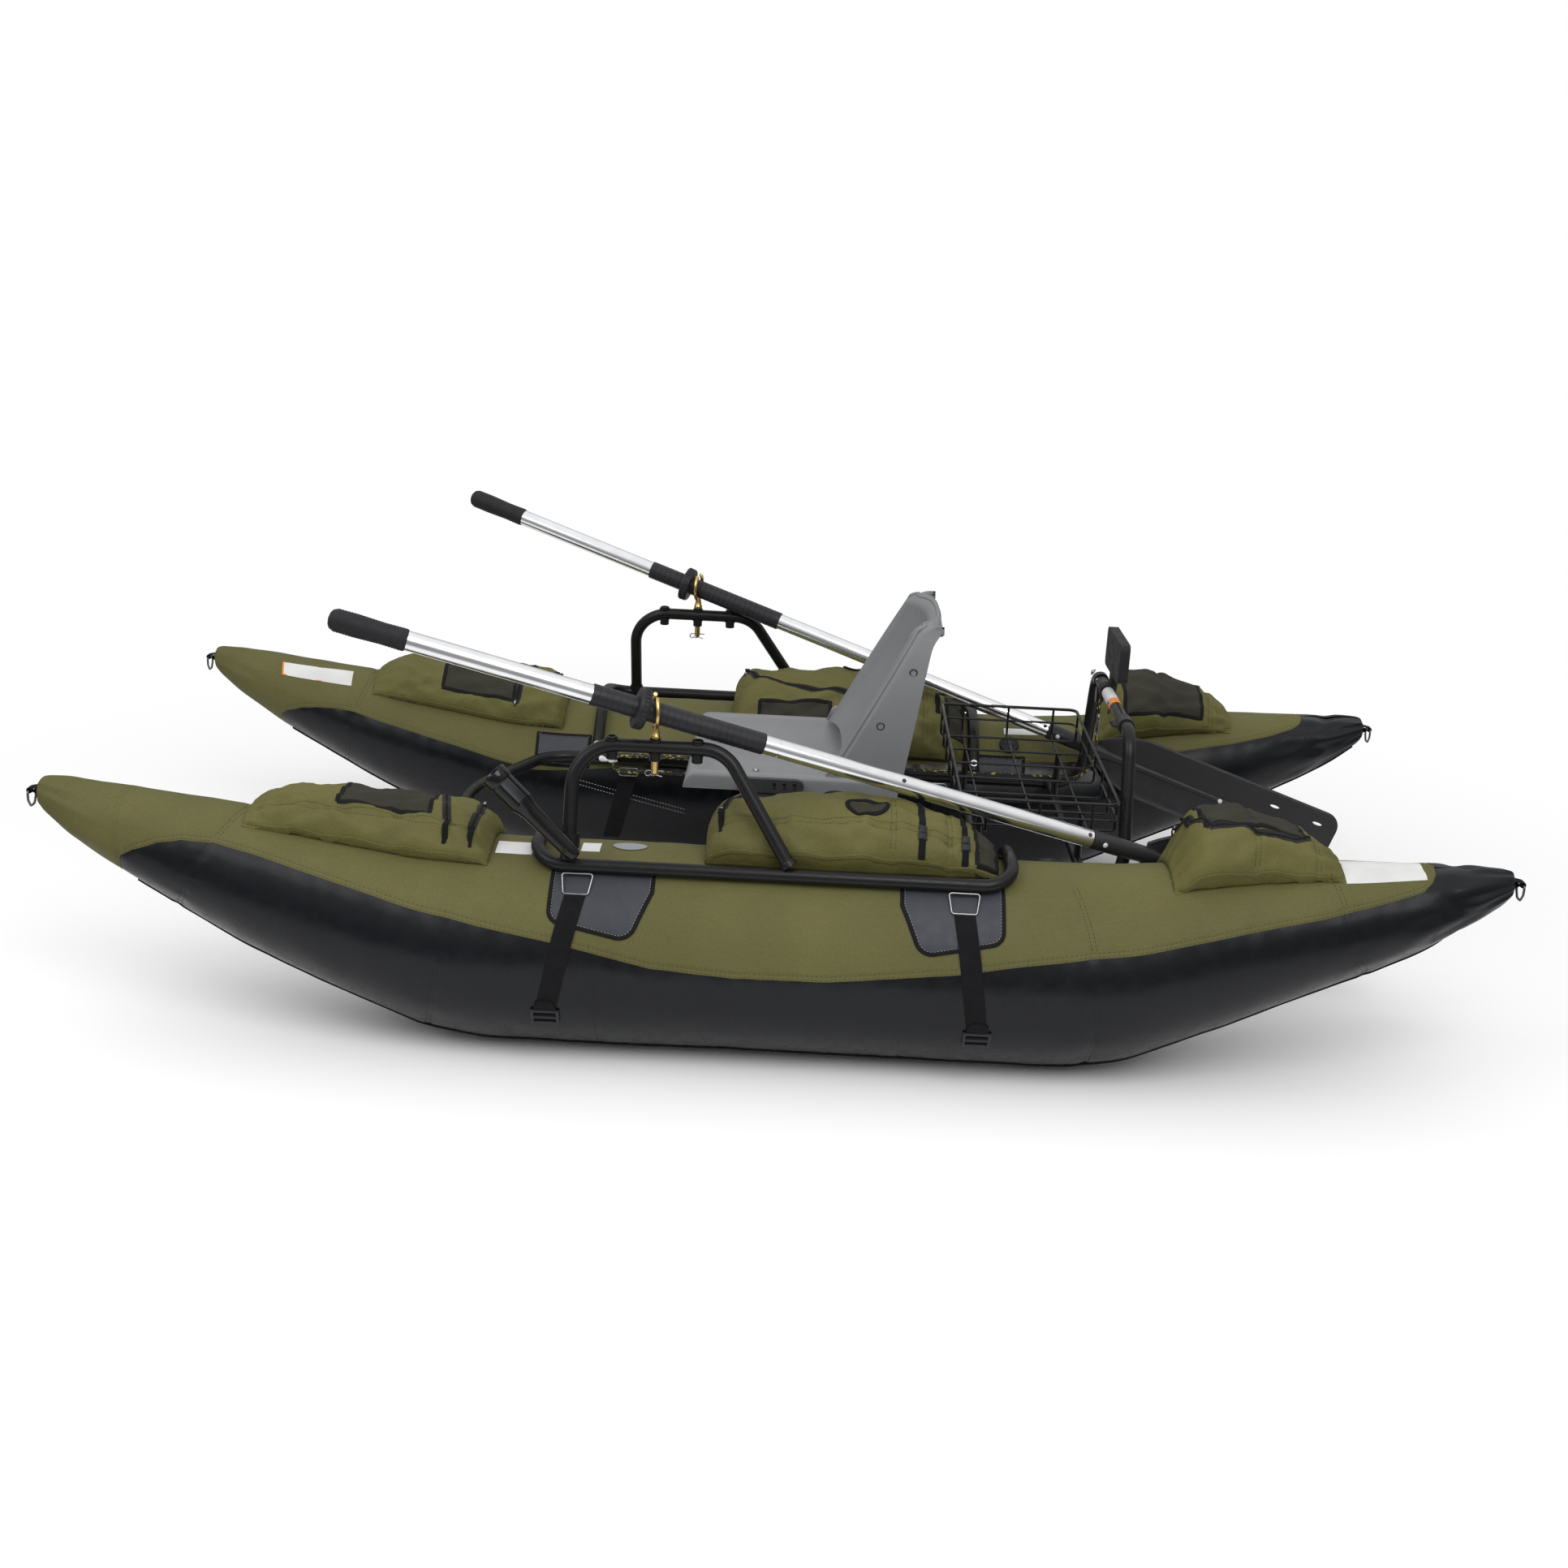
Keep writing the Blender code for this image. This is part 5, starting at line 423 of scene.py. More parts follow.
def even_steps(fine, spacing):
    lengths = run_lengths(fine)
    count = max(2, round(lengths[-1] / spacing))
    places = np.linspace(0, lengths[-1], count + 1)
    array = np.array(fine)
    return [Vector(np.array([np.interp(s, lengths, array[:, k]) for k in range(3)])) for s in places]


def port_side(side, x, out, z):
    return Vector((x, side * out, z))


# Hull form

RADIUS, HALF_LENGTH, SPACING = 0.189, 1.35, 0.502
FACET_HALF = math.pi / 20
AXIS_Z = RADIUS * math.cos(FACET_HALF)
SKIN_RADIUS = 0.1872
STATIONS = np.array((
    (-1.0, 2.27, 0.085), (-0.992, 2.254, 0.16), (-0.955, 2.13, 0.27), (-0.889, 1.94, 0.404),
    (-0.704, 1.49, 0.695), (-0.607, 1.3, 0.81), (-0.467, 1.05, 0.958), (-0.385, 1.0, 1.0),
    (0.407, 1.0, 1.0), (0.489, 1.06, 0.97), (0.637, 1.36, 0.8), (0.726, 1.52, 0.67),
    (0.815, 1.67, 0.54), (0.889, 1.815, 0.408), (0.956, 1.975, 0.255), (0.992, 2.07, 0.15),
    (1.0, 2.085, 0.08)))


def smoothed(values, width):
    reach = int(3 * width)
    weights = np.exp(-0.5 * (np.arange(-reach, reach + 1) / width) ** 2)
    padded = np.pad(values, reach, mode="reflect", reflect_type="odd")
    return np.convolve(padded, weights / weights.sum(), mode="valid")


HULL_X = np.linspace(-HALF_LENGTH, HALF_LENGTH, 1351)
HULL_Z = smoothed(np.interp(HULL_X, STATIONS[:, 0] * HALF_LENGTH, STATIONS[:, 1]) * RADIUS, 11.0)
HULL_Z += AXIS_Z - RADIUS
HULL_R = np.interp(HULL_X, STATIONS[:, 0] * HALF_LENGTH, STATIONS[:, 2]) * SKIN_RADIUS
HULL_R = np.where(np.abs(HULL_X) > 1.27, smoothed(HULL_R, 3.0), smoothed(HULL_R, 9.0))
TIP_ROUND = 0.008
HULL_R *= np.sqrt(np.clip((HALF_LENGTH + 0.0008 - np.abs(HULL_X)) / TIP_ROUND, 0, 1))


def ripples(x, angle, waves):
    """A repeatable mix of waves over the hull: (strength, turns along x, turns round, phase)."""
    total = 0.0
    for strength, along, around, phase in waves:
        total = total + strength * np.sin(along * x + around * angle + phase)
    return total


SOFT = ((0.5, 7.1, 2, 0.3), (0.4, 11.3, -3, 1.7), (0.35, 16.9, 4, 4.0), (0.3, 4.2, 5, 2.2), (0.25, 23.0, -2, 5.1))
FINE = ((0.5, 51.0, 5, 0.9), (0.4, 73.0, -7, 2.6), (0.4, 38.0, 9, 4.4), (0.3, 95.0, 3, 1.2))

# Boundary between the olive top and the black bottom: place along the boat, degrees above level
OUTER_EDGE = np.array((
    (-1.192, -88), (-1.184, -50), (-1.177, -15), (-1.15, 3), (-1.104, 23), (-1.06, 34), (-1.0, 41), (-0.93, 41),
    (-0.838, 38), (-0.57, 30), (-0.375, 20), (-0.207, 9), (-0.06, 6), (0.11, 6.6), (0.334, 14), (0.45, 20.5),
    (0.572, 26), (0.7, 27), (0.81, 27), (0.984, 28.5), (1.082, 34), (1.14, 39), (1.168, 43), (1.187, 55), (1.198, 72),
    (1.2, 88)))
INNER_EDGE = np.array((
    (-1.192, -88), (-1.184, -50), (-1.176, -28), (-1.16, -15), (-1.126, 0), (-1.086, 11), (-1.04, 19),
    (-0.998, 22.7), (-0.872, 22), (-0.756, 21), (-0.622, 19), (-0.57, 17), (-0.4, 22), (-0.2, 28), (0.0, 31),
    (0.2, 34), (0.435, 38), (0.55, 42), (0.68, 40), (0.805, 37), (0.9, 35.6), (1.032, 37), (1.12, 42), (1.17, 50),
    (1.19, 60), (1.198, 75), (1.2, 88)))


def edge_angle(x, inboard):
    table = INNER_EDGE if inboard else OUTER_EDGE
    return np.interp(x, table[:, 0], table[:, 1])


# Cross seams as (place along the boat, degrees above level) from keel to keel over the outboard side
SEAMS = (
    ((-1.085, -62), (-1.075, -46), (-1.041, 6), (-0.985, 60), (-0.967, 90), (-0.975, 125), (-1.0, 165), (-1.03, 240)),
    ((-0.62, -62), (-0.615, -51), (-0.585, 0), (-0.57, 30)),
    ((0.545, 70), (0.555, 59), (0.584, 20), (0.59, -20), (0.588, -62)),
    ((1.0, 118), (1.006, 90), (1.009, 63), (1.046, -12), (1.079, -41), (1.085, -62)),
    ((-0.3, 2), (-0.3, -62)),
    ((0.245, 6), (0.25, -62)),
)
SEAM_DEEP = (1.0, 0.8, 1.0, 0.8, 0.35, 0.35)
LOWEST = 0.0012


def sink(x, angle):
    """How far the skin lies below its smooth form; x and degrees as arrays."""
    degrees = angle
    radians = np.radians(angle)
    depth = -0.0009 * ripples(x, radians, SOFT) - 0.00035 * ripples(x, radians, FINE)
    for seam, deep in zip(SEAMS, SEAM_DEEP):
        table = np.array(sorted(seam, key=lambda p: p[1]))
        inside = (degrees > table[0, 1] - 3) & (degrees < table[-1, 1] + 3)
        away = x - np.interp(degrees, table[:, 1], table[:, 0])
        groove = 0.0022 * np.exp(-0.5 * (away / 0.0045) ** 2)
        pucker = 0.0011 * np.exp(-np.abs(away) / 0.03) * np.sin(radians * 26 + 3 * np.sin(radians * 5))
        depth = depth + deep * inside * (groove + pucker)
    height = np.where(np.cos(radians) >= 0, degrees, 180 - degrees)
    rim = np.where(np.cos(radians) >= 0, edge_angle(x, False), edge_angle(x, True))
    away = (height - rim) * (math.pi / 180 * SKIN_RADIUS)
    depth = depth + 0.0009 * np.exp(-0.5 * (away / 0.004) ** 2)
    depth = depth + 0.0007 * np.exp(-np.abs(away) / 0.02) * np.sin(x * 110 + 2 * np.sin(x * 23))
    tip = np.clip((np.abs(x) - 1.02) / 0.33, 0, 1) ** 1.6
    folds = np.sin(radians * 9 + 2.5 * np.sin(x * 13)) * 0.6 + np.sin(radians * 14 + 1.3 + x * 21) * 0.4
    depth = depth + tip * np.where(x > 0, 0.0055, 0.0028) * folds
    crease = np.where(x > 0, np.exp(-0.5 * ((x - 1.24 + 0.02 * np.sin(radians * 3)) / 0.012) ** 2), 0)
    depth = depth + 0.0065 * crease * (0.5 + 0.5 * np.sin(radians * 4 + 0.8))
    return depth


def skin(side, x, angle, offset=0.0):
    """Points on the dressed pontoon; angle in degrees, 0 outboard, 90 up, 180 inboard."""
    x, angle = np.broadcast_arrays(np.asarray(x, float), np.asarray(angle, float))
    turned = np.where(angle > 180, angle - 360, angle)
    radius = np.interp(x, HULL_X, HULL_R)
    shown = np.clip(radius / 0.05, 0, 1)
    reach = radius - sink(x, turned) * shown + offset
    radians = np.radians(angle)
    out = SPACING + reach * np.cos(radians)
    z = np.interp(x, HULL_X, HULL_Z) + reach * np.sin(radians)
    return np.stack([x, side * out, np.maximum(z, LOWEST)], axis=-1)


def skin_vectors(side, x, angle, offset=0.0):
    return [Vector(p) for p in skin(side, x, angle, offset)]


# Pontoon covers

STITCH_HEIGHT = 0.0006


def shell(piece, low, high, surface, flip=False):
    """A thin solid between two equal grids of points."""
    count, width = len(low), len(low[0])
    piece.grid(high, surface, flip=flip)
    piece.grid(low, surface, flip=not flip)
    around = [(0, j) for j in range(width)] + [(i, width - 1) for i in range(1, count)]
    around += [(count - 1, j) for j in range(width - 2, -1, -1)] + [(i, 0) for i in range(count - 2, 0, -1)]
    piece.grid([[rows[i][j] for i, j in around] for rows in (low, high)], surface, wrap=True, flip=flip)


def skin_band(piece, side, xs, angles, low, high, surface, flip):
    """A thin solid over the skin, between two heights above it."""
    shell(piece, skin(side, xs, angles, low).tolist(), skin(side, xs, angles, high).tolist(), surface, flip)


def skin_shell(piece, side, xs, angles, thickness, surface, offset=0.0003, soften=0.5):
    """A thin plate on the pontoon over grids of places; its rim is thinner than its middle."""
    xs, angles = np.broadcast_arrays(xs, angles)
    rise = np.full(xs.shape, thickness)
    rise[0, :] = rise[-1, :] = rise[:, 0] = rise[:, -1] = thickness * soften
    skin_band(piece, side, xs, angles, offset, offset + rise, surface, side < 0)


def even_line(side, xs, angles, pitch, offset):
    """The same line over the skin, read at even steps."""
    fine, given = np.linspace(0, 1, 1600), np.linspace(0, 1, len(xs))
    fine_x, fine_angle = np.interp(fine, given, xs), np.interp(fine, given, angles)
    lengths = run_lengths(skin(side, fine_x, fine_angle, offset))
    return fine_x, fine_angle, lengths, np.arange(0, lengths[-1], pitch)


def stitch_row(piece, starts, ends, normals, surface, width=0.0009):
    """A row of raised stitches, each a small ridge."""
    for a, b, n in zip(starts, ends, normals):
        a, b, n = Vector(a), Vector(b), Vector(n).normalized()
        side = n.cross(b - a).normalized() * (width / 2)
        lift = n * STITCH_HEIGHT
        lean = (b - a) * 0.18
        points = [a - side, a + side, b + side, b - side, a + lean + lift, b - lean + lift]
        faces = [(0, 1, 4), (1, 2, 5, 4), (2, 3, 5), (3, 0, 4, 5)]
        piece.add(points, faces, surface, [(0.0, 0.0)] * 14)


def skin_stitches(piece, side, xs, angles, surface, pitch=0.0085, share=0.62, offset=0.0004, width=0.0009):
    fine_x, fine_angle, lengths, steps = even_line(side, xs, angles, pitch, offset)
    steps = steps[steps + pitch * share < lengths[-1]]
    starts, ends = [skin(side, np.interp(at, lengths, fine_x), np.interp(at, lengths, fine_angle), offset)
                    for at in (steps, steps + pitch * share)]
    radians = np.radians(np.interp(steps, lengths, fine_angle))
    normals = np.stack([0 * radians, side * np.cos(radians), np.sin(radians)], axis=-1)
    stitch_row(piece, starts, ends, normals, surface, width)


def skin_cord(piece, side, xs, angles, radius, surface, offset, sides, step):
    fine_x, fine_angle, lengths, steps = even_line(side, xs, angles, step, offset)
    at = np.append(steps, lengths[-1])
    line = skin_vectors(side, np.interp(at, lengths, fine_x), np.interp(at, lengths, fine_angle), offset)
    piece.tube(line, radius, surface, sides)


def panel_places(low, high):
    even = np.arange(low, high, 0.0068)
    extra = [x for x in np.concatenate([np.linspace(-1.194, -1.1, 30), np.linspace(1.12, 1.202, 30),
                                        np.linspace(-1.3508, -1.335, 9), np.linspace(1.335, 1.3508, 9)])
             if low <= x <= high]
    return np.unique(np.round(np.concatenate([even, extra, [high]]), 5))


def edge_height(x, inboard, millimetres):
    """The angle of a line that runs beside the colour boundary, above it by so many millimetres."""
    radius = np.interp(x, HULL_X, HULL_R)
    angle = edge_angle(x, inboard) + np.degrees(millimetres / 1000.0 / np.maximum(radius, 0.02))
    return 180 - angle if inboard else angle


def make_panels(piece, side):
    low_end, high_end = -HALF_LENGTH - 0.0007, HALF_LENGTH + 0.0007
    for surface, start, end, columns in (("olive", low_end, 1.2, 46), ("black_pvc", -1.192, high_end, 46)):
        xs = panel_places(start, end)
        share = np.linspace(0, 1, columns)
        outer, inner = edge_angle(xs, False), 180 - edge_angle(xs, True)
        if surface == "olive":
            angles = outer[:, None] + (inner - outer)[:, None] * share
        else:
            angles = inner[:, None] + (360 + outer - inner)[:, None] * share
        piece.grid(skin(side, xs[:, None], angles).tolist(), surface, flip=side < 0)


def make_hem(piece, side):
    """The doubled edge of the olive cloth with its twin stitching, on both flanks."""
    for inboard in (False, True):
        xs = np.arange(-1.165, 1.176, 0.0075)
        angles = np.stack([edge_height(xs, inboard, mm) for mm in (-0.5, 3.0, 7.5, 12.0)], axis=1)
        if inboard:
            angles = angles[:, ::-1]
        skin_shell(piece, side, xs[:, None], angles, 0.0009, "olive", 0.0001, soften=0.4)
        for mm in (2.4, 9.6):
            skin_stitches(piece, side, xs, edge_height(xs, inboard, mm), "thread_dark", offset=0.0009)


def make_seams(piece, side):
    for seam, deep in zip(SEAMS, SEAM_DEEP):
        table = np.array(seam, float)
        x, angle = (np.interp(np.linspace(0, 1, 60), np.linspace(0, 1, len(table)), table[:, k]) for k in (0, 1))
        for shift in (-0.0042, 0.0042):
            if deep < 0.5 and shift > 0:
                continue
            skin_stitches(piece, side, x + shift, angle, "thread_black", 0.007, 0.6, 0.0, 0.0008)
    for drop in (0.0, 3.2):
        line_x, line_angle = np.linspace(-0.47, -0.22, 40), np.linspace(167.0, 185.0, 40) + drop
        skin_stitches(piece, side, line_x, line_angle, "thread_pale", 0.007, 0.55, 0.0002, 0.0011)
    for angle in (-62.0, 242.0):
        xs = np.linspace(-1.16, 1.325, 200)
        skin_cord(piece, side, xs, np.full(200, angle), 0.0024, "binding", 0.0006, 8, 0.012)


def make_tip_loops(piece, side):
    """A folded webbing tab at each tip that holds the towing ring."""
    for end, eye_z in ((-1, 0.4267), (1, 0.39174)):
        eye = Vector((end * 1.36206, side * SPACING, eye_z))
        upper, lower = ([eye + Vector((-end * x, 0, z)) for x, z in leg] for leg in (
            ((0.052, 0.0165), (0.034, 0.0135), (0.018, 0.0085)), ((0.018, -0.008), (0.034, -0.013), (0.05, -0.0165))))
        turns = [math.radians(60 - 240 * k / 8 if end > 0 else 120 + 240 * k / 8) for k in range(9)]
        loop = [eye + Vector((math.cos(a) * 0.0048, 0, math.sin(a) * 0.0048)) for a in turns]
        strap_along(piece, smooth_route(upper + loop + lower, 0.003), Vector((0, 1, 0)), 0.022, 0.0015, "webbing")


def strap_along(piece, path, across, width, thickness, surface):
    """A flat strap that follows a path; its width lies along one direction."""
    low, high = [], []
    for point, (tangent, _, _) in zip(path, parallel_frames(path, False)):
        wide = (across - tangent * across.dot(tangent)).normalized()
        normal = tangent.cross(wide)
        row = [(point + wide * (share * width / 2), thickness * (0.5 if abs(share) == 1 else 1.0))
               for share in (-1, -0.5, 0, 0.5, 1)]
        low.append([place - normal * thick / 2 for place, thick in row])
        high.append([place + normal * thick / 2 for place, thick in row])
    shell(piece, low, high, surface)


def label(piece, side, x, angle, length, width, surface, band=None, round_ends=False, lean=0.0, offset=0.0004):
    """A plain patch on the skin; length runs along the boat, in metres."""
    radius = float(np.interp(x, HULL_X, HULL_R))
    rows, columns = 9, 15
    xs, angles = np.zeros((columns, rows)), np.zeros((columns, rows))
    for i in range(columns):
        a = 2 * i / (columns - 1) - 1
        for j in range(rows):
            b = 2 * j / (rows - 1) - 1
            wide = math.sqrt(max(1 - a * a, 0.02)) if round_ends else 1.0
            along, up = a * length / 2, b * wide * width / 2
            xs[i, j] = x + along * math.cos(lean) - up * math.sin(lean)
            angles[i, j] = angle + math.degrees((up * math.cos(lean) + along * math.sin(lean)) / radius)
    skin_shell(piece, side, xs, angles, 0.0006, surface, offset)
    if band:
        for start in band:
            k = [i for i in range(columns) if start <= i <= start + 1]
            skin_shell(piece, side, xs[k], angles[k], 0.0008, "orange", offset)


def make_labels(piece, side):
    if side == PORT:
        label(piece, side, -0.469, 81.5, 0.066, 0.044, "label")
        label(piece, side, -0.332, 87.0, 0.034, 0.04, "label")
        label(piece, side, -0.262, 90.0, 0.062, 0.036, "grey_patch", round_ends=True, offset=0.0012)
        label(piece, side, 1.103, 79.0, 0.148, 0.07, "label")
    else:
        label(piece, side, -1.095, 122.0, 0.165, 0.042, "label", band=(0, 7), lean=-0.12)
        label(piece, side, 0.555, 112.0, 0.1, 0.022, "label")


def make_bladder(name, side):
    """The air bladder inside the cover, a little slack at its ends."""
    piece = Piece("air_bladder_" + name)
    xs = np.concatenate([np.linspace(-1.33, -1.25, 10), np.linspace(-1.24, 1.24, 150), np.linspace(1.25, 1.33, 10)])
    inset = np.minimum(0.009, np.interp(xs, HULL_X, HULL_R) * 0.25)
    rows = skin(side, xs[:, None], np.linspace(0, 360, 37)[:-1], -inset[:, None])
    rows[:, :, 2] = np.maximum(rows[:, :, 2], 0.006)
    piece.grid(rows.tolist(), "bladder", wrap=True, flip=side < 0)
    for row in (rows[0], rows[-1]):
        piece.cap(row.tolist(), "bladder")
    piece.make("boat", "bladder_film", ["bladder_" + name], sharp=60.0)


def make_cover(label_text, side):
    piece = Piece("cover_" + label_text)
    make_panels(piece, side)
    make_hem(piece, side)
    make_tip_loops(piece, side)
    make_labels(piece, side)
    piece.make("boat", "olive_fabric", ["pontoon_cover_" + label_text], sharp=60.0)
    trim = Piece("cover_seams_" + label_text)
    make_seams(trim, side)
    trim.make("boat", "olive_fabric", sharp=60.0)


# Frame tubes

TUBE = 0.0127
CROSS_BAR = 0.0105
SADDLE_RADIUS = 0.202933
RAIL_ANGLE, INNER_ANGLE = 63.3, 152.0
RAIL_OUT, RAIL_Z = 0.593182, 0.367968
INNER_OUT, INNER_Z = 0.322821, 0.281944
ARCH_TOP_OUT, ARCH_TOP_Z = 0.531, 0.577
SOCKETS = (-0.296, -0.2185, -0.143)
RAIL_FRONT, RAIL_REAR, RAIL_CORNER = -0.425, 0.432, 0.055
ARCH_FRONT, ARCH_REAR, ARCH_DRIFT, ARCH_FOOT = -0.364, -0.094, 0.122, 0.04
REAR_BARS, SEAT_BARS, BAR_SPLIT = (0.40033, 0.60167), (-0.08, 0.17), -0.21
REAR_ARCH_X, REAR_TOP_OUT, REAR_TOP_Z = 0.675, 0.235021, 0.56


def saddle_point(side, angle, x):
    radians = math.radians(angle)
    return port_side(side, x, SPACING + SADDLE_RADIUS * math.cos(radians), AXIS_Z + SADDLE_RADIUS * math.sin(radians))


def make_side_rail(name, side):
    piece = Piece("rail_" + name)
    end_angle = INNER_ANGLE - math.degrees((TUBE * 1.02) / SADDLE_RADIUS)
    bend = math.degrees(RAIL_CORNER / SADDLE_RADIUS)
    front = [(end_angle + (RAIL_ANGLE + bend - end_angle) * k / 28, RAIL_FRONT) for k in range(29)]
    for k in range(1, 15):
        turned = math.pi / 2 * k / 14
        front.append((RAIL_ANGLE + bend * (1 - math.sin(turned)), RAIL_FRONT + RAIL_CORNER * (1 - math.cos(turned))))
    rear = [(angle, RAIL_FRONT + RAIL_REAR - x) for angle, x in reversed(front)]
    piece.tube([saddle_point(side, a, x) for a, x in front + rear], TUBE, "black_steel", 24, ends=0.1)
    up = Vector((0, side * math.cos(math.radians(end_angle)), math.sin(math.radians(end_angle))))
    for x in (RAIL_FRONT, RAIL_REAR):
        start, end, bolt = (saddle_point(side, end_angle + turn, x) for turn in (-1.6, 0.3, -4.5))
        piece.tube([start, start.lerp(end, 0.5), end], TUBE * 1.12, "black_steel", 24, ends=0.15)
        add_bolt(piece, bolt + up * (TUBE - 0.0012), up, 0.0055)
    piece.make("boat", "black_steel", ["side_rail_" + name])


def add_bolt(piece, place, direction, radius):
    """A domed screw head on a washer."""
    profile = ((0, 0), (0, 1.5), (0.25, 1.5), (0.3, 1.35), (0.3, 1), (0.75, 0.85), (0.98, 0.45), (1.02, 0))
    piece.turned(place, direction, [(radius * a, radius * b) for a, b in profile], "steel", 20)


def weld_ring(piece, place, direction, radius):
    """A low uneven bead where one tube is welded to another."""
    profile = ((0, 1.22), (0.16, 1.2), (0.32, 1.08), (0.4, 1))
    piece.turned(place, direction, [(radius * a, radius * b) for a, b in profile], "black_steel", 22)


def cross_bar(piece, x, reach, weld):
    """A bar from one inner rail to the other, welded at both ends."""
    piece.tube([(x, y, INNER_Z) for y in (-reach, 0, reach)], CROSS_BAR, "black_steel", 20)
    for sign in (-1, 1):
        weld_ring(piece, (x, sign * weld, INNER_Z), (0, -sign, 0), CROSS_BAR)


def arch_point(side, x, share):
    return port_side(side, x, RAIL_OUT + (ARCH_TOP_OUT - RAIL_OUT) * share, RAIL_Z + (ARCH_TOP_Z - RAIL_Z) * share)


def make_arch(name, side):
    piece = Piece("arch_" + name)
    slope = math.hypot(ARCH_TOP_OUT - RAIL_OUT, ARCH_TOP_Z - RAIL_Z)
    foot = (TUBE + 0.0006) / slope
    slant = ARCH_DRIFT / math.hypot(slope, ARCH_DRIFT)
    rear = foot + TUBE * slant / slope
    corners = [arch_point(side, ARCH_FRONT, foot), arch_point(side, ARCH_FRONT, 1), arch_point(side, ARCH_REAR, 1),
               arch_point(side, ARCH_FOOT - ARCH_DRIFT * rear, rear)]
    path = rounded_path(corners, [0.08, 0.07], 16)
    piece.tube(path, TUBE, "black_steel", 24, ends=0.05)
    for end, ahead in ((path[0], path[1]), (path[-1], path[-2])):
        along = (ahead - end).normalized()
        ring = [end + along * t for t in (-0.004, 0.002, 0.008)]
        piece.tube(ring, TUBE, "black_steel", 24, radii=[TUBE * 1.22, TUBE * 1.2, TUBE * 1.01], ends=0.1)
    low, high = ARCH_TOP_Z - TUBE - 0.013, ARCH_TOP_Z + TUBE + 0.004
    span = high - low
    for x in SOCKETS:
        base = port_side(side, x, ARCH_TOP_OUT, low)
        piece.turned(base, (0, 0, 1), ((0, 0.0068), (0, 0.0094), (0.0008, 0.0102), (span - 0.001, 0.0102),
                                       (span, 0.0094), (span, 0.0068), (0, 0.0068)), "black_steel", 32)
        for z in (TUBE * 0.93, -TUBE * 0.93):
            piece.turned(Vector((base.x, base.y, ARCH_TOP_Z + z)) - Vector((0, 0, 0.0016)), (0, 0, 1),
                         ((0, 0.0102), (0.0004, 0.0122), (0.0016, 0.0126), (0.0028, 0.0122), (0.0032, 0.0102)),
                         "black_steel", 28)
    piece.make("boat", "black_steel", ["oar_arch_" + name])


def make_foot_bar():
    piece = Piece("foot_rest_bar")
    corners = [(x, out, INNER_Z) for x, out in ((BAR_SPLIT, -INNER_OUT), (-0.535, -INNER_OUT), (-0.69, 0),
                                                (-0.535, INNER_OUT), (BAR_SPLIT, INNER_OUT))]
    piece.tube(rounded_path(corners, [0.09, 0.27, 0.09], 18), TUBE, "black_steel", 24, ends=0.05)
    piece.make("boat", "black_steel", ["foot_bar"])


def make_rear_frame():
    piece = Piece("inner_rails_and_arch")
    half = [(-0.2097, INNER_OUT, INNER_Z), (REAR_ARCH_X, INNER_OUT, INNER_Z), (REAR_ARCH_X, REAR_TOP_OUT, REAR_TOP_Z)]
    corners = [(x, -y, z) for x, y, z in half] + half[::-1]
    piece.tube(rounded_path(corners, [0.06] * 4, 16), TUBE, "black_steel", 24, ends=0.05)
    for x in REAR_BARS:
        cross_bar(piece, x, INNER_OUT - 0.004, INNER_OUT - TUBE * 0.96)
    for sign in (-1, 1):
        for x in (-0.225, -0.195):
            add_bolt(piece, (x, sign * INNER_OUT, INNER_Z + TUBE - 0.0012), (0, 0, 1), 0.0052)
        piece.tube([(x, sign * INNER_OUT, INNER_Z) for x in (-0.232, BAR_SPLIT, -0.188)], TUBE * 1.09, "black_steel",
                   24, ends=0.1)
    for y, size in ((0.2285, 0.005), (0.16, 0.0048), (-0.02, 0.0052)):
        add_bolt(piece, (REAR_ARCH_X - TUBE * 0.75, y, 0.5598 + TUBE * 0.3), (-0.8, 0, 0.6), size)
    for surface, ys in (("label", (0.07, 0.045, 0.015, -0.012)), ("orange", (-0.012, -0.03, -0.045))):
        piece.tube([(REAR_ARCH_X, y, REAR_TOP_Z) for y in ys], TUBE + 0.0004, surface, 28, ends=0.01)
    piece.make("boat", "black_steel", ["rear_frame"])


def make_seat_frame():
    piece = Piece("seat_pedestal")
    for x in SEAT_BARS:
        cross_bar(piece, x, INNER_OUT - 0.0115, INNER_OUT - 0.012)
    low = INNER_Z + CROSS_BAR * 0.98
    half = [(0, 0.14, low + 0.002), (0, 0.108, low + 0.002), (0, 0.108, 0.3937)]
    bends = rounded_path(half + [(0, -y, z) for _, y, z in reversed(half)], [0.006] * 4, 6)
    xs = np.linspace(-0.098, 0.188, 12)
    frames = parallel_frames(bends, False)
    lower, upper = [], []
    for point, (tangent, _, _) in zip(bends, frames):
        normal = Vector((0, -tangent.z, tangent.y))
        lower.append([Vector((x, point.y, point.z)) - normal * 0.0018 for x in xs])
        upper.append([Vector((x, point.y, point.z)) + normal * 0.0018 for x in xs])
    shell(piece, lower, upper, "black_steel")
    for x in SEAT_BARS:
        for sign in (-1, 1):
            add_bolt(piece, (x, sign * 0.127, low + 0.0035), (0, 0, 1), 0.0055)
    piece.make("boat", "black_steel", ["seat_frame"])


# Pads and straps on the pontoons

PAD_CENTRE = 66.6
PAD_OUTLINE = ((-0.0925, 0.22), (-0.0925, 0.104), (0.056, 0.0735), (0.0925, 0.168), (0.0925, 0.22))
STRAP_HALF = 0.019
STRAP_TOP, STRAP_SWEEP = 48.0, 70.0
INNER_STRAP_TOP, INNER_STRAP_SWEEP = 163.0, 50.0
SEWN_HALF, SEWN_LIFT = 0.0145, 0.0043


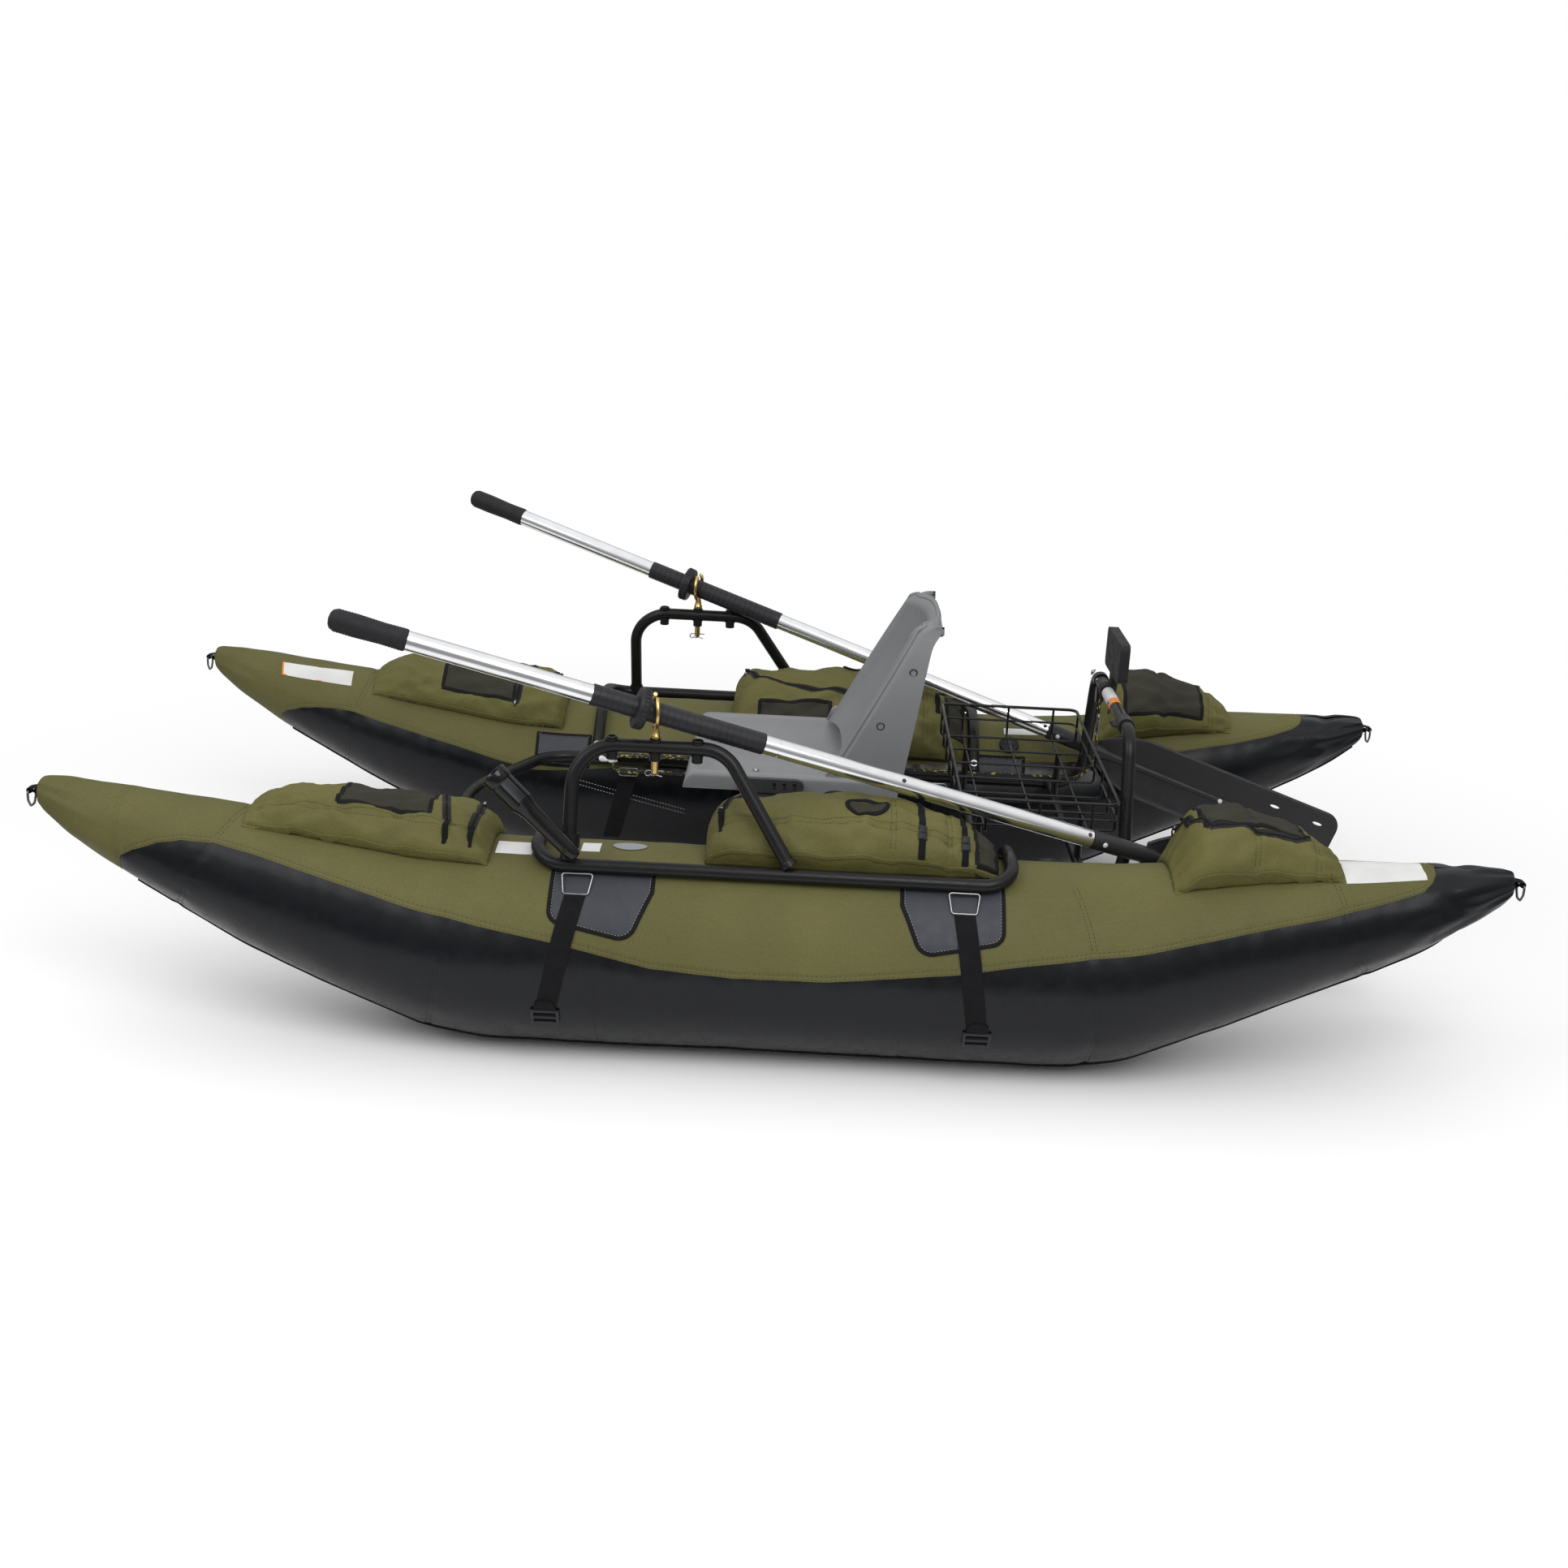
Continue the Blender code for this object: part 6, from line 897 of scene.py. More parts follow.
def even_columns(count):
    """Even places from one edge, -1, to the other, 1."""
    return np.linspace(-1.0, 1.0, count)


def make_pad(name, side, middle):
    """A vinyl wear pad, bound in black, whose rounded tongue slants in towards the middle of the boat."""
    piece = Piece("wear_pad_" + name)
    toward = 1 if middle < 0 else -1
    line = rounded_path([(x, a, 0) for x, a in PAD_OUTLINE], [0.026, 0.032, 0.01], 14)
    lengths = run_lengths(line)
    steps = np.linspace(0, lengths[-1], 97)
    xs = middle + toward * np.interp(steps, lengths, [p.x for p in line])
    angles = np.degrees(np.interp(steps, lengths, [p.y for p in line]) / RADIUS)
    share = np.linspace(0, 1, 17)[:, None]
    rows_x = xs + (np.linspace(xs[0], xs[-1], 97) - xs) * share
    rows_a = angles + (PAD_CENTRE - angles) * share
    skin_shell(piece, side, rows_x.T[::toward], rows_a.T[::toward], 0.0021, "pad_vinyl", 0.0002)
    bound_edge(piece, side, xs, angles)
    made = piece.make("boat", "pad_vinyl", ["frame_pad_" + name], sharp=60.0)


def bound_edge(piece, side, xs, angles, width=0.009):
    """Black tape folded over the rim of a pad, with a row of stitches."""
    along = np.stack([xs, np.radians(angles) * RADIUS], axis=1)
    lengths = run_lengths(along)
    steps = np.linspace(0, lengths[-1], 130)
    line = np.stack([np.interp(steps, lengths, along[:, k]) for k in (0, 1)], axis=1)
    tangent = np.gradient(line, axis=0)
    tangent /= np.linalg.norm(tangent, axis=1)[:, None]
    centre = np.array([line[:, 0].mean(), line[:, 1].mean()])
    normal = np.stack([-tangent[:, 1], tangent[:, 0]], axis=1)
    flip = np.sign(np.sum((centre - line) * normal, axis=1))
    normal *= np.sign(flip.sum())
    grid = np.stack([line + normal * inward for inward in (-0.0012, 0.001, 0.005, width)], axis=1)
    skin_shell(piece, side, grid[:, :, 0], np.degrees(grid[:, :, 1] / RADIUS), 0.0028, "binding", 0.0002, soften=0.55)
    row = line + normal * (width - 0.0022)
    skin_stitches(piece, side, row[:, 0], np.degrees(row[:, 1] / RADIUS), "thread_pale", 0.0062, 0.6, 0.003, 0.0007)


def strap_line(top_x, slant, angle):
    """Middle of a strap that drifts along the boat as it comes down the flank."""
    return top_x + slant * ((STRAP_TOP - np.asarray(angle, float)) / STRAP_SWEEP)


def make_strap(name, side, top_x, slant):
    piece = Piece("hold_down_" + name)
    angles = np.linspace(-21.5, 47.6, 43)
    xs = strap_line(top_x, slant, angles)[:, None] + even_columns(9) * STRAP_HALF
    lift = np.where(angles > 20.0, 0.0026, np.interp(angles, [14.0, 20.0], [0.0003, 0.0026]))[:, None]
    rise = np.full(xs.shape, 0.0016)
    rise[:, 0] = rise[:, -1] = 0.0009
    skin_band(piece, side, xs, angles[:, None], lift, lift + rise, "webbing", side > 0)
    for start in (39.0, 33.5):
        line = np.linspace(start, start + 5.0, 8)
        rows = [(strap_line(top_x, slant, line) + k * SEWN_HALF, line) for k in (-1, 1)]
        rows.append((strap_line(top_x, slant, start) + np.linspace(-SEWN_HALF, SEWN_HALF, 8), np.full(8, start)))
        for xs, angles in rows:
            skin_stitches(piece, side, xs, angles, "thread_black", 0.005, 0.6, SEWN_LIFT, 0.0008)
    ring_of_strap(piece, side, top_x)
    ladder_buckle(piece, side, top_x + slant)
    piece.make("boat", "webbing", ["strap_" + name], sharp=60.0)


def wire_ring(piece, side, middle, corners, steps, wire, sides):
    """A closed wire ring over the skin; corners hold the place beside the middle, degrees and lift."""
    line = [skin_vectors(side, [middle + dx], [angle], lift)[0] for dx, angle, lift in corners]
    piece.tube(rounded_path(line, [0.005] * 4, steps, closed=True), wire, "steel", sides, closed=True)


def ring_of_strap(piece, side, middle):
    arc = math.radians(1.0) * RADIUS
    low, high = (STRAP_TOP - 0.002 / arc, 0.0047), (RAIL_ANGLE - (TUBE + 0.002) / arc, 0.0108)
    wire_ring(piece, side, middle, ((-0.022, *low), (0.022, *low), (0.028, *high), (-0.028, *high)), 8, 0.0018, 14)


def ladder_buckle(piece, side, middle):
    """A moulded buckle with two windows and the strap's folded end through them."""
    for angle in (-20.9, -25.2, -29.6):
        points = skin_vectors(side, np.linspace(-0.025, 0.025, 13) + middle, np.full(13, angle), 0.0032)
        piece.tube(points, 0.0031, "black_plastic", 12)
    for dx in (-0.0225, 0.0225):
        points = skin_vectors(side, np.full(11, middle + dx), np.linspace(-20.3, -29.5, 11), 0.0034)
        piece.tube(points, 0.0034, "black_plastic", 12)
    share = np.linspace(0, 1, 9)
    tab = np.concatenate([-13.2 - 5.3 * share, [-19.5, -20.5]])
    half = np.concatenate([0.003 + 0.0165 * np.sqrt(1 - (1 - share) ** 2), [0.0195, 0.0195]])
    skin_band(piece, side, middle + half[:, None] * even_columns(9), tab[:, None], 0.0018, 0.0046, "webbing", side < 0)
    tail = np.linspace(-22.8, -27.2, 8)
    skin_band(piece, side, middle + even_columns(7)[None, :] * 0.0185, tail[:, None], 0.0012, 0.0046, "webbing",
              side > 0)


def make_inner_patches(name, side):
    """On the inboard flank: a bound vinyl patch under the front saddle, one behind and their straps."""
    piece = Piece("inner_patches_" + name)
    for middle, half, low, high in ((-0.506, 0.062, 21.0, 45.0), (0.49, 0.06, 24.0, 45.0)):
        angles = np.linspace(180 - high, 180 - low, 11)[:, None]
        xs, grid = np.broadcast_arrays(middle + half * even_columns(17), angles)
        skin_shell(piece, side, xs.T, grid.T, 0.002, "pad_vinyl", 0.0002)
        outline = [np.concatenate([v[:, 0], v[-1, 1:-1], v[::-1, -1], v[0, -2:0:-1], v[:1, 0]]) for v in (xs, grid)]
        bound_edge(piece, side, *outline)
    made = piece.make("boat", "pad_vinyl", sharp=60.0)
    straps = Piece("inner_straps_" + name)
    for top_x, slant in ((-0.352, -0.04), (0.352, 0.04)):
        angles = np.linspace(INNER_STRAP_TOP, INNER_STRAP_TOP + INNER_STRAP_SWEEP, 34)
        share = (angles - INNER_STRAP_TOP) / INNER_STRAP_SWEEP
        xs = (top_x + slant * share)[:, None] + even_columns(9) * STRAP_HALF
        skin_band(straps, side, xs, angles[:, None], 0.0003, 0.0019, "webbing", side < 0)
        ring = ((-0.021, 162.6, 0.003), (0.021, 162.6, 0.003), (0.021, 157.5, 0.0075), (-0.021, 157.5, 0.0075))
        wire_ring(straps, side, top_x, ring, 6, 0.002, 12)
    straps.make("boat", "webbing", sharp=60.0)


# Oars and oarlocks

OAR_PIVOT_X, OAR_PIVOT_OUT, OAR_PIVOT_Z = -0.2185, 0.531, 0.64
SHAFT_RADIUS, SLEEVE_RADIUS = 0.0175, 0.0197


class OarFrame:
    """Places on an oar: along its shaft, out to the blade's edge and up off its face."""

    def __init__(self, side):
        self.pivot = Vector((OAR_PIVOT_X, side * OAR_PIVOT_OUT, OAR_PIVOT_Z))
        self.along = Vector((0.937977, -side * 0.19, -0.29)).normalized()
        self.rise = (Vector((0, 0, 1)) - self.along * self.along.z).normalized()
        self.face = self.rise.cross(self.along) * side

    def at(self, distance, up=0.0, face=0.0):
        return self.pivot + self.along * distance + self.rise * up + self.face * face


def make_oar(name, side):
    body = "oar_" + name
    oar = OarFrame(side)
    shaft = Piece("shaft_" + name)
    shaft.turned(oar.at(-0.47), oar.along, ((0, 0), (0, 0.0165), (0.001, SHAFT_RADIUS), (0.331, SHAFT_RADIUS),
                                            (0.3312, SHAFT_RADIUS - 0.0006), (0.3322, SHAFT_RADIUS - 0.0006),
                                            (0.3324, SHAFT_RADIUS), (0.7, SHAFT_RADIUS), (0.7004, 0.0169),
                                            (0.7024, 0.0169), (0.7028, SHAFT_RADIUS), (1.339, SHAFT_RADIUS),
                                            (1.34, 0.0165), (1.34, 0)), "aluminium", 40)
    for distance, turn in ((0.475, 0.9), (0.505, 2.6), (0.86, 0.9)):
        outward = oar.rise * math.cos(turn) - oar.face * math.sin(turn) * side
        shaft.turned(oar.at(distance) + outward * (SHAFT_RADIUS - 0.0005), outward,
                     ((0, 0.0042), (0.0008, 0.0042), (0.0018, 0.0028), (0.0021, 0)), "dark_grey", 14)
    shaft.make(body, "bright_aluminium", ["oar_shaft_" + name])

    sleeve = Piece("sleeve_" + name)
    profile = [(0, 0.0178), (0.0006, 0.0194), (0.002, SLEEVE_RADIUS)]
    for k in range(24):
        start = 0.012 + k * 0.0125
        for along, sunk in ((0, 0), (0.0006, 0.0005), (0.0018, 0.0005), (0.0024, 0)):
            profile.append((start + along, SLEEVE_RADIUS - sunk))
    profile += [(0.323, SLEEVE_RADIUS), (0.3244, 0.0194), (0.325, 0.0178)]
    sleeve.turned(oar.at(-0.12), oar.along, profile, "black_plastic", 40)
    sleeve.make(body, "black_plastic", ["oar_sleeve_" + name])

    collar = Piece("collar_" + name)
    collar.turned(oar.at(-0.0375), oar.along, ((0, 0.0196), (0, 0.034), (0.001, 0.037), (0.004, 0.0384),
                                               (0.006, 0.0385), (0.0065, 0.0372), (0.0095, 0.0366), (0.0148, 0.0362),
                                               (0.0152, 0.0374), (0.017, 0.0373), (0.0194, 0.0352), (0.0201, 0.033),
                                               (0.0201, 0.0196)),
                  "black_plastic", 56)
    for turn in circle(28):
        spoke = oar.rise * math.cos(turn) + oar.face * math.sin(turn)
        rib = [oar.at(distance) + spoke * 0.0366 for distance in (-0.0309, -0.0225)]
        collar.tube(rib, 0.0014, "black_plastic", 8, ends=0.0)
    for turn in (0.35, 3.5):
        spoke = -oar.along
        place = oar.pivot + oar.along * -0.0372 + (oar.rise * math.cos(turn) + oar.face * math.sin(turn)) * 0.0285
        collar.turned(place, spoke, ((0, 0.0056), (0.0006, 0.0056), (0.0008, 0.0046), (-0.0001, 0.0042), (-0.0001, 0)),
                      "dark_grey", 20)
    collar.make(body, "black_plastic", ["oar_collar_" + name])

    grip = Piece("grip_" + name)
    shares = ((0, 0), (0.012, 0.5), (0.04, 0.8), (0.1, 0.98), (0.35, 1), (0.7, 0.93), (0.97, 0.97), (1, 0.92))
    table = np.array(shares)
    profile = [(0, 0)]
    for t in np.linspace(0.004, 1.0, 120):
        radius = 0.0205 * float(np.interp(t, table[:, 0], table[:, 1]))
        if 0.1 < t < 0.93:
            radius += 0.0003 * math.cos(2 * math.pi * t * 0.135 / 0.0052)
        profile.append((t * 0.135, radius))
    profile.append((0.135, 0.0176))
    grip.turned(oar.at(-0.585), oar.along, profile, "grip", 36)
    grip.make(body, "black_plastic", ["oar_grip_" + name])
    make_blade(name, side, oar)


def blade_half(distance):
    places = np.array(((0.985, 0.026), (1.0, 0.036), (1.03, 0.052), (1.06, 0.063), (1.085, 0.0695), (1.11, 0.0705),
                       (1.51, 0.07)))
    if distance <= 1.51:
        return float(np.interp(distance, places[:, 0], places[:, 1]))
    over = min(1.0, (distance - 1.51) / 0.035)
    return 0.035 + 0.035 * math.sqrt(max(0.0, 1 - over * over))


def make_blade(name, side, oar):
    piece = Piece("blade_" + name)
    stations = np.concatenate([np.linspace(0.985, 1.11, 24), np.linspace(1.115, 1.395, 30), np.linspace(1.4, 1.508, 12),
                               1.51 + 0.035 * np.sin(np.linspace(0, math.pi / 2, 14))])
    columns = np.linspace(-1, 1, 41)
    front, back = [], []
    for distance in stations:
        half = blade_half(distance)
        a, b = [], []
        for share in columns:
            out = half * share
            bow = 0.008 * (out / 0.07) ** 2
            rib = 0.0028 * math.exp(-0.5 * (out / 0.006) ** 2) * min(1.0, max(0.0, (1.49 - distance) / 0.15))
            rim = 0.0011 * math.exp(-0.5 * ((abs(out) - half + 0.004) / 0.0018) ** 2)
            thick = 0.003 * (0.35 if abs(share) == 1 else 1.0)
            a.append(oar.at(distance, out, -bow + thick + rib + rim))
            b.append(oar.at(distance, out, -bow - thick - rim))
        front.append(a)
        back.append(b)
    shell(piece, back, front, "blade_plastic", flip=side < 0)
    ferrule = ((0.8703, 0.0178), (0.8703, 0.0184), (0.873, 0.0186), (0.8897, 0.0182), (0.93, 0.0178), (1.0, 0.016),
               (1.0197, 0.0105), (1.1, 0.0086), (1.25, 0.007), (1.34, 0.0052), (1.36, 0.001))
    piece.turned(oar.at(0), oar.along, ferrule, "blade_plastic", 32)
    for distance in (0.895, 1.285):
        for sign in (-1, 1):
            base = oar.at(distance, 0, sign * (0.0165 if distance < 1 else 0.0062))
            piece.turned(base, oar.face * sign, ((0, 0.0052), (0.0014, 0.005), (0.0026, 0.0034), (0.003, 0)),
                         "white_plastic", 18)
    made = piece.make("oar_" + name, "black_plastic", ["oar_blade_" + name], sharp=50.0)
    cut_away(made, [slot_cutter(oar, distance, up) for distance in (1.4, 1.5) for up in (-0.035, 0.035)])


def slot_cutter(oar, distance, up):
    """A rounded bar used to cut one slot through the blade."""
    turns = np.linspace(-math.pi / 2, math.pi / 2, 9)
    path = [(distance + sign * 0.011 * math.cos(t), up + sign * 0.004 * math.sin(t)) for sign in (1, -1) for t in turns]
    count = len(path)
    faces = [tuple(range(count))[::-1], tuple(range(count, 2 * count))]
    faces += [(i, (i + 1) % count, count + (i + 1) % count, count + i) for i in range(count)]
    return loose_mesh("cutter", [oar.at(a, b, face) for face in (-0.03, 0.03) for a, b in path], faces)


def cut_away(made, cutters):
    for cutter in cutters:
        step = made.modifiers.new("cut", "BOOLEAN")
        step.operation = "DIFFERENCE"
        step.solver = "EXACT"
        step.object = cutter
    bake(made)
    for cutter in cutters:
        mesh = cutter.data
        bpy.data.objects.remove(cutter)
        bpy.data.meshes.remove(mesh)


def bake(made):
    """Turn an object's modifiers into plain mesh."""
    graph = bpy.context.evaluated_depsgraph_get()
    mesh = bpy.data.meshes.new_from_object(made.evaluated_get(graph), preserve_all_data_layers=True, depsgraph=graph)
    old = made.data
    made.modifiers.clear()
    made.data = mesh
    bpy.data.meshes.remove(old)
    mesh.name = made.name


def make_oarlock(name, side):
    body = "oarlock_" + name
    oar = OarFrame(side)
    flat = Vector((oar.along.x, oar.along.y, 0)).normalized()
    across = flat.cross(Vector((0, 0, 1)))
    centre = Vector((oar.pivot.x, oar.pivot.y, 0.64409))
    piece = Piece("horn_" + name)
    path, radii = [], []
    for k in range(61):
        angle = math.radians(122.0 + 296.0 * k / 60)
        path.append(centre + across * (0.03 * math.cos(angle)) + Vector((0, 0, 0.03 * math.sin(angle))))
        away = min(k, 60 - k)
        radii.append(0.0045 * (0.9 + 0.07 * math.exp(-(away / 4.0) ** 2)))
    piece.tube(path, 0.0045, "brass", 20, radii=radii, ends=0.2)
    foot = Vector((oar.pivot.x, oar.pivot.y, 0.5253))
    piece.turned(foot, (0, 0, 1), ((0, 0), (0, 0.0036), (0.0008, 0.0044), (0.003, 0.006), (0.004, 0.0062),
                                   (0.0684, 0.0062), (0.0686, 0.0085), (0.0696, 0.0094), (0.0735, 0.0094),
                                   (0.0745, 0.0086), (0.0836, 0.0066), (0.0888, 0.0062)), "brass", 32)
    piece.make(body, "brass", ["oarlock_" + name])
    pin = Piece("cotter_" + name)
    z = 0.5323
    eye, wire = 0.005, 0.0011
    x, y = oar.pivot.x, oar.pivot.y
    leg = [(x + 0.0165, y, z), (x + 0.004, y, z), (x - 0.009, y, z)]
    loop = []
    for k in range(15):
        angle = math.radians(90 + 250 * k / 14)
        loop.append((x - 0.012 + eye * math.cos(angle), y, z - eye + eye * math.sin(angle)))
    low = [(x - 0.004, y, z - 0.0094), (x + 0.002, y, z - 0.0078), (x + 0.008, y, z - 0.0094),
           (x + 0.0135, y, z - 0.0106)]
    pin.tube(smooth_route(leg + loop + low, 0.0012), wire, "steel", 10)
    pin.make(body, "bright_steel", ["hairpin_" + name])


# Seat

def resampled(rows, across, along):
    """A finer smooth grid over rows of points."""
    grid = np.array([[tuple(p) for p in row] for row in rows])
    for axis, count in ((0, along), (1, across)):
        size = grid.shape[axis]
        old = np.linspace(0, 1, size)
        new = np.linspace(0, 1, count)
        moved = np.moveaxis(grid, axis, 0)
        index = np.clip(np.searchsorted(old, new) - 1, 0, size - 2)
        share = ((new - old[index]) / (old[index + 1] - old[index]))[:, None, None]
        before = moved[np.maximum(index - 1, 0)]
        a, b = moved[index], moved[index + 1]
        after = moved[np.minimum(index + 2, size - 1)]
        t = share
        slope_a, slope_b = (b - before) * 0.5, (after - a) * 0.5
        slope_a = np.where((index == 0)[:, None, None], b - a, slope_a)
        slope_b = np.where((index == size - 2)[:, None, None], b - a, slope_b)
        fine = (a * (2 * t**3 - 3 * t**2 + 1) + slope_a * (t**3 - 2 * t**2 + t)
                + b * (-2 * t**3 + 3 * t**2) + slope_b * (t**3 - t**2))
        grid = np.moveaxis(fine, 0, axis)
    return grid


SEAT_HALF, SEAT_RIM, SEAT_PAN, SEAT_SKIRT = 0.22, 0.435, 0.4, 0.034
SEAT_SHARES = ((0.0, 0.0, 1.0), (0.006, 0.0, 0.62), (0.02, 0.04, 0.25), (0.045, 0.2, 0.04), (0.09, 0.5, 0.0),
               (0.16, 0.85, 0.0), (0.35, 1.0, 0.0), (0.65, 1.0, 0.0), (0.85, 0.8, 0.0), (1.0, 0.6, 0.0))


def both_sides(points):
    """Places from port rim to middle, followed by the same in reverse to starboard."""
    return [Vector((x, -out, z)) for x, out, z in points] + [Vector((x, out, z)) for x, out, z in reversed(points)]


def seat_line(share, dish, drop, wall):
    rim = SEAT_HALF - wall
    hem = SEAT_RIM - SEAT_SKIRT
    x = -0.19 + 0.425 * share + (wall * (1 - share) if share < 0.05 else 0)
    top = SEAT_RIM - SEAT_SKIRT * drop
    top = top if drop >= 1 else max(top - wall, hem)
    side = (top - hem) / (SEAT_RIM - hem)
    points = [(rim, hem), (rim, max(top - 0.012 * side, hem)), (rim - 0.0015, max(top - 0.005 * side, hem)),
              (rim - 0.005, top - 0.0008 * side), (rim - 0.009, top), (SEAT_HALF - 0.017, top),
              (SEAT_HALF - 0.025, top - 0.1 * (SEAT_RIM - SEAT_PAN) * dish)]
    for out, fall in ((0.82, 0.5), (0.72, 0.86), (0.6, 0.98), (0.45, 1.0), (0.3, 0.97), (0.15, 0.91), (0.05, 0.88)):
        points.append((SEAT_HALF * out, top - (SEAT_RIM - SEAT_PAN) * fall * dish))
    return both_sides([(x, out, z) for out, z in points])


def make_seat():
    piece = Piece("seat_tray")
    rows = []
    for wall in (0, 0.004):
        rows.append(resampled([seat_line(a, b, c, wall) for a, b, c in SEAT_SHARES], 121, 60))
    top, under = rows
    shell(piece, under.tolist(), top.tolist(), "grey_plastic")
    for sign in (-1, 1):
        near, far = sign * 0.2003, sign * 0.2103
        outline = [(-0.027, -0.0175), (-0.021, -0.0135)]
        outline += [(0.015 * math.cos(t), 0.015 * math.sin(t)) for t in np.radians(np.linspace(165, 15, 17))]
        outline += [(0.021, -0.0135), (0.027, -0.0175)]
        rings = []
        for y, inset in ((near, 0.001), (near + sign * 0.001, 0), (far - sign * 0.001, 0), (far, 0.001)):
            rings.append([Vector((0.114 + a * (1 - inset * 30), y, 0.45 + b * (1 - inset * 30))) for a, b in outline])
        piece.grid(rings, "grey_plastic", wrap=True)
        piece.cap(rings[0], "grey_plastic")
        piece.cap(rings[-1], "grey_plastic")
    for x in (-0.05, 0.14):
        for y in (-0.085, 0.085):
            add_bolt(piece, (x, y, 0.4003), (0, 0, 1), 0.0052)
    piece.make("boat", "grey_plastic", ["seat_base"], sharp=50.0)

    back = Piece("seat_rest")
    grids = []
    for wall in (0, 0.005):
        levels = [back_line(share, wall, 0) for share in (0, 0.2, 0.4, 0.6, 0.8, 0.9, 0.97)]
        levels += [back_line(1.0, wall, 0.5), back_line(1.0, wall, 0.9)]
        levels += [back_top(wall, share) for share in (0.12, 0.4, 0.75, 1.0)]
        grids.append(resampled(levels, 111, 56))
    outer, inner = grids
    shell(back, inner.tolist(), outer.tolist(), "grey_plastic")
    rim = []
    for share in np.linspace(0.02, 1.0, 24):
        rim.append(back_line(share, 0, 0)[4])
    rim += [back_line(1.0, 0, 0.9)[k] for k in range(5, 23)]
    for share in np.linspace(1.0, 0.02, 24):
        rim.append(back_line(share, 0, 0)[23])
    back.tube(smooth_route([Vector(p) for p in rim], 0.006), 0.0042, "grey_plastic", 12)
    for sign in (-1, 1):
        start = (0.114, sign * 0.195, 0.45)
        back.turned(start, (0, sign, 0), ((0, 0.0035), (0, 0.0142), (0.0008, 0.015), (0.0042, 0.015), (0.005, 0.0142),
                                          (0.005, 0.0035)),
                    "grey_plastic", 40)
        for share in (0.34, 0.72):
            x = 0.098 + 0.152 * share + 0.044
            z = 0.443 + 0.285 * share
            half = 0.2 + (0.168 - 0.2) * share**3
            back.turned((x, sign * (half - 0.0056), z), (0, sign, 0),
                        ((0, 0), (0, 0.0052), (0.0003, 0.006), (0.006, 0.006), (0.0066, 0.0064), (0.0062, 0.0078),
                         (0.0054, 0.0082)),
                        "gloss_plastic", 24)
    back.make("seat_back", "grey_plastic", ["seat_back"], sharp=50.0)
    for name, side in SIDES.items():
        bolt = Piece("hinge_pin_" + name)
        bolt.turned((0.114, side * 0.2153, 0.45), (0, -side, 0),
                    ((0, 0), (0, 0.0028), (0.0012, 0.0032), (0.0012, 0.0045), (0, 0.006), (0.0004, 0.0082),
                     (0.0016, 0.009), (0.004, 0.009), (0.004, 0.0035), (0.0195, 0.0035)), "steel", 32)
        bolt.make("boat", "bright_steel", ["seat_hinge_bolt_" + name])


def back_top(wall, share):
    """The rolled top of the seat back, from its front edge to the rear one."""
    line = []
    for place in back_line(1.0, wall, 1.0):
        x = place.x + (0.308 - wall - place.x) * share * (1 - 0.25 * (abs(place.y) / 0.168) ** 6)
        roll = 0.004 * math.sin(math.pi * min(1.0, share * 1.3)) - 0.012 * share**3
        line.append(Vector((x, place.y, place.z + roll)))
    return line


def back_line(share, wall, roll):
    front = 0.098 + 0.152 * share + 0.02 * roll + wall
    rear = 0.245 + 0.045 * share + 0.016 * max(0.0, (share - 0.84) / 0.16) ** 2
    half = 0.2 - 0.032 * share**3 - wall
    z = 0.443 + 0.285 * share + 0.006 * roll - wall * roll
    corner = 0.022 - wall
    dish = 0.058 * math.sin(math.pi * (0.14 + 0.66 * share))
    points = [(rear, half), ((rear + front + corner) / 2, half), (front + corner, half)]
    for turn in (22.5, 45, 67.5):
        angle = math.radians(turn)
        points.append((front + corner - corner * math.sin(angle), half - corner + corner * math.cos(angle)))
    points.append((front, half - corner))
    for out_share, depth in ((0.93, 0.02), (0.87, 0.1), (0.81, 0.38), (0.7, 0.66), (0.52, 0.88), (0.3, 0.97),
                             (0.1, 1.0)):
        points.append((front + dish * depth, (half - corner) * out_share))
    return both_sides([(x, out, z) for x, out in points])


# Wire basket

RIM_WIRE, BASKET_WIRE = 0.0034, 0.0026

def make_basket():
    piece = Piece("basket")
    x0, x1, rim_z, side_z, floor_z = 0.35, 0.652, 0.447, 0.415, 0.383
    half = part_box("wire_basket")[1][1] - RIM_WIRE
    for inset, z, steps, wire, sides in ((0, rim_z, 10, RIM_WIRE, 16), (0.0006, side_z, 8, BASKET_WIRE, 12)):
        out = half - inset
        ring = [(x0 + inset, -out, z), (x1 - inset, -out, z), (x1 - inset, out, z), (x0 + inset, out, z)]
        piece.tube(rounded_path(ring, [0.018] * 4, steps, closed=True), wire, "black_steel", sides, closed=True)
    for k in range(7):
        y = -0.3 + 0.1 * k
        path = rounded_path([(x0, y, rim_z), (x0, y, floor_z), (x1, y, floor_z), (x1, y, rim_z)], [0.009] * 2, 6)
        piece.tube(path, BASKET_WIRE, "black_steel", 12)
    under, gap = floor_z - BASKET_WIRE, floor_z - INNER_Z - CROSS_BAR
    for x in (REAR_BARS[0], 0.501, REAR_BARS[1]):
        path = rounded_path([(x, -half, rim_z), (x, -half, under), (x, half, under), (x, half, rim_z)], [0.009] * 2, 6)
        piece.tube(path, BASKET_WIRE, "black_steel", 12)
        for y in (-0.2, 0.2) if x in REAR_BARS else ():
            piece.turned((x, y, INNER_Z + CROSS_BAR * 0.97), (0, 0, 1),
                         ((0, 0), (0, 0.008), (0.002, 0.0082), (gap - 0.008, 0.0056), (gap - 0.002, 0.0048)),
                         "black_steel", 20)
    piece.make("boat", "black_steel", ["wire_basket"])


# Rod holder

ROD_WINDOW_TURN = -0.9


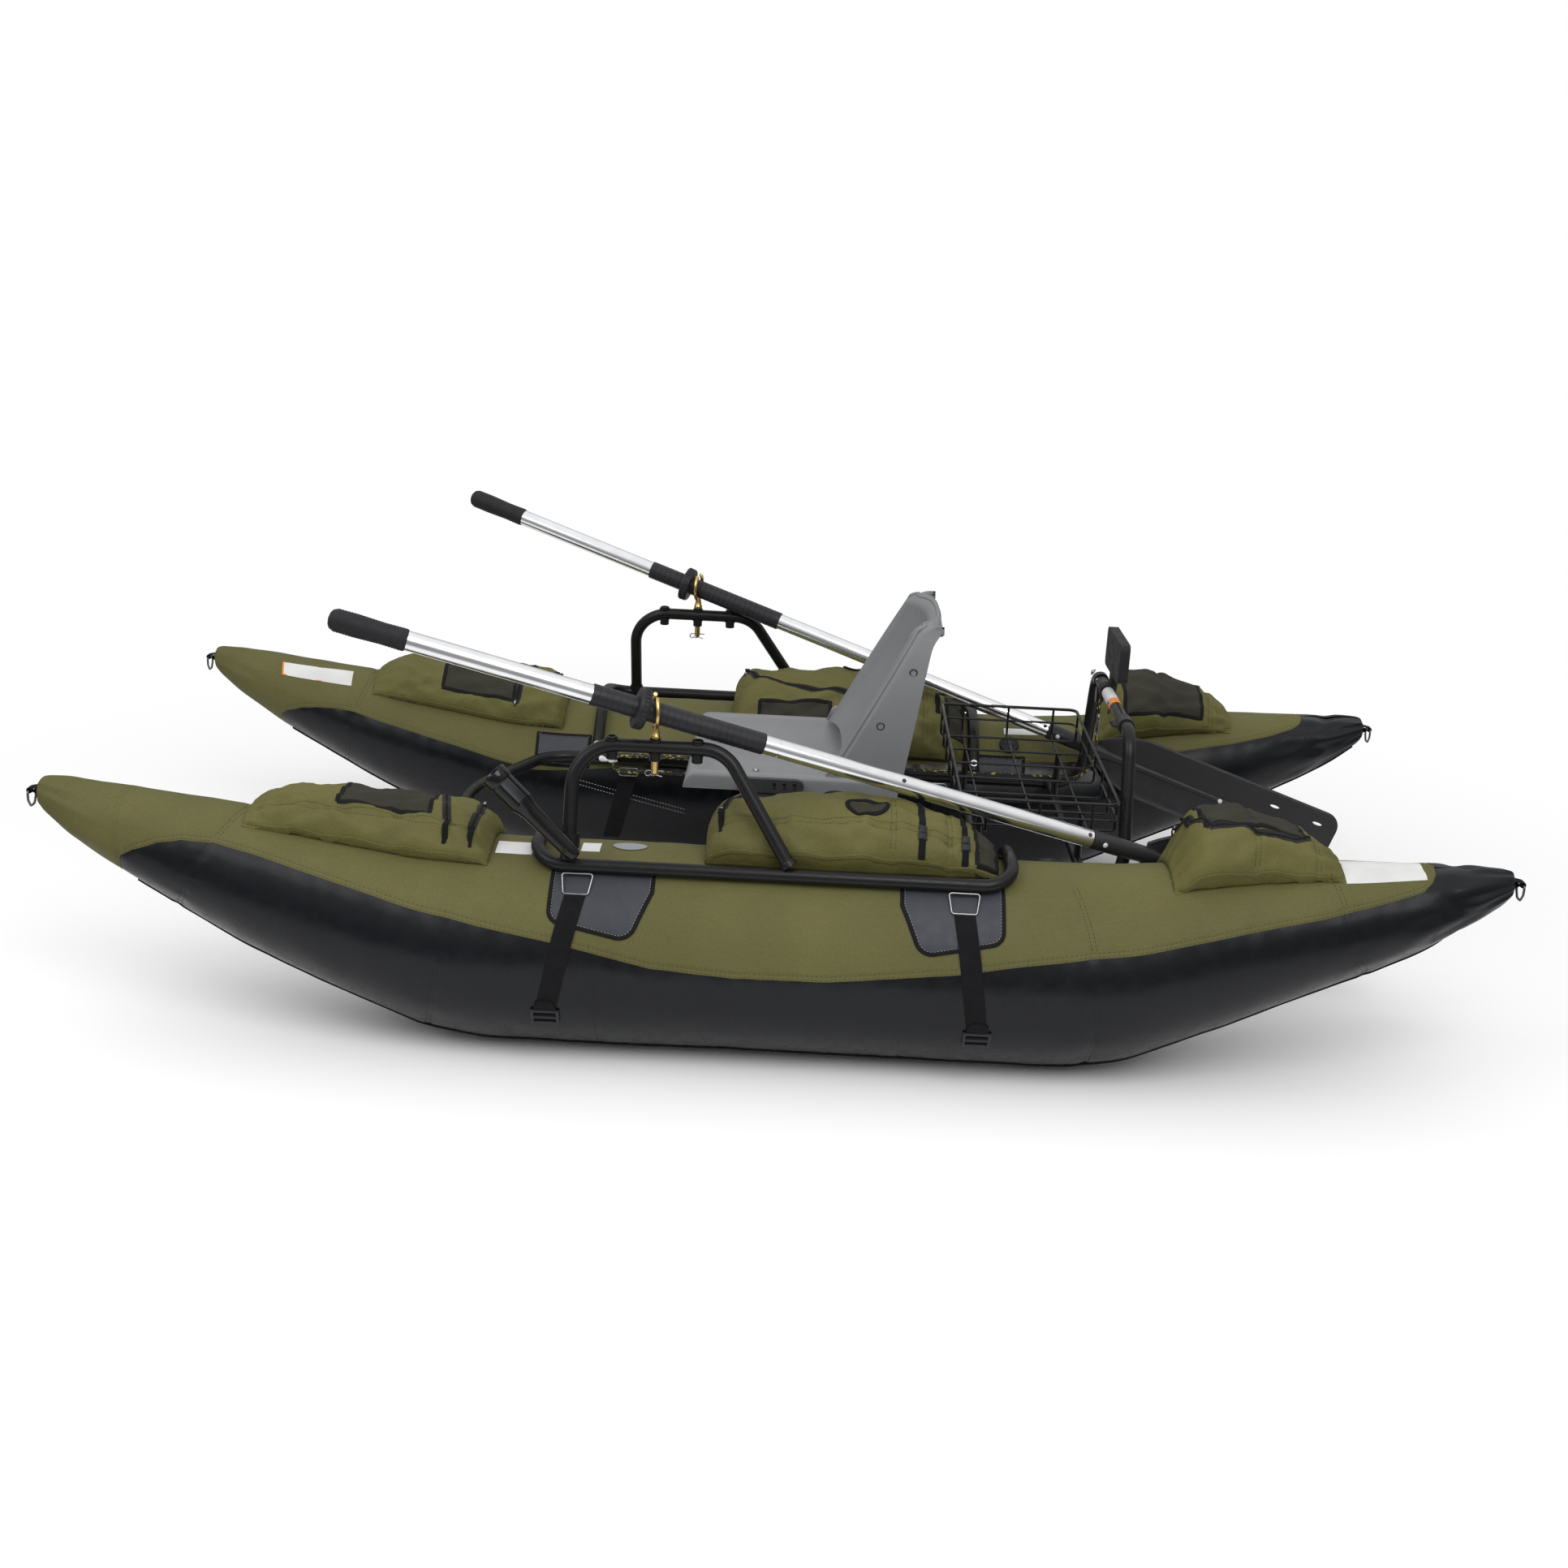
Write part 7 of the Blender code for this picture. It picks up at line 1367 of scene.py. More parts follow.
def make_rod_holder():
    piece = Piece("rod_tube")
    pivot = Vector((-0.364, -0.618778, 0.41))
    along = Vector((-0.707107, 0, 0.707107))
    up = Vector((0.707107, 0, 0.707107))
    out = along.cross(up)
    bore = 0.0195
    stem = ((-0.024, 0.0096), (-0.023, 0.0112), (-0.0192, 0.013), (0.0, 0.0142), (0.05, 0.0155), (0.09, 0.0165),
            (0.1, 0.0185), (0.113, 0.0225), (0.1132, 0.0215), (0.1132, 0.0001))
    rim = ((0.163, bore), (0.163, 0.0225), (0.1645, 0.0236), (0.167, 0.0245), (0.183, 0.0245), (0.1848, 0.0238),
           (0.185, 0.0225), (0.1846, bore + 0.0006), (0.18, bore), (0.163, bore))
    gap = math.asin(0.011 / 0.0225)
    piece.turned(pivot, along, stem, "gloss_plastic", 64)
    piece.turned(pivot, along, rim, "gloss_plastic", 64)
    ring_out, ring_in = [], []
    for distance in np.linspace(0.113, 0.163, 9):
        a, b = [], []
        for k in range(49):
            angle = ROD_WINDOW_TURN + gap + (2 * math.pi - 2 * gap) * k / 48
            spoke = up * math.cos(angle) + out * math.sin(angle)
            a.append(pivot + along * distance + spoke * 0.0225)
            b.append(pivot + along * distance + spoke * bore)
        ring_out.append(a)
        ring_in.append(b)
    shell(piece, ring_in, ring_out, "gloss_plastic")
    piece.turned(pivot - along * 0.024, -along, ((0, 0.0096), (0.0004, 0.0092), (0.0004, 0)), "gloss_plastic", 30)
    piece.turned(pivot, along, ((-0.0225, 0), (-0.0225, 0.008), (-0.0232, 0.0104)), "gloss_plastic", 30)
    # Grey sheet on the inside wall, lighter than the black tube: a painted highlight that makes the window read bright
    painted_highlight_lining = [[p.lerp(pivot + along * (p - pivot).dot(along), 0.02) for p in row] for row in ring_in]
    piece.grid(painted_highlight_lining, "grey_plastic")
    piece.make("rod_holder", "black_plastic", ["rod_holder"], sharp=40.0)


# Small fittings

def make_valve_cap(name, side):
    piece = Piece("cap_" + name)
    direction = Vector((0, -side * 0.587785, 0.809017))
    start = Vector(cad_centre("valve_cap_" + name)) - direction * 0.0045
    piece.turned(start, direction, ((0, 0), (0, 0.0205), (0.0006, 0.0216), (0.0015, 0.022), (0.0072, 0.022),
                                    (0.0082, 0.0214), (0.0088, 0.0195), (0.0086, 0.0165), (0.0078, 0.0155),
                                    (0.0078, 0.007), (0.0084, 0.006), (0.0086, 0)),
                 "black_plastic", 48)
    guide = direction.cross(Vector((1, 0, 0))).normalized()
    other = direction.cross(guide)
    for angle in circle(30):
        spoke = guide * math.cos(angle) + other * math.sin(angle)
        piece.tube([start + direction * 0.0016 + spoke * 0.0218, start + direction * 0.007 + spoke * 0.0218], 0.0008,
                   "black_plastic", 6, ends=0.0)
    piece.tube([start + direction * 0.0084 + guide * -0.0135, start + direction * 0.0092,
                start + direction * 0.0084 + guide * 0.0135],
               0.0016, "black_plastic", 12)
    piece.make("valve_cap_" + name, "black_plastic", ["valve_cap_" + name])


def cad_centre(node):
    low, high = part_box(node)
    return [(a + b) / 2 for a, b in zip(low, high)]


def make_tow_ring(name, side, end):
    tag = "bow" if end < 0 else "stern"
    piece = Piece("ring_%s_%s" % (tag, name))
    eye = Vector((end * 1.362061, side * SPACING, 0.426703 if end < 0 else 0.391738))
    half, drop = 0.017, 0.03
    corners = [(0, -half, 0), (0, half, 0), (0, half, -drop * 0.55), (0, half * 0.45, -drop), (0, -half * 0.45, -drop),
               (0, -half, -drop * 0.55)]
    path = rounded_path([eye + Vector(c) for c in corners], [0.005, 0.005, 0.007, 0.006, 0.006, 0.007], 7, closed=True)
    piece.tube(path, 0.0022, "dark_metal", 16, closed=True)
    piece.make("tow_ring_%s_%s" % (tag, name), "bright_steel", ["tow_ring_%s_%s" % (tag, name)])


WHEEL_CENTRE, HOOK_TOP = Vector((0.675, 0.178, 0.523)), Vector((0.675, 0.1624, 0.488))


def make_sheave_and_hook():
    sheave = Piece("rope_wheel")
    groove = [(-0.0045, 0.0036), (-0.0045, 0.0152), (-0.004, 0.016), (-0.0034, 0.016)]
    groove += [(-0.0034 + 0.0068 * k / 8, 0.016 - 0.0036 * math.sin(math.pi * k / 8)) for k in range(1, 8)]
    groove += [(0.0034, 0.016), (0.004, 0.016), (0.0045, 0.0152), (0.0045, 0.0036)]
    sheave.turned(WHEEL_CENTRE, (1, 0, 0), groove, "black_plastic", 40)
    for turn in circle(5):
        for sign in (-1, 1):
            place = WHEEL_CENTRE + Vector((sign * 0.0044, 0.009 * math.cos(turn), 0.009 * math.sin(turn)))
            sheave.turned(place, (sign, 0, 0), ((0, 0.0022), (0.0003, 0.002), (0.0003, 0)), "dark_grey", 12)
    sheave.make("anchor_sheave", "black_plastic", ["anchor_sheave"])
    hook = Piece("rope_clip")
    half, length = 0.007, 0.048
    corners = [HOOK_TOP + Vector((0, y, z)) for y, z in ((half, 0), (half, -length), (-half, -length), (-half, 0))]
    hook.tube(rounded_path(corners, [half * 0.9] * 4, 10, closed=True), 0.0022, "steel", 14, closed=True)
    hook.tube([HOOK_TOP + Vector((0, -half, z)) for z in (-0.014, -0.026, -0.036)], 0.0028, "steel", 14,
              radii=[0.0027, 0.0029, 0.0027])
    hook.make("snap_hook", "bright_steel", ["snap_hook"])


# Anchor rope

HANK_START, HANK_PITCH, HANK_TURNS, HANK_HALF = Vector((-0.2, INNER_OUT - 0.0178, 0.2995)), 0.0072, 2.6, 0.019


def rope_route():
    """From the hook over the wheel, down the rear arch and forward along the starboard inner rail."""
    route = [HOOK_TOP + Vector((0, 0, 0.0025))]
    for k in range(13):
        angle = math.pi - math.pi * k / 12
        route.append(WHEEL_CENTRE + Vector((0, 0.0156 * math.cos(angle), 0.0156 * math.sin(angle))))
    run = ((0.677, -0.1228, 0.49), (0.684, -0.1048, 0.43), (0.687, -0.0798, 0.37), (0.676, -0.0568, 0.325),
           (0.645, -0.0368, 0.302), (0.6, -0.0218, 0.2985), (0.52, -0.0198, 0.298), (0.4, -0.0208, 0.2978),
           (0.26, -0.0198, 0.298), (0.12, -0.0198, 0.2978), (0.0, -0.0188, 0.2978), (-0.11, -0.0183, 0.298),
           (-0.2, -0.0178, 0.2995))
    return route + [Vector((x, INNER_OUT + y, z)) for x, y, z in run]


def hank_route():
    """Side-by-side loops along the inner rail, each a little nearer the boat's middle."""
    front_x, rear_x = -0.365, -0.222
    turns = np.linspace(0, math.pi, 9)[1:-1]
    middle_z = HANK_START.z - HANK_HALF
    loop = []
    for sign, start_x, end_x in ((1, rear_x, front_x), (-1, front_x, rear_x)):
        loop += [(x, middle_z + sign * HANK_HALF) for x in np.linspace(start_x, end_x, 6)]
        loop += [(end_x - sign * HANK_HALF * math.sin(t), middle_z + sign * HANK_HALF * math.cos(t)) for t in turns]
    closed = np.array(loop + loop[:1])
    lengths = run_lengths(closed)
    points = [HANK_START]
    count = round(HANK_TURNS * len(loop))
    for k in range(count + 1):
        travelled = HANK_TURNS * k / count
        at = (travelled % 1.0) * lengths[-1]
        x, z = np.interp(at, lengths, closed[:, 0]), np.interp(at, lengths, closed[:, 1])
        points.append(Vector((x, HANK_START.y - HANK_PITCH * travelled, z)))
    return points


def make_rope():
    run = smooth_route(rope_route(), 0.008)
    hank = smooth_route(hank_route(), 0.006)
    path = run + hank[1:]
    piece = Piece("anchor_line")
    piece.tube(path, 0.003, "rope", 12, ends=0.4)
    made = piece.make("boat", "rope_black", ["anchor_rope", "anchor_rope_hank"], sharp=80.0)


def make_hank_ties():
    """A turn of cord round the hank and two white drop-shaped end clips."""
    piece = Piece("hank_tie")
    middle_y = HANK_START.y - HANK_PITCH * HANK_TURNS / 2
    for x in (-0.296, -0.2915, -0.287):
        ring = []
        for angle in circle(28):
            across, up = math.cos(angle), math.sin(angle)
            wide = 0.0148 * math.copysign(abs(across) ** 0.55, across)
            high = 0.0238 * math.copysign(abs(up) ** 0.7, up)
            ring.append(Vector((x + 0.0015 * across, middle_y + wide, HANK_START.z - HANK_HALF + high)))
        piece.tube(ring, 0.0021, "webbing", 10, closed=True)
    for dx, lean in ((-0.012, 0.2), (0.008, -0.15)):
        place = Vector((-0.383 + dx, middle_y - 0.002, HANK_START.z - 0.0145))
        piece.turned(place, (-0.75, -0.25 + lean, 0.25),
                     ((0, 0), (0.001, 0.0022), (0.004, 0.0032), (0.01, 0.0055), (0.0155, 0.0068), (0.02, 0.0058),
                      (0.0225, 0.003), (0.0232, 0)), "white_plastic", 24)
    piece.make("boat", "rope_black", sharp=60.0)


# Bags

# Ends along the boat, height, lowest and highest degrees, then (share of the length, share of the height)
BAG_FORM = {
    "front": (-0.965, -0.505, 0.068, 64.0, 131.0,
              ((0, .16), (.05, .42), (.12, .66), (.22, .84), (.4, .97), (.75, 1), (.9, .88), (.97, .6), (1, .25))),
    "middle": (-0.125, 0.414, 0.116, 73.0, 142.0,
               ((0, .35), (.02, .62), (.07, .82), (.2, .86), (.33, .9), (.45, .96), (.63, .94), (.79, .74), (.88, .6),
                (.96, .4), (1, .2))),
    "rear": (0.715, 1.03, 0.109, 62.0, 128.0,
             ((0, .12), (.04, .3), (.09, .62), (.15, .9), (.23, 1), (.4, .95), (.6, .76), (.8, .54), (.95, .25),
              (1, .1))),
}


PUFF_FRAMES, PUFF_LIMIT = 20, 0.009


def bag_lift(tag, share, part):
    table = np.array(BAG_FORM[tag][5])
    height = BAG_FORM[tag][2]
    return height * np.interp(share, table[:, 0], table[:, 1]) * np.clip(1 - np.abs(part) ** 2.6, 0, 1) ** (1 / 2.6)


def bag_solid(tag, inset):
    """A closed loft over the port pontoon; inset keeps it a little inside its final form."""
    x0, x1, _, low, high, _ = BAG_FORM[tag]
    shares = np.concatenate([[0, 0.008], np.linspace(0.02, 0.98, 64), [0.992, 1.0]])
    parts = np.sin(np.linspace(-math.pi / 2, math.pi / 2, 49))
    share, part = np.meshgrid(shares, parts, indexing="ij")
    xs = x0 + inset + (x1 - x0 - 2 * inset) * share
    angles = (low + high) / 2 + (high - low) / 2 * part * (1 - inset * 2)
    lift = np.maximum(bag_lift(tag, share, part) - inset, 0.0015)
    upper = skin(PORT, xs, angles, 0.001 + lift)
    under = skin(PORT, xs, angles, -0.0005 + 0 * xs)
    piece = Piece("bag_form")
    shell(piece, under.tolist(), upper.tolist(), "olive_bag", flip=True)
    return piece


def loose_mesh(name, points, faces, merge=0.0):
    """An object of plain faces that all look outward."""
    mesh = bpy.data.meshes.new(name)
    mesh.from_pydata([tuple(p) for p in points], [], faces)
    bm = bmesh.new()
    bm.from_mesh(mesh)
    if merge:
        bmesh.ops.remove_doubles(bm, verts=bm.verts, dist=merge)
    bmesh.ops.recalc_face_normals(bm, faces=bm.faces)
    bm.to_mesh(mesh)
    bm.free()
    return placed(name, mesh)


def hull_place(points):
    """Place along the boat, degrees and radius about the pontoon's axis for points on the port side."""
    out = -points[:, 1] - SPACING
    z = points[:, 2] - np.interp(points[:, 0], HULL_X, HULL_Z)
    return points[:, 0], np.degrees(np.arctan2(z, out)) % 360, np.hypot(out, z)


def mesh_points(mesh):
    values = np.empty(len(mesh.vertices) * 3)
    mesh.vertices.foreach_get("co", values)
    return values.reshape(-1, 3)


def puffed_bag(tag):
    """The bag's port form after a short cloth simulation with air pressure inside."""
    form = bag_solid(tag, 0.004)
    made = loose_mesh(form.name, form.points, form.faces, 1e-5)
    step = made.modifiers.new("remesh", "REMESH")
    step.mode = "VOXEL"
    step.voxel_size = 0.0055
    bake(made)
    before = mesh_points(made.data)
    xs, _, radii = hull_place(before)
    rise = radii - np.interp(xs, HULL_X, HULL_R)
    group = made.vertex_groups.new(name="pinned")
    for index in np.nonzero(rise < 0.006)[0]:
        group.add([int(index)], 1.0, "REPLACE")
    cloth = made.modifiers.new("cloth", "CLOTH")
    for key, value in (("quality", 4), ("mass", 0.25), ("tension_stiffness", 12.0),
                       ("compression_stiffness", 12.0), ("shear_stiffness", 6.0), ("bending_stiffness", 0.35),
                       ("use_pressure", True), ("uniform_pressure_force", 4.0), ("vertex_group_mass", "pinned")):
        setattr(cloth.settings, key, value)
    cloth.settings.effector_weights.gravity = 0.0
    cloth.collision_settings.use_collision = False
    cloth.point_cache.frame_start = 1
    cloth.point_cache.frame_end = PUFF_FRAMES
    scene = bpy.context.scene
    for number in range(1, PUFF_FRAMES + 1):
        scene.frame_set(number)
    bake(made)
    scene.frame_set(1)
    moved = mesh_points(made.data) - before
    lengths = np.linalg.norm(moved, axis=1)
    points = before + moved * np.minimum(1.0, PUFF_LIMIT / np.maximum(lengths, 1e-9))[:, None]
    made.data.vertices.foreach_set("co", points.ravel())
    made.data.update()
    return made


def wrinkle_bag(tag, points, seams):
    """Pull the cloth in at its seams, with small puckers beside them and soft folds between."""
    xs, angles, radii = hull_place(points)
    x0, x1, height, low, high, _ = BAG_FORM[tag]
    rise = radii - np.interp(xs, HULL_X, HULL_R)
    inner = np.clip(rise / 0.02, 0, 1)
    radians = np.radians(angles)
    depth = 0.0024 * np.sin(xs * 61 + 3 * np.sin(radians * 9) + radians * 11)
    depth += 0.003 * np.sin(xs * 23 - radians * 31 + 2 * np.sin(xs * 37))
    depth += 0.0006 * np.sin(xs * 140 + radians * 40 + 2.5 * np.sin(xs * 51 + radians * 17))
    ends = np.minimum(xs - x0, x1 - xs)
    depth += 0.0035 * np.exp(-np.clip(ends, 0, 1) / 0.035) * np.sin(radians * 34 + 2 * np.sin(radians * 13 + xs * 20))
    edge = np.minimum(np.abs(angles - low), np.abs(angles - high)) * (math.pi / 180 * 0.22)
    depth += 0.0016 * np.exp(-edge / 0.03) * np.sin(xs * 190 + 2 * np.sin(xs * 43)) * np.clip(edge / 0.012, 0, 1)
    for along, place in seams:
        if along:
            away = (angles - place) * (math.pi / 180 * (SKIN_RADIUS + height))
            phase = xs * 150 + 2 * np.sin(xs * 47)
        else:
            away = xs - place
            phase = radians * 40 + 2 * np.sin(radians * 12)
        depth += -0.0045 * np.exp(-0.5 * (away / 0.005) ** 2)
        depth += 0.0018 * np.exp(-np.abs(away) / 0.026) * np.sin(phase)
    scale = 1 + depth * inner / np.maximum(radii, 0.01)
    centre_z = np.interp(xs, HULL_X, HULL_Z)
    y = -SPACING + (points[:, 1] + SPACING) * scale
    z = centre_z + (points[:, 2] - centre_z) * scale
    return np.stack([xs, y, z], axis=1)


class BagSkin:
    """Finds places on a finished bag, by place along the boat and degrees about the pontoon."""

    def __init__(self, made):
        bm = bmesh.new()
        bm.from_mesh(made.data)
        self.tree = BVHTree.FromBMesh(bm)
        bm.free()

    def at(self, x, angle, lift):
        radians = math.radians(angle)
        outward = Vector((0, -math.cos(radians), math.sin(radians)))
        axis = Vector((x, -SPACING, float(np.interp(x, HULL_X, HULL_Z))))
        hit, normal, _, _ = self.tree.ray_cast(axis + outward * 0.5, -outward)
        if hit is None:
            return axis + outward * (float(np.interp(x, HULL_X, HULL_R)) + lift), outward
        floor = float(np.interp(x, HULL_X, HULL_R))
        if (hit - axis).length < floor:
            hit, normal = axis + outward * floor, outward
        return hit + normal * lift, normal

    def strip(self, piece, places, width, thickness, surface, columns=5, lift=0.0004):
        """A flat band that follows a line over the bag."""
        middle = [self.at(x, angle, 0.0)[0] for x, angle in places]
        low, high = [], []
        for i, (x, angle) in enumerate(places):
            ahead = (middle[min(i + 1, len(middle) - 1)] - middle[max(i - 1, 0)]).normalized()
            normal = self.at(x, angle, 0.0)[1]
            across = ahead.cross(normal).normalized()
            row_low, row_high = [], []
            for j in range(columns):
                place = middle[i] + across * ((2 * j / (columns - 1) - 1) * width / 2)
                level = float(np.interp(place.x, HULL_X, HULL_Z))
                degrees = math.degrees(math.atan2(place.z - level, -place.y - SPACING))
                base = self.at(place.x, degrees, 0.0)[0]
                thick = thickness * (0.5 if j in (0, columns - 1) else 1.0)
                row_low.append(base + normal * lift)
                row_high.append(base + normal * (lift + thick))
            low.append(row_low)
            high.append(row_high)
        shell(piece, low, high, surface)

    def stitches(self, piece, places, surface, pitch=0.006, lift=0.0003, width=0.0009):
        points = [self.at(x, angle, lift) for x, angle in places]
        line = even_steps([p for p, _ in points], pitch)
        last = len(points) - 1
        normals = [points[min(last, round(i * last / max(1, len(line) - 1)))][1] for i in range(len(line))]
        starts = line[:-1]
        ends = [a.lerp(b, 0.6) for a, b in zip(line, line[1:])]
        stitch_row(piece, starts, ends, normals, surface, width)


def line_between(a, b, count):
    return [(a[0] + (b[0] - a[0]) * k / (count - 1), a[1] + (b[1] - a[1]) * k / (count - 1)) for k in range(count)]


def poly_line(places, step=0.008):
    """Even steps through places given as (x, degrees)."""
    fine = []
    for a, b in zip(places, places[1:]):
        count = max(2, int(math.hypot(b[0] - a[0], math.radians(b[1] - a[1]) * 0.25) / step) + 1)
        fine += line_between(a, b, count)[:-1]
    return fine + [places[-1]]


def side_buckle(piece, bag, x, angle):
    """A side-release buckle: two moulded halves on the strap."""
    place, normal = bag.at(x, angle, 0.003)
    lower, _ = bag.at(x, angle - 3.0, 0.003)
    down = (lower - place).normalized()
    wide = down.cross(normal).normalized()
    for start, length, half in ((-0.0135, 0.0135, 0.0082), (0.001, 0.0125, 0.009)):
        rows = []
        for t in np.linspace(0, 1, 7):
            row = []
            for k in range(20):
                turn = 2 * math.pi * k / 20
                a = math.copysign(abs(math.cos(turn)) ** 0.5,
                                  math.cos(turn)) * half * (1 - 0.12 * math.sin(math.pi * t))
                b = math.copysign(abs(math.sin(turn)) ** 0.6, math.sin(turn)) * 0.0028 * (1 - 0.5 * abs(2 * t - 1) ** 4)
                row.append(place + down * (start + length * t) + wide * a + normal * b)
            rows.append(row)
        piece.grid(rows, "black_plastic", wrap=True)
        piece.cap(rows[0], "black_plastic", flip=True)
        piece.cap(rows[-1], "black_plastic")


def zip_line(piece, bag, places):
    """A covered zip: its tape, the raised cover over its teeth and a pull at its start."""
    line = poly_line(places, 0.006)
    bag.strip(piece, line, 0.016, 0.0009, "zip")
    bag.strip(piece, line, 0.0042, 0.0022, "binding", lift=0.0006)
    place, normal = bag.at(*line[0], 0.003)
    ahead = (bag.at(*line[1], 0.003)[0] - place).normalized()
    piece.tube([place - ahead * 0.004, place + normal * 0.002, place + ahead * 0.006], 0.0032, "steel", 10)
    down = Vector((0, -0.35, -1.0)).normalized()
    path = [place + normal * rise + down * drop
            for rise, drop in ((0.003, 0), (0.005, 0.008), (0.003, 0.02), (0.002, 0.032))]
    strap_along(piece, smooth_route(path, 0.003), ahead, 0.007, 0.0014, "webbing")


BAG_PARTS = {
    "front": {
        "seams": ((True, 77.0),),
        "mesh": ((-0.79, -0.625, 80.5, 122.0),),
        "zips": (((-0.62, 124.0), (-0.608, 100.0), (-0.59, 79.5)), ((-0.545, 108.0), (-0.54, 92.0), (-0.545, 78.0))),
        "tabs": ((-0.588, 79.0), (-0.545, 79.0)),
        "straps": (),
        "handle": None,
    },
    "middle": {
        "seams": ((False, 0.215), (False, 0.318), (True, 84.0)),
        "mesh": ((0.368, 0.42, 70.0, 130.0), (-0.06, 0.1, 121.0, 137.0)),
        "zips": (((-0.098, 92.0), (-0.07, 103.0), (0.03, 112.0), (0.14, 116.0)),),
        "tabs": ((-0.094, 91.0),),
        "straps": (0.267, 0.346),
        "handle": (0.13, 0.204, 91.0),
    },
    "rear": {
        "seams": ((False, 0.86), (False, 0.975)),
        "mesh": ((0.772, 0.952, 81.5, 122.0),),
        "zips": (((0.745, 112.0), (0.762, 90.0), (0.782, 80.5), (0.852, 78.0), (0.932, 78.7), (0.962, 84.0)),),
        "tabs": ((0.752, 104.0),),
        "straps": (),
        "handle": None,
    },
}


def mirrored(made, name):
    copy = placed(name, made.data.copy())
    mesh = copy.data
    mesh.vertices.foreach_set("co", (mesh_points(mesh) * (1, -1, 1)).ravel())
    mesh.flip_normals()
    mesh.update()
    return copy


def mirror_piece(piece, name):
    copy = Piece(name)
    copy.points = [(x, -y, z) for x, y, z in piece.points]
    copy.faces = [face[::-1] for face in piece.faces]
    copy.marks, copy.surfaces = piece.marks, piece.surfaces
    uvs, start = [], 0
    for face in piece.faces:
        uvs.extend(piece.uvs[start:start + len(face)][::-1])
        start += len(face)
    copy.uvs = uvs
    return copy


def make_bags(tag):
    parts = BAG_PARTS[tag]
    made = puffed_bag(tag)
    made.name = "bag_cloth_%s_port" % tag
    mesh = made.data
    points = wrinkle_bag(tag, mesh_points(mesh), parts["seams"])
    mesh.vertices.foreach_set("co", points.ravel())
    mesh.materials.clear()
    mesh.materials.append(MATERIAL["olive_bag"])
    mesh.materials.append(MATERIAL["mesh"])
    xs, angles, _ = hull_place(points)
    layer = mesh.uv_layers.new(name="UVMap")
    loops = np.empty(len(mesh.loops), int)
    mesh.loops.foreach_get("vertex_index", loops)
    uv = np.stack([xs[loops], np.radians(angles[loops]) * 0.25], axis=1)
    layer.data.foreach_set("uv", uv.astype(np.float32).ravel())
    centres = np.empty(len(mesh.polygons) * 3)
    mesh.polygons.foreach_get("center", centres)
    xs, angles, _ = hull_place(centres.reshape(-1, 3))
    zone = np.zeros(len(mesh.polygons), bool)
    for x0, x1, low, high in parts["mesh"]:
        zone |= (xs > x0) & (xs < x1) & (angles > low) & (angles < high)
    mesh.polygons.foreach_set("material_index", zone.astype(int))
    mesh.update()
    mesh.shade_smooth()
    bag = BagSkin(made)
    trim = Piece("bag_trim_%s_port" % tag)
    x0, x1, _, low, high, _ = BAG_FORM[tag]
    for edge in (low + 1.0, high - 1.0):
        places = line_between((x0 + 0.006, edge), (x1 - 0.006, edge), 90)
        bag.strip(trim, places, 0.009, 0.0012, "olive_bag", lift=0.0006)
        bag.stitches(trim, places, "thread_dark", lift=0.0018)
    for along, place in parts["seams"]:
        if along:
            lines = [line_between((x0 + 0.03, place + k), (x1 - 0.03, place + k), 60) for k in (-1.2, 1.2)]
        else:
            lines = [line_between((place + k, low + 3), (place + k, high - 3), 40) for k in (-0.0045, 0.0045)]
        for line in lines:
            bag.stitches(trim, line, "thread_dark")
    for x_low, x_high, a, b in parts["mesh"]:
        a, b = max(a, low + 2.5), min(b, high - 2.5)
        x_high = min(x_high, x1 - 0.008)
        around = poly_line([(x_low, a), (x_high, a), (x_high, b), (x_low, b), (x_low, a)], 0.008)
        bag.strip(trim, around, 0.0085, 0.001, "binding")
    for places in parts["zips"]:
        zip_line(trim, bag, places)
    for x, angle in parts["tabs"]:
        path = [bag.at(x, angle - k * 2.2, 0.0022 + 0.003 * math.sin(k))[0] for k in range(6)]
        strap_along(trim, smooth_route(path, 0.004), Vector((1, 0, 0)), 0.011, 0.0015, "webbing")
    for x in parts["straps"]:
        bag.strip(trim, line_between((x, low + 1.5), (x, 118.0), 40), 0.0125, 0.0018, "webbing", lift=0.001)
        side_buckle(trim, bag, x, 82.0)
    if parts["handle"]:
        start, end, angle = parts["handle"]
        middle, half = (start + end) / 2, (end - start) / 2
        turns = [2 * math.pi * k / 40 for k in range(41)]
        bag.strip(trim, [(middle + half * math.cos(t), angle + 4.2 * math.sin(t)) for t in turns], 0.008, 0.0035,
                  "binding")
        bag.strip(trim, line_between((start + 0.004, angle), (end - 0.004, angle), 12), 0.03, 0.0012, "mesh", 7, 0.0008)
    for name, side in SIDES.items():
        if side == STARBOARD:
            made = mirrored(made, "bag_cloth_%s_starboard" % tag)
            trim = mirror_piece(trim, "bag_trim_%s_starboard" % tag)
        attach(made, "boat")
        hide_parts("bag_%s_%s" % (tag, name))
        trim.make("boat", "webbing", sharp=60.0)


# View, light and floor

CAMERA_TURNS, CAMERA_PLACE = (0.70, 18.05, 2.71), (0.052, -3.64, 1.533)
SENSOR, FOCAL_PIXELS, FRAME_PIXELS = 36.0, 2250.0, 1932.0


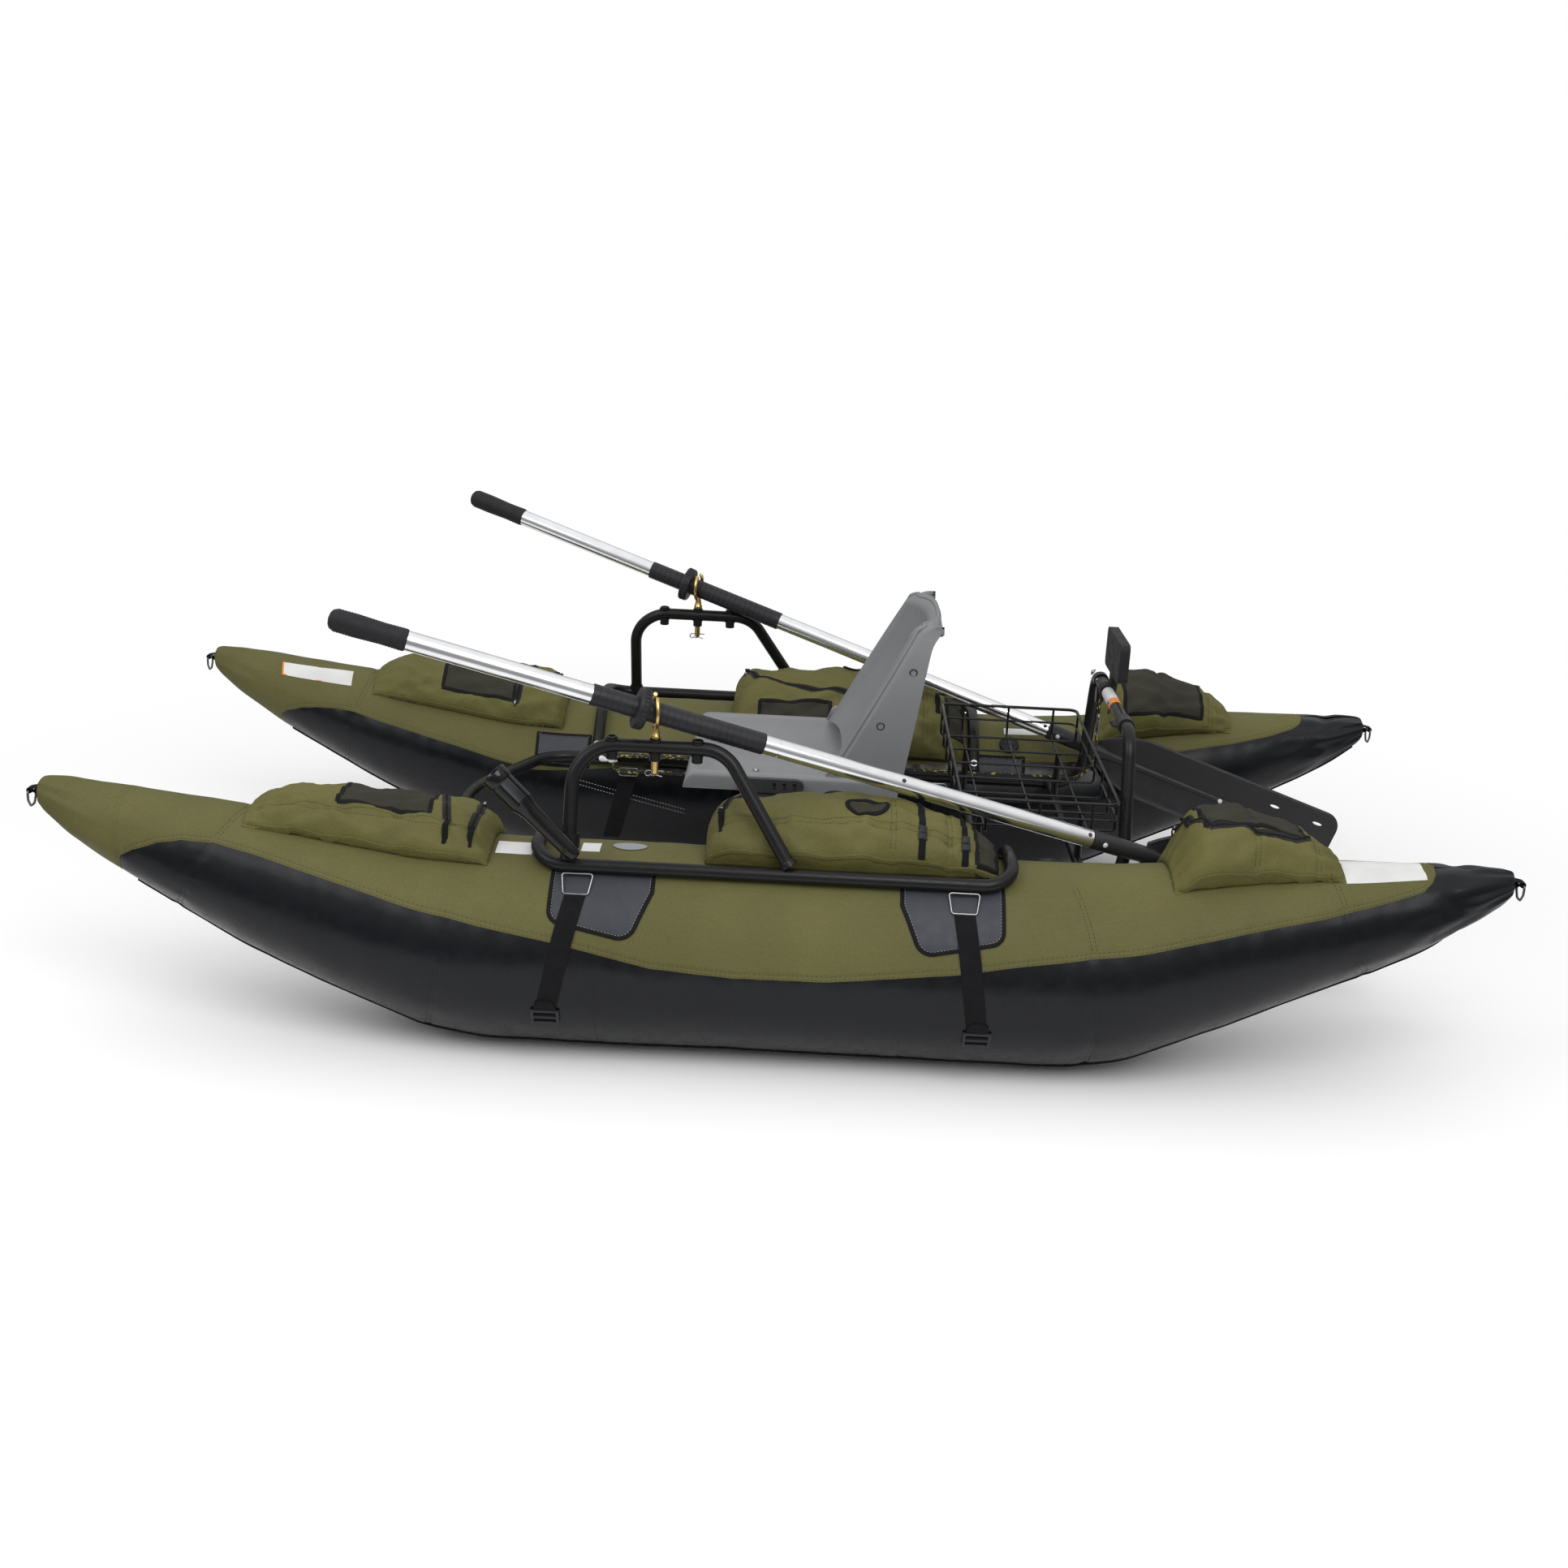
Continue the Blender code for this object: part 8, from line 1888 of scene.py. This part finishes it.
def make_camera():
    yaw, pitch, roll = (math.radians(a) for a in CAMERA_TURNS)
    look = Vector((-math.sin(yaw) * math.cos(pitch), math.cos(yaw) * math.cos(pitch), -math.sin(pitch)))
    level = look.cross(Vector((0, 0, 1))).normalized()
    rise = level.cross(look)
    right = level * math.cos(roll) + rise * math.sin(roll)
    up = rise * math.cos(roll) - level * math.sin(roll)
    lens = bpy.data.cameras.new("view")
    lens.sensor_width = SENSOR
    lens.lens = SENSOR * FOCAL_PIXELS / FRAME_PIXELS
    camera = placed("view", lens)
    camera.matrix_world = Matrix.Translation(CAMERA_PLACE) @ Matrix((right, up, -look)).transposed().to_4x4()
    bpy.context.scene.camera = camera


def make_world():
    """White as the camera sees it; for all other rays a sky that dims towards the horizon."""
    world = bpy.data.worlds.new("studio")
    bpy.context.scene.world = world
    world.use_nodes = True
    tree = world.node_tree
    tree.nodes.clear()
    rays = add_node(tree, "LightPath").outputs
    seen = add_node(tree, "Math", {0: rays["Is Camera Ray"], 1: rays["Is Transmission Ray"]}, operation="MAXIMUM")
    split = add_node(tree, "SeparateXYZ", {0: add_node(tree, "TexCoord").outputs["Generated"]})
    ramp = add_node(tree, "MapRange", {"Value": split.outputs["Z"], "From Min": 0.0, "From Max": 0.85,
                                       "To Min": 0.26, "To Max": 1.0})
    level = add_node(tree, "Mix", {0: seen.outputs[0], 2: ramp.outputs["Result"], 3: 1.0}, data_type="FLOAT")
    light = add_node(tree, "Background", {"Color": (1, 1, 1, 1), "Strength": level.outputs[0]})
    add_node(tree, "OutputWorld", {"Surface": light.outputs[0]})


def make_lamp(name, place, power):
    """A round soft lamp aimed at the boat."""
    lamp = bpy.data.lights.new(name, "AREA")
    lamp.shape, lamp.size, lamp.energy = "DISK", 2.6, power
    aim = (Vector((0, 0, 0.3)) - Vector(place)).to_track_quat("-Z", "Y")
    placed(name, lamp).matrix_world = Matrix.Translation(place) @ aim.to_matrix().to_4x4()


def make_floor():
    """A round white floor that glows towards its rim, so that it melts into the backdrop."""
    rings, sides = (0.4, 1.0, 2.0, 4.0, 9.0, 20.0, 60.0), 64
    points = [(0.0, 0.0, 0.0)]
    points += [(radius * math.cos(a), radius * math.sin(a), 0.0) for radius in rings for a in circle(sides)]
    faces = [(0, 1 + k, 1 + (k + 1) % sides) for k in range(sides)]
    for a in range(1, 1 + (len(rings) - 1) * sides, sides):
        b = a + sides
        faces += [(a + k, b + k, b + (k + 1) % sides, a + (k + 1) % sides) for k in range(sides)]
    mesh = bpy.data.meshes.new("floor")
    mesh.from_pydata(points, [], faces)
    made = bpy.data.materials.new("floor")
    made.use_nodes = True
    tree = made.node_tree
    tree.nodes.clear()
    length = add_node(tree, "VectorMath", {0: add_node(tree, "TexCoord").outputs["Object"]}, operation="LENGTH")
    fade = add_node(tree, "MapRange", {"Value": length.outputs["Value"], "From Min": 1.2, "From Max": 2.6},
                    interpolation_type="SMOOTHSTEP")
    matte = add_node(tree, "BsdfDiffuse", {"Color": (0.93, 0.93, 0.93, 1)})
    seen = add_node(tree, "LightPath").outputs["Is Camera Ray"]
    level = add_node(tree, "MapRange", {"Value": seen, "To Min": 0.3})
    glow = add_node(tree, "Emission", {"Strength": level.outputs["Result"]})
    mix = add_node(tree, "MixShader", {0: fade.outputs["Result"], 1: matte.outputs[0], 2: glow.outputs[0]})
    add_node(tree, "OutputMaterial", {"Surface": mix.outputs[0]})
    mesh.materials.append(made)
    placed("floor", mesh)


def dress_cad():
    """Surface the CAD solids whose form stays."""
    plain = {"seat_side_bracket": "dark_grey", "rod_holder_clamp": "black_steel",
             "anchor_pulley_bracket": "black_steel", "motor_board": "grip", "notched_cleat": "black_plastic"}
    for node, surface in plain.items():
        for made in bpy.data.objects:
            if made.type == "MESH" and made.name == node:
                made.material_slots[0].material = MATERIAL[surface]


def main():
    bpy.context.scene.view_settings.view_transform = "Standard"
    make_camera()
    make_rope()
    make_hank_ties()
    for name, side in SIDES.items():
        make_cover(name, side)
        make_bladder(name, side)
        make_side_rail(name, side)
        make_arch(name, side)
        make_pad("front_" + name, side, -0.3)
        make_pad("rear_" + name, side, 0.325)
        make_strap("front_" + name, side, -0.345, -0.047)
        make_strap("rear_" + name, side, 0.345, 0.035)
        make_inner_patches(name, side)
        make_oar(name, side)
        make_oarlock(name, side)
        make_valve_cap(name, side)
        for end in (-1, 1):
            make_tow_ring(name, side, end)
    make_foot_bar()
    make_rear_frame()
    make_seat_frame()
    make_seat()
    make_basket()
    make_rod_holder()
    make_sheave_and_hook()
    for tag in BAG_FORM:
        make_bags(tag)
    dress_cad()
    make_world()
    make_lamp("key", (1.1, -3.0, 3.3), 62.0)
    make_lamp("fill", (-2.6, -1.9, 2.9), 34.0)
    make_floor()


main()
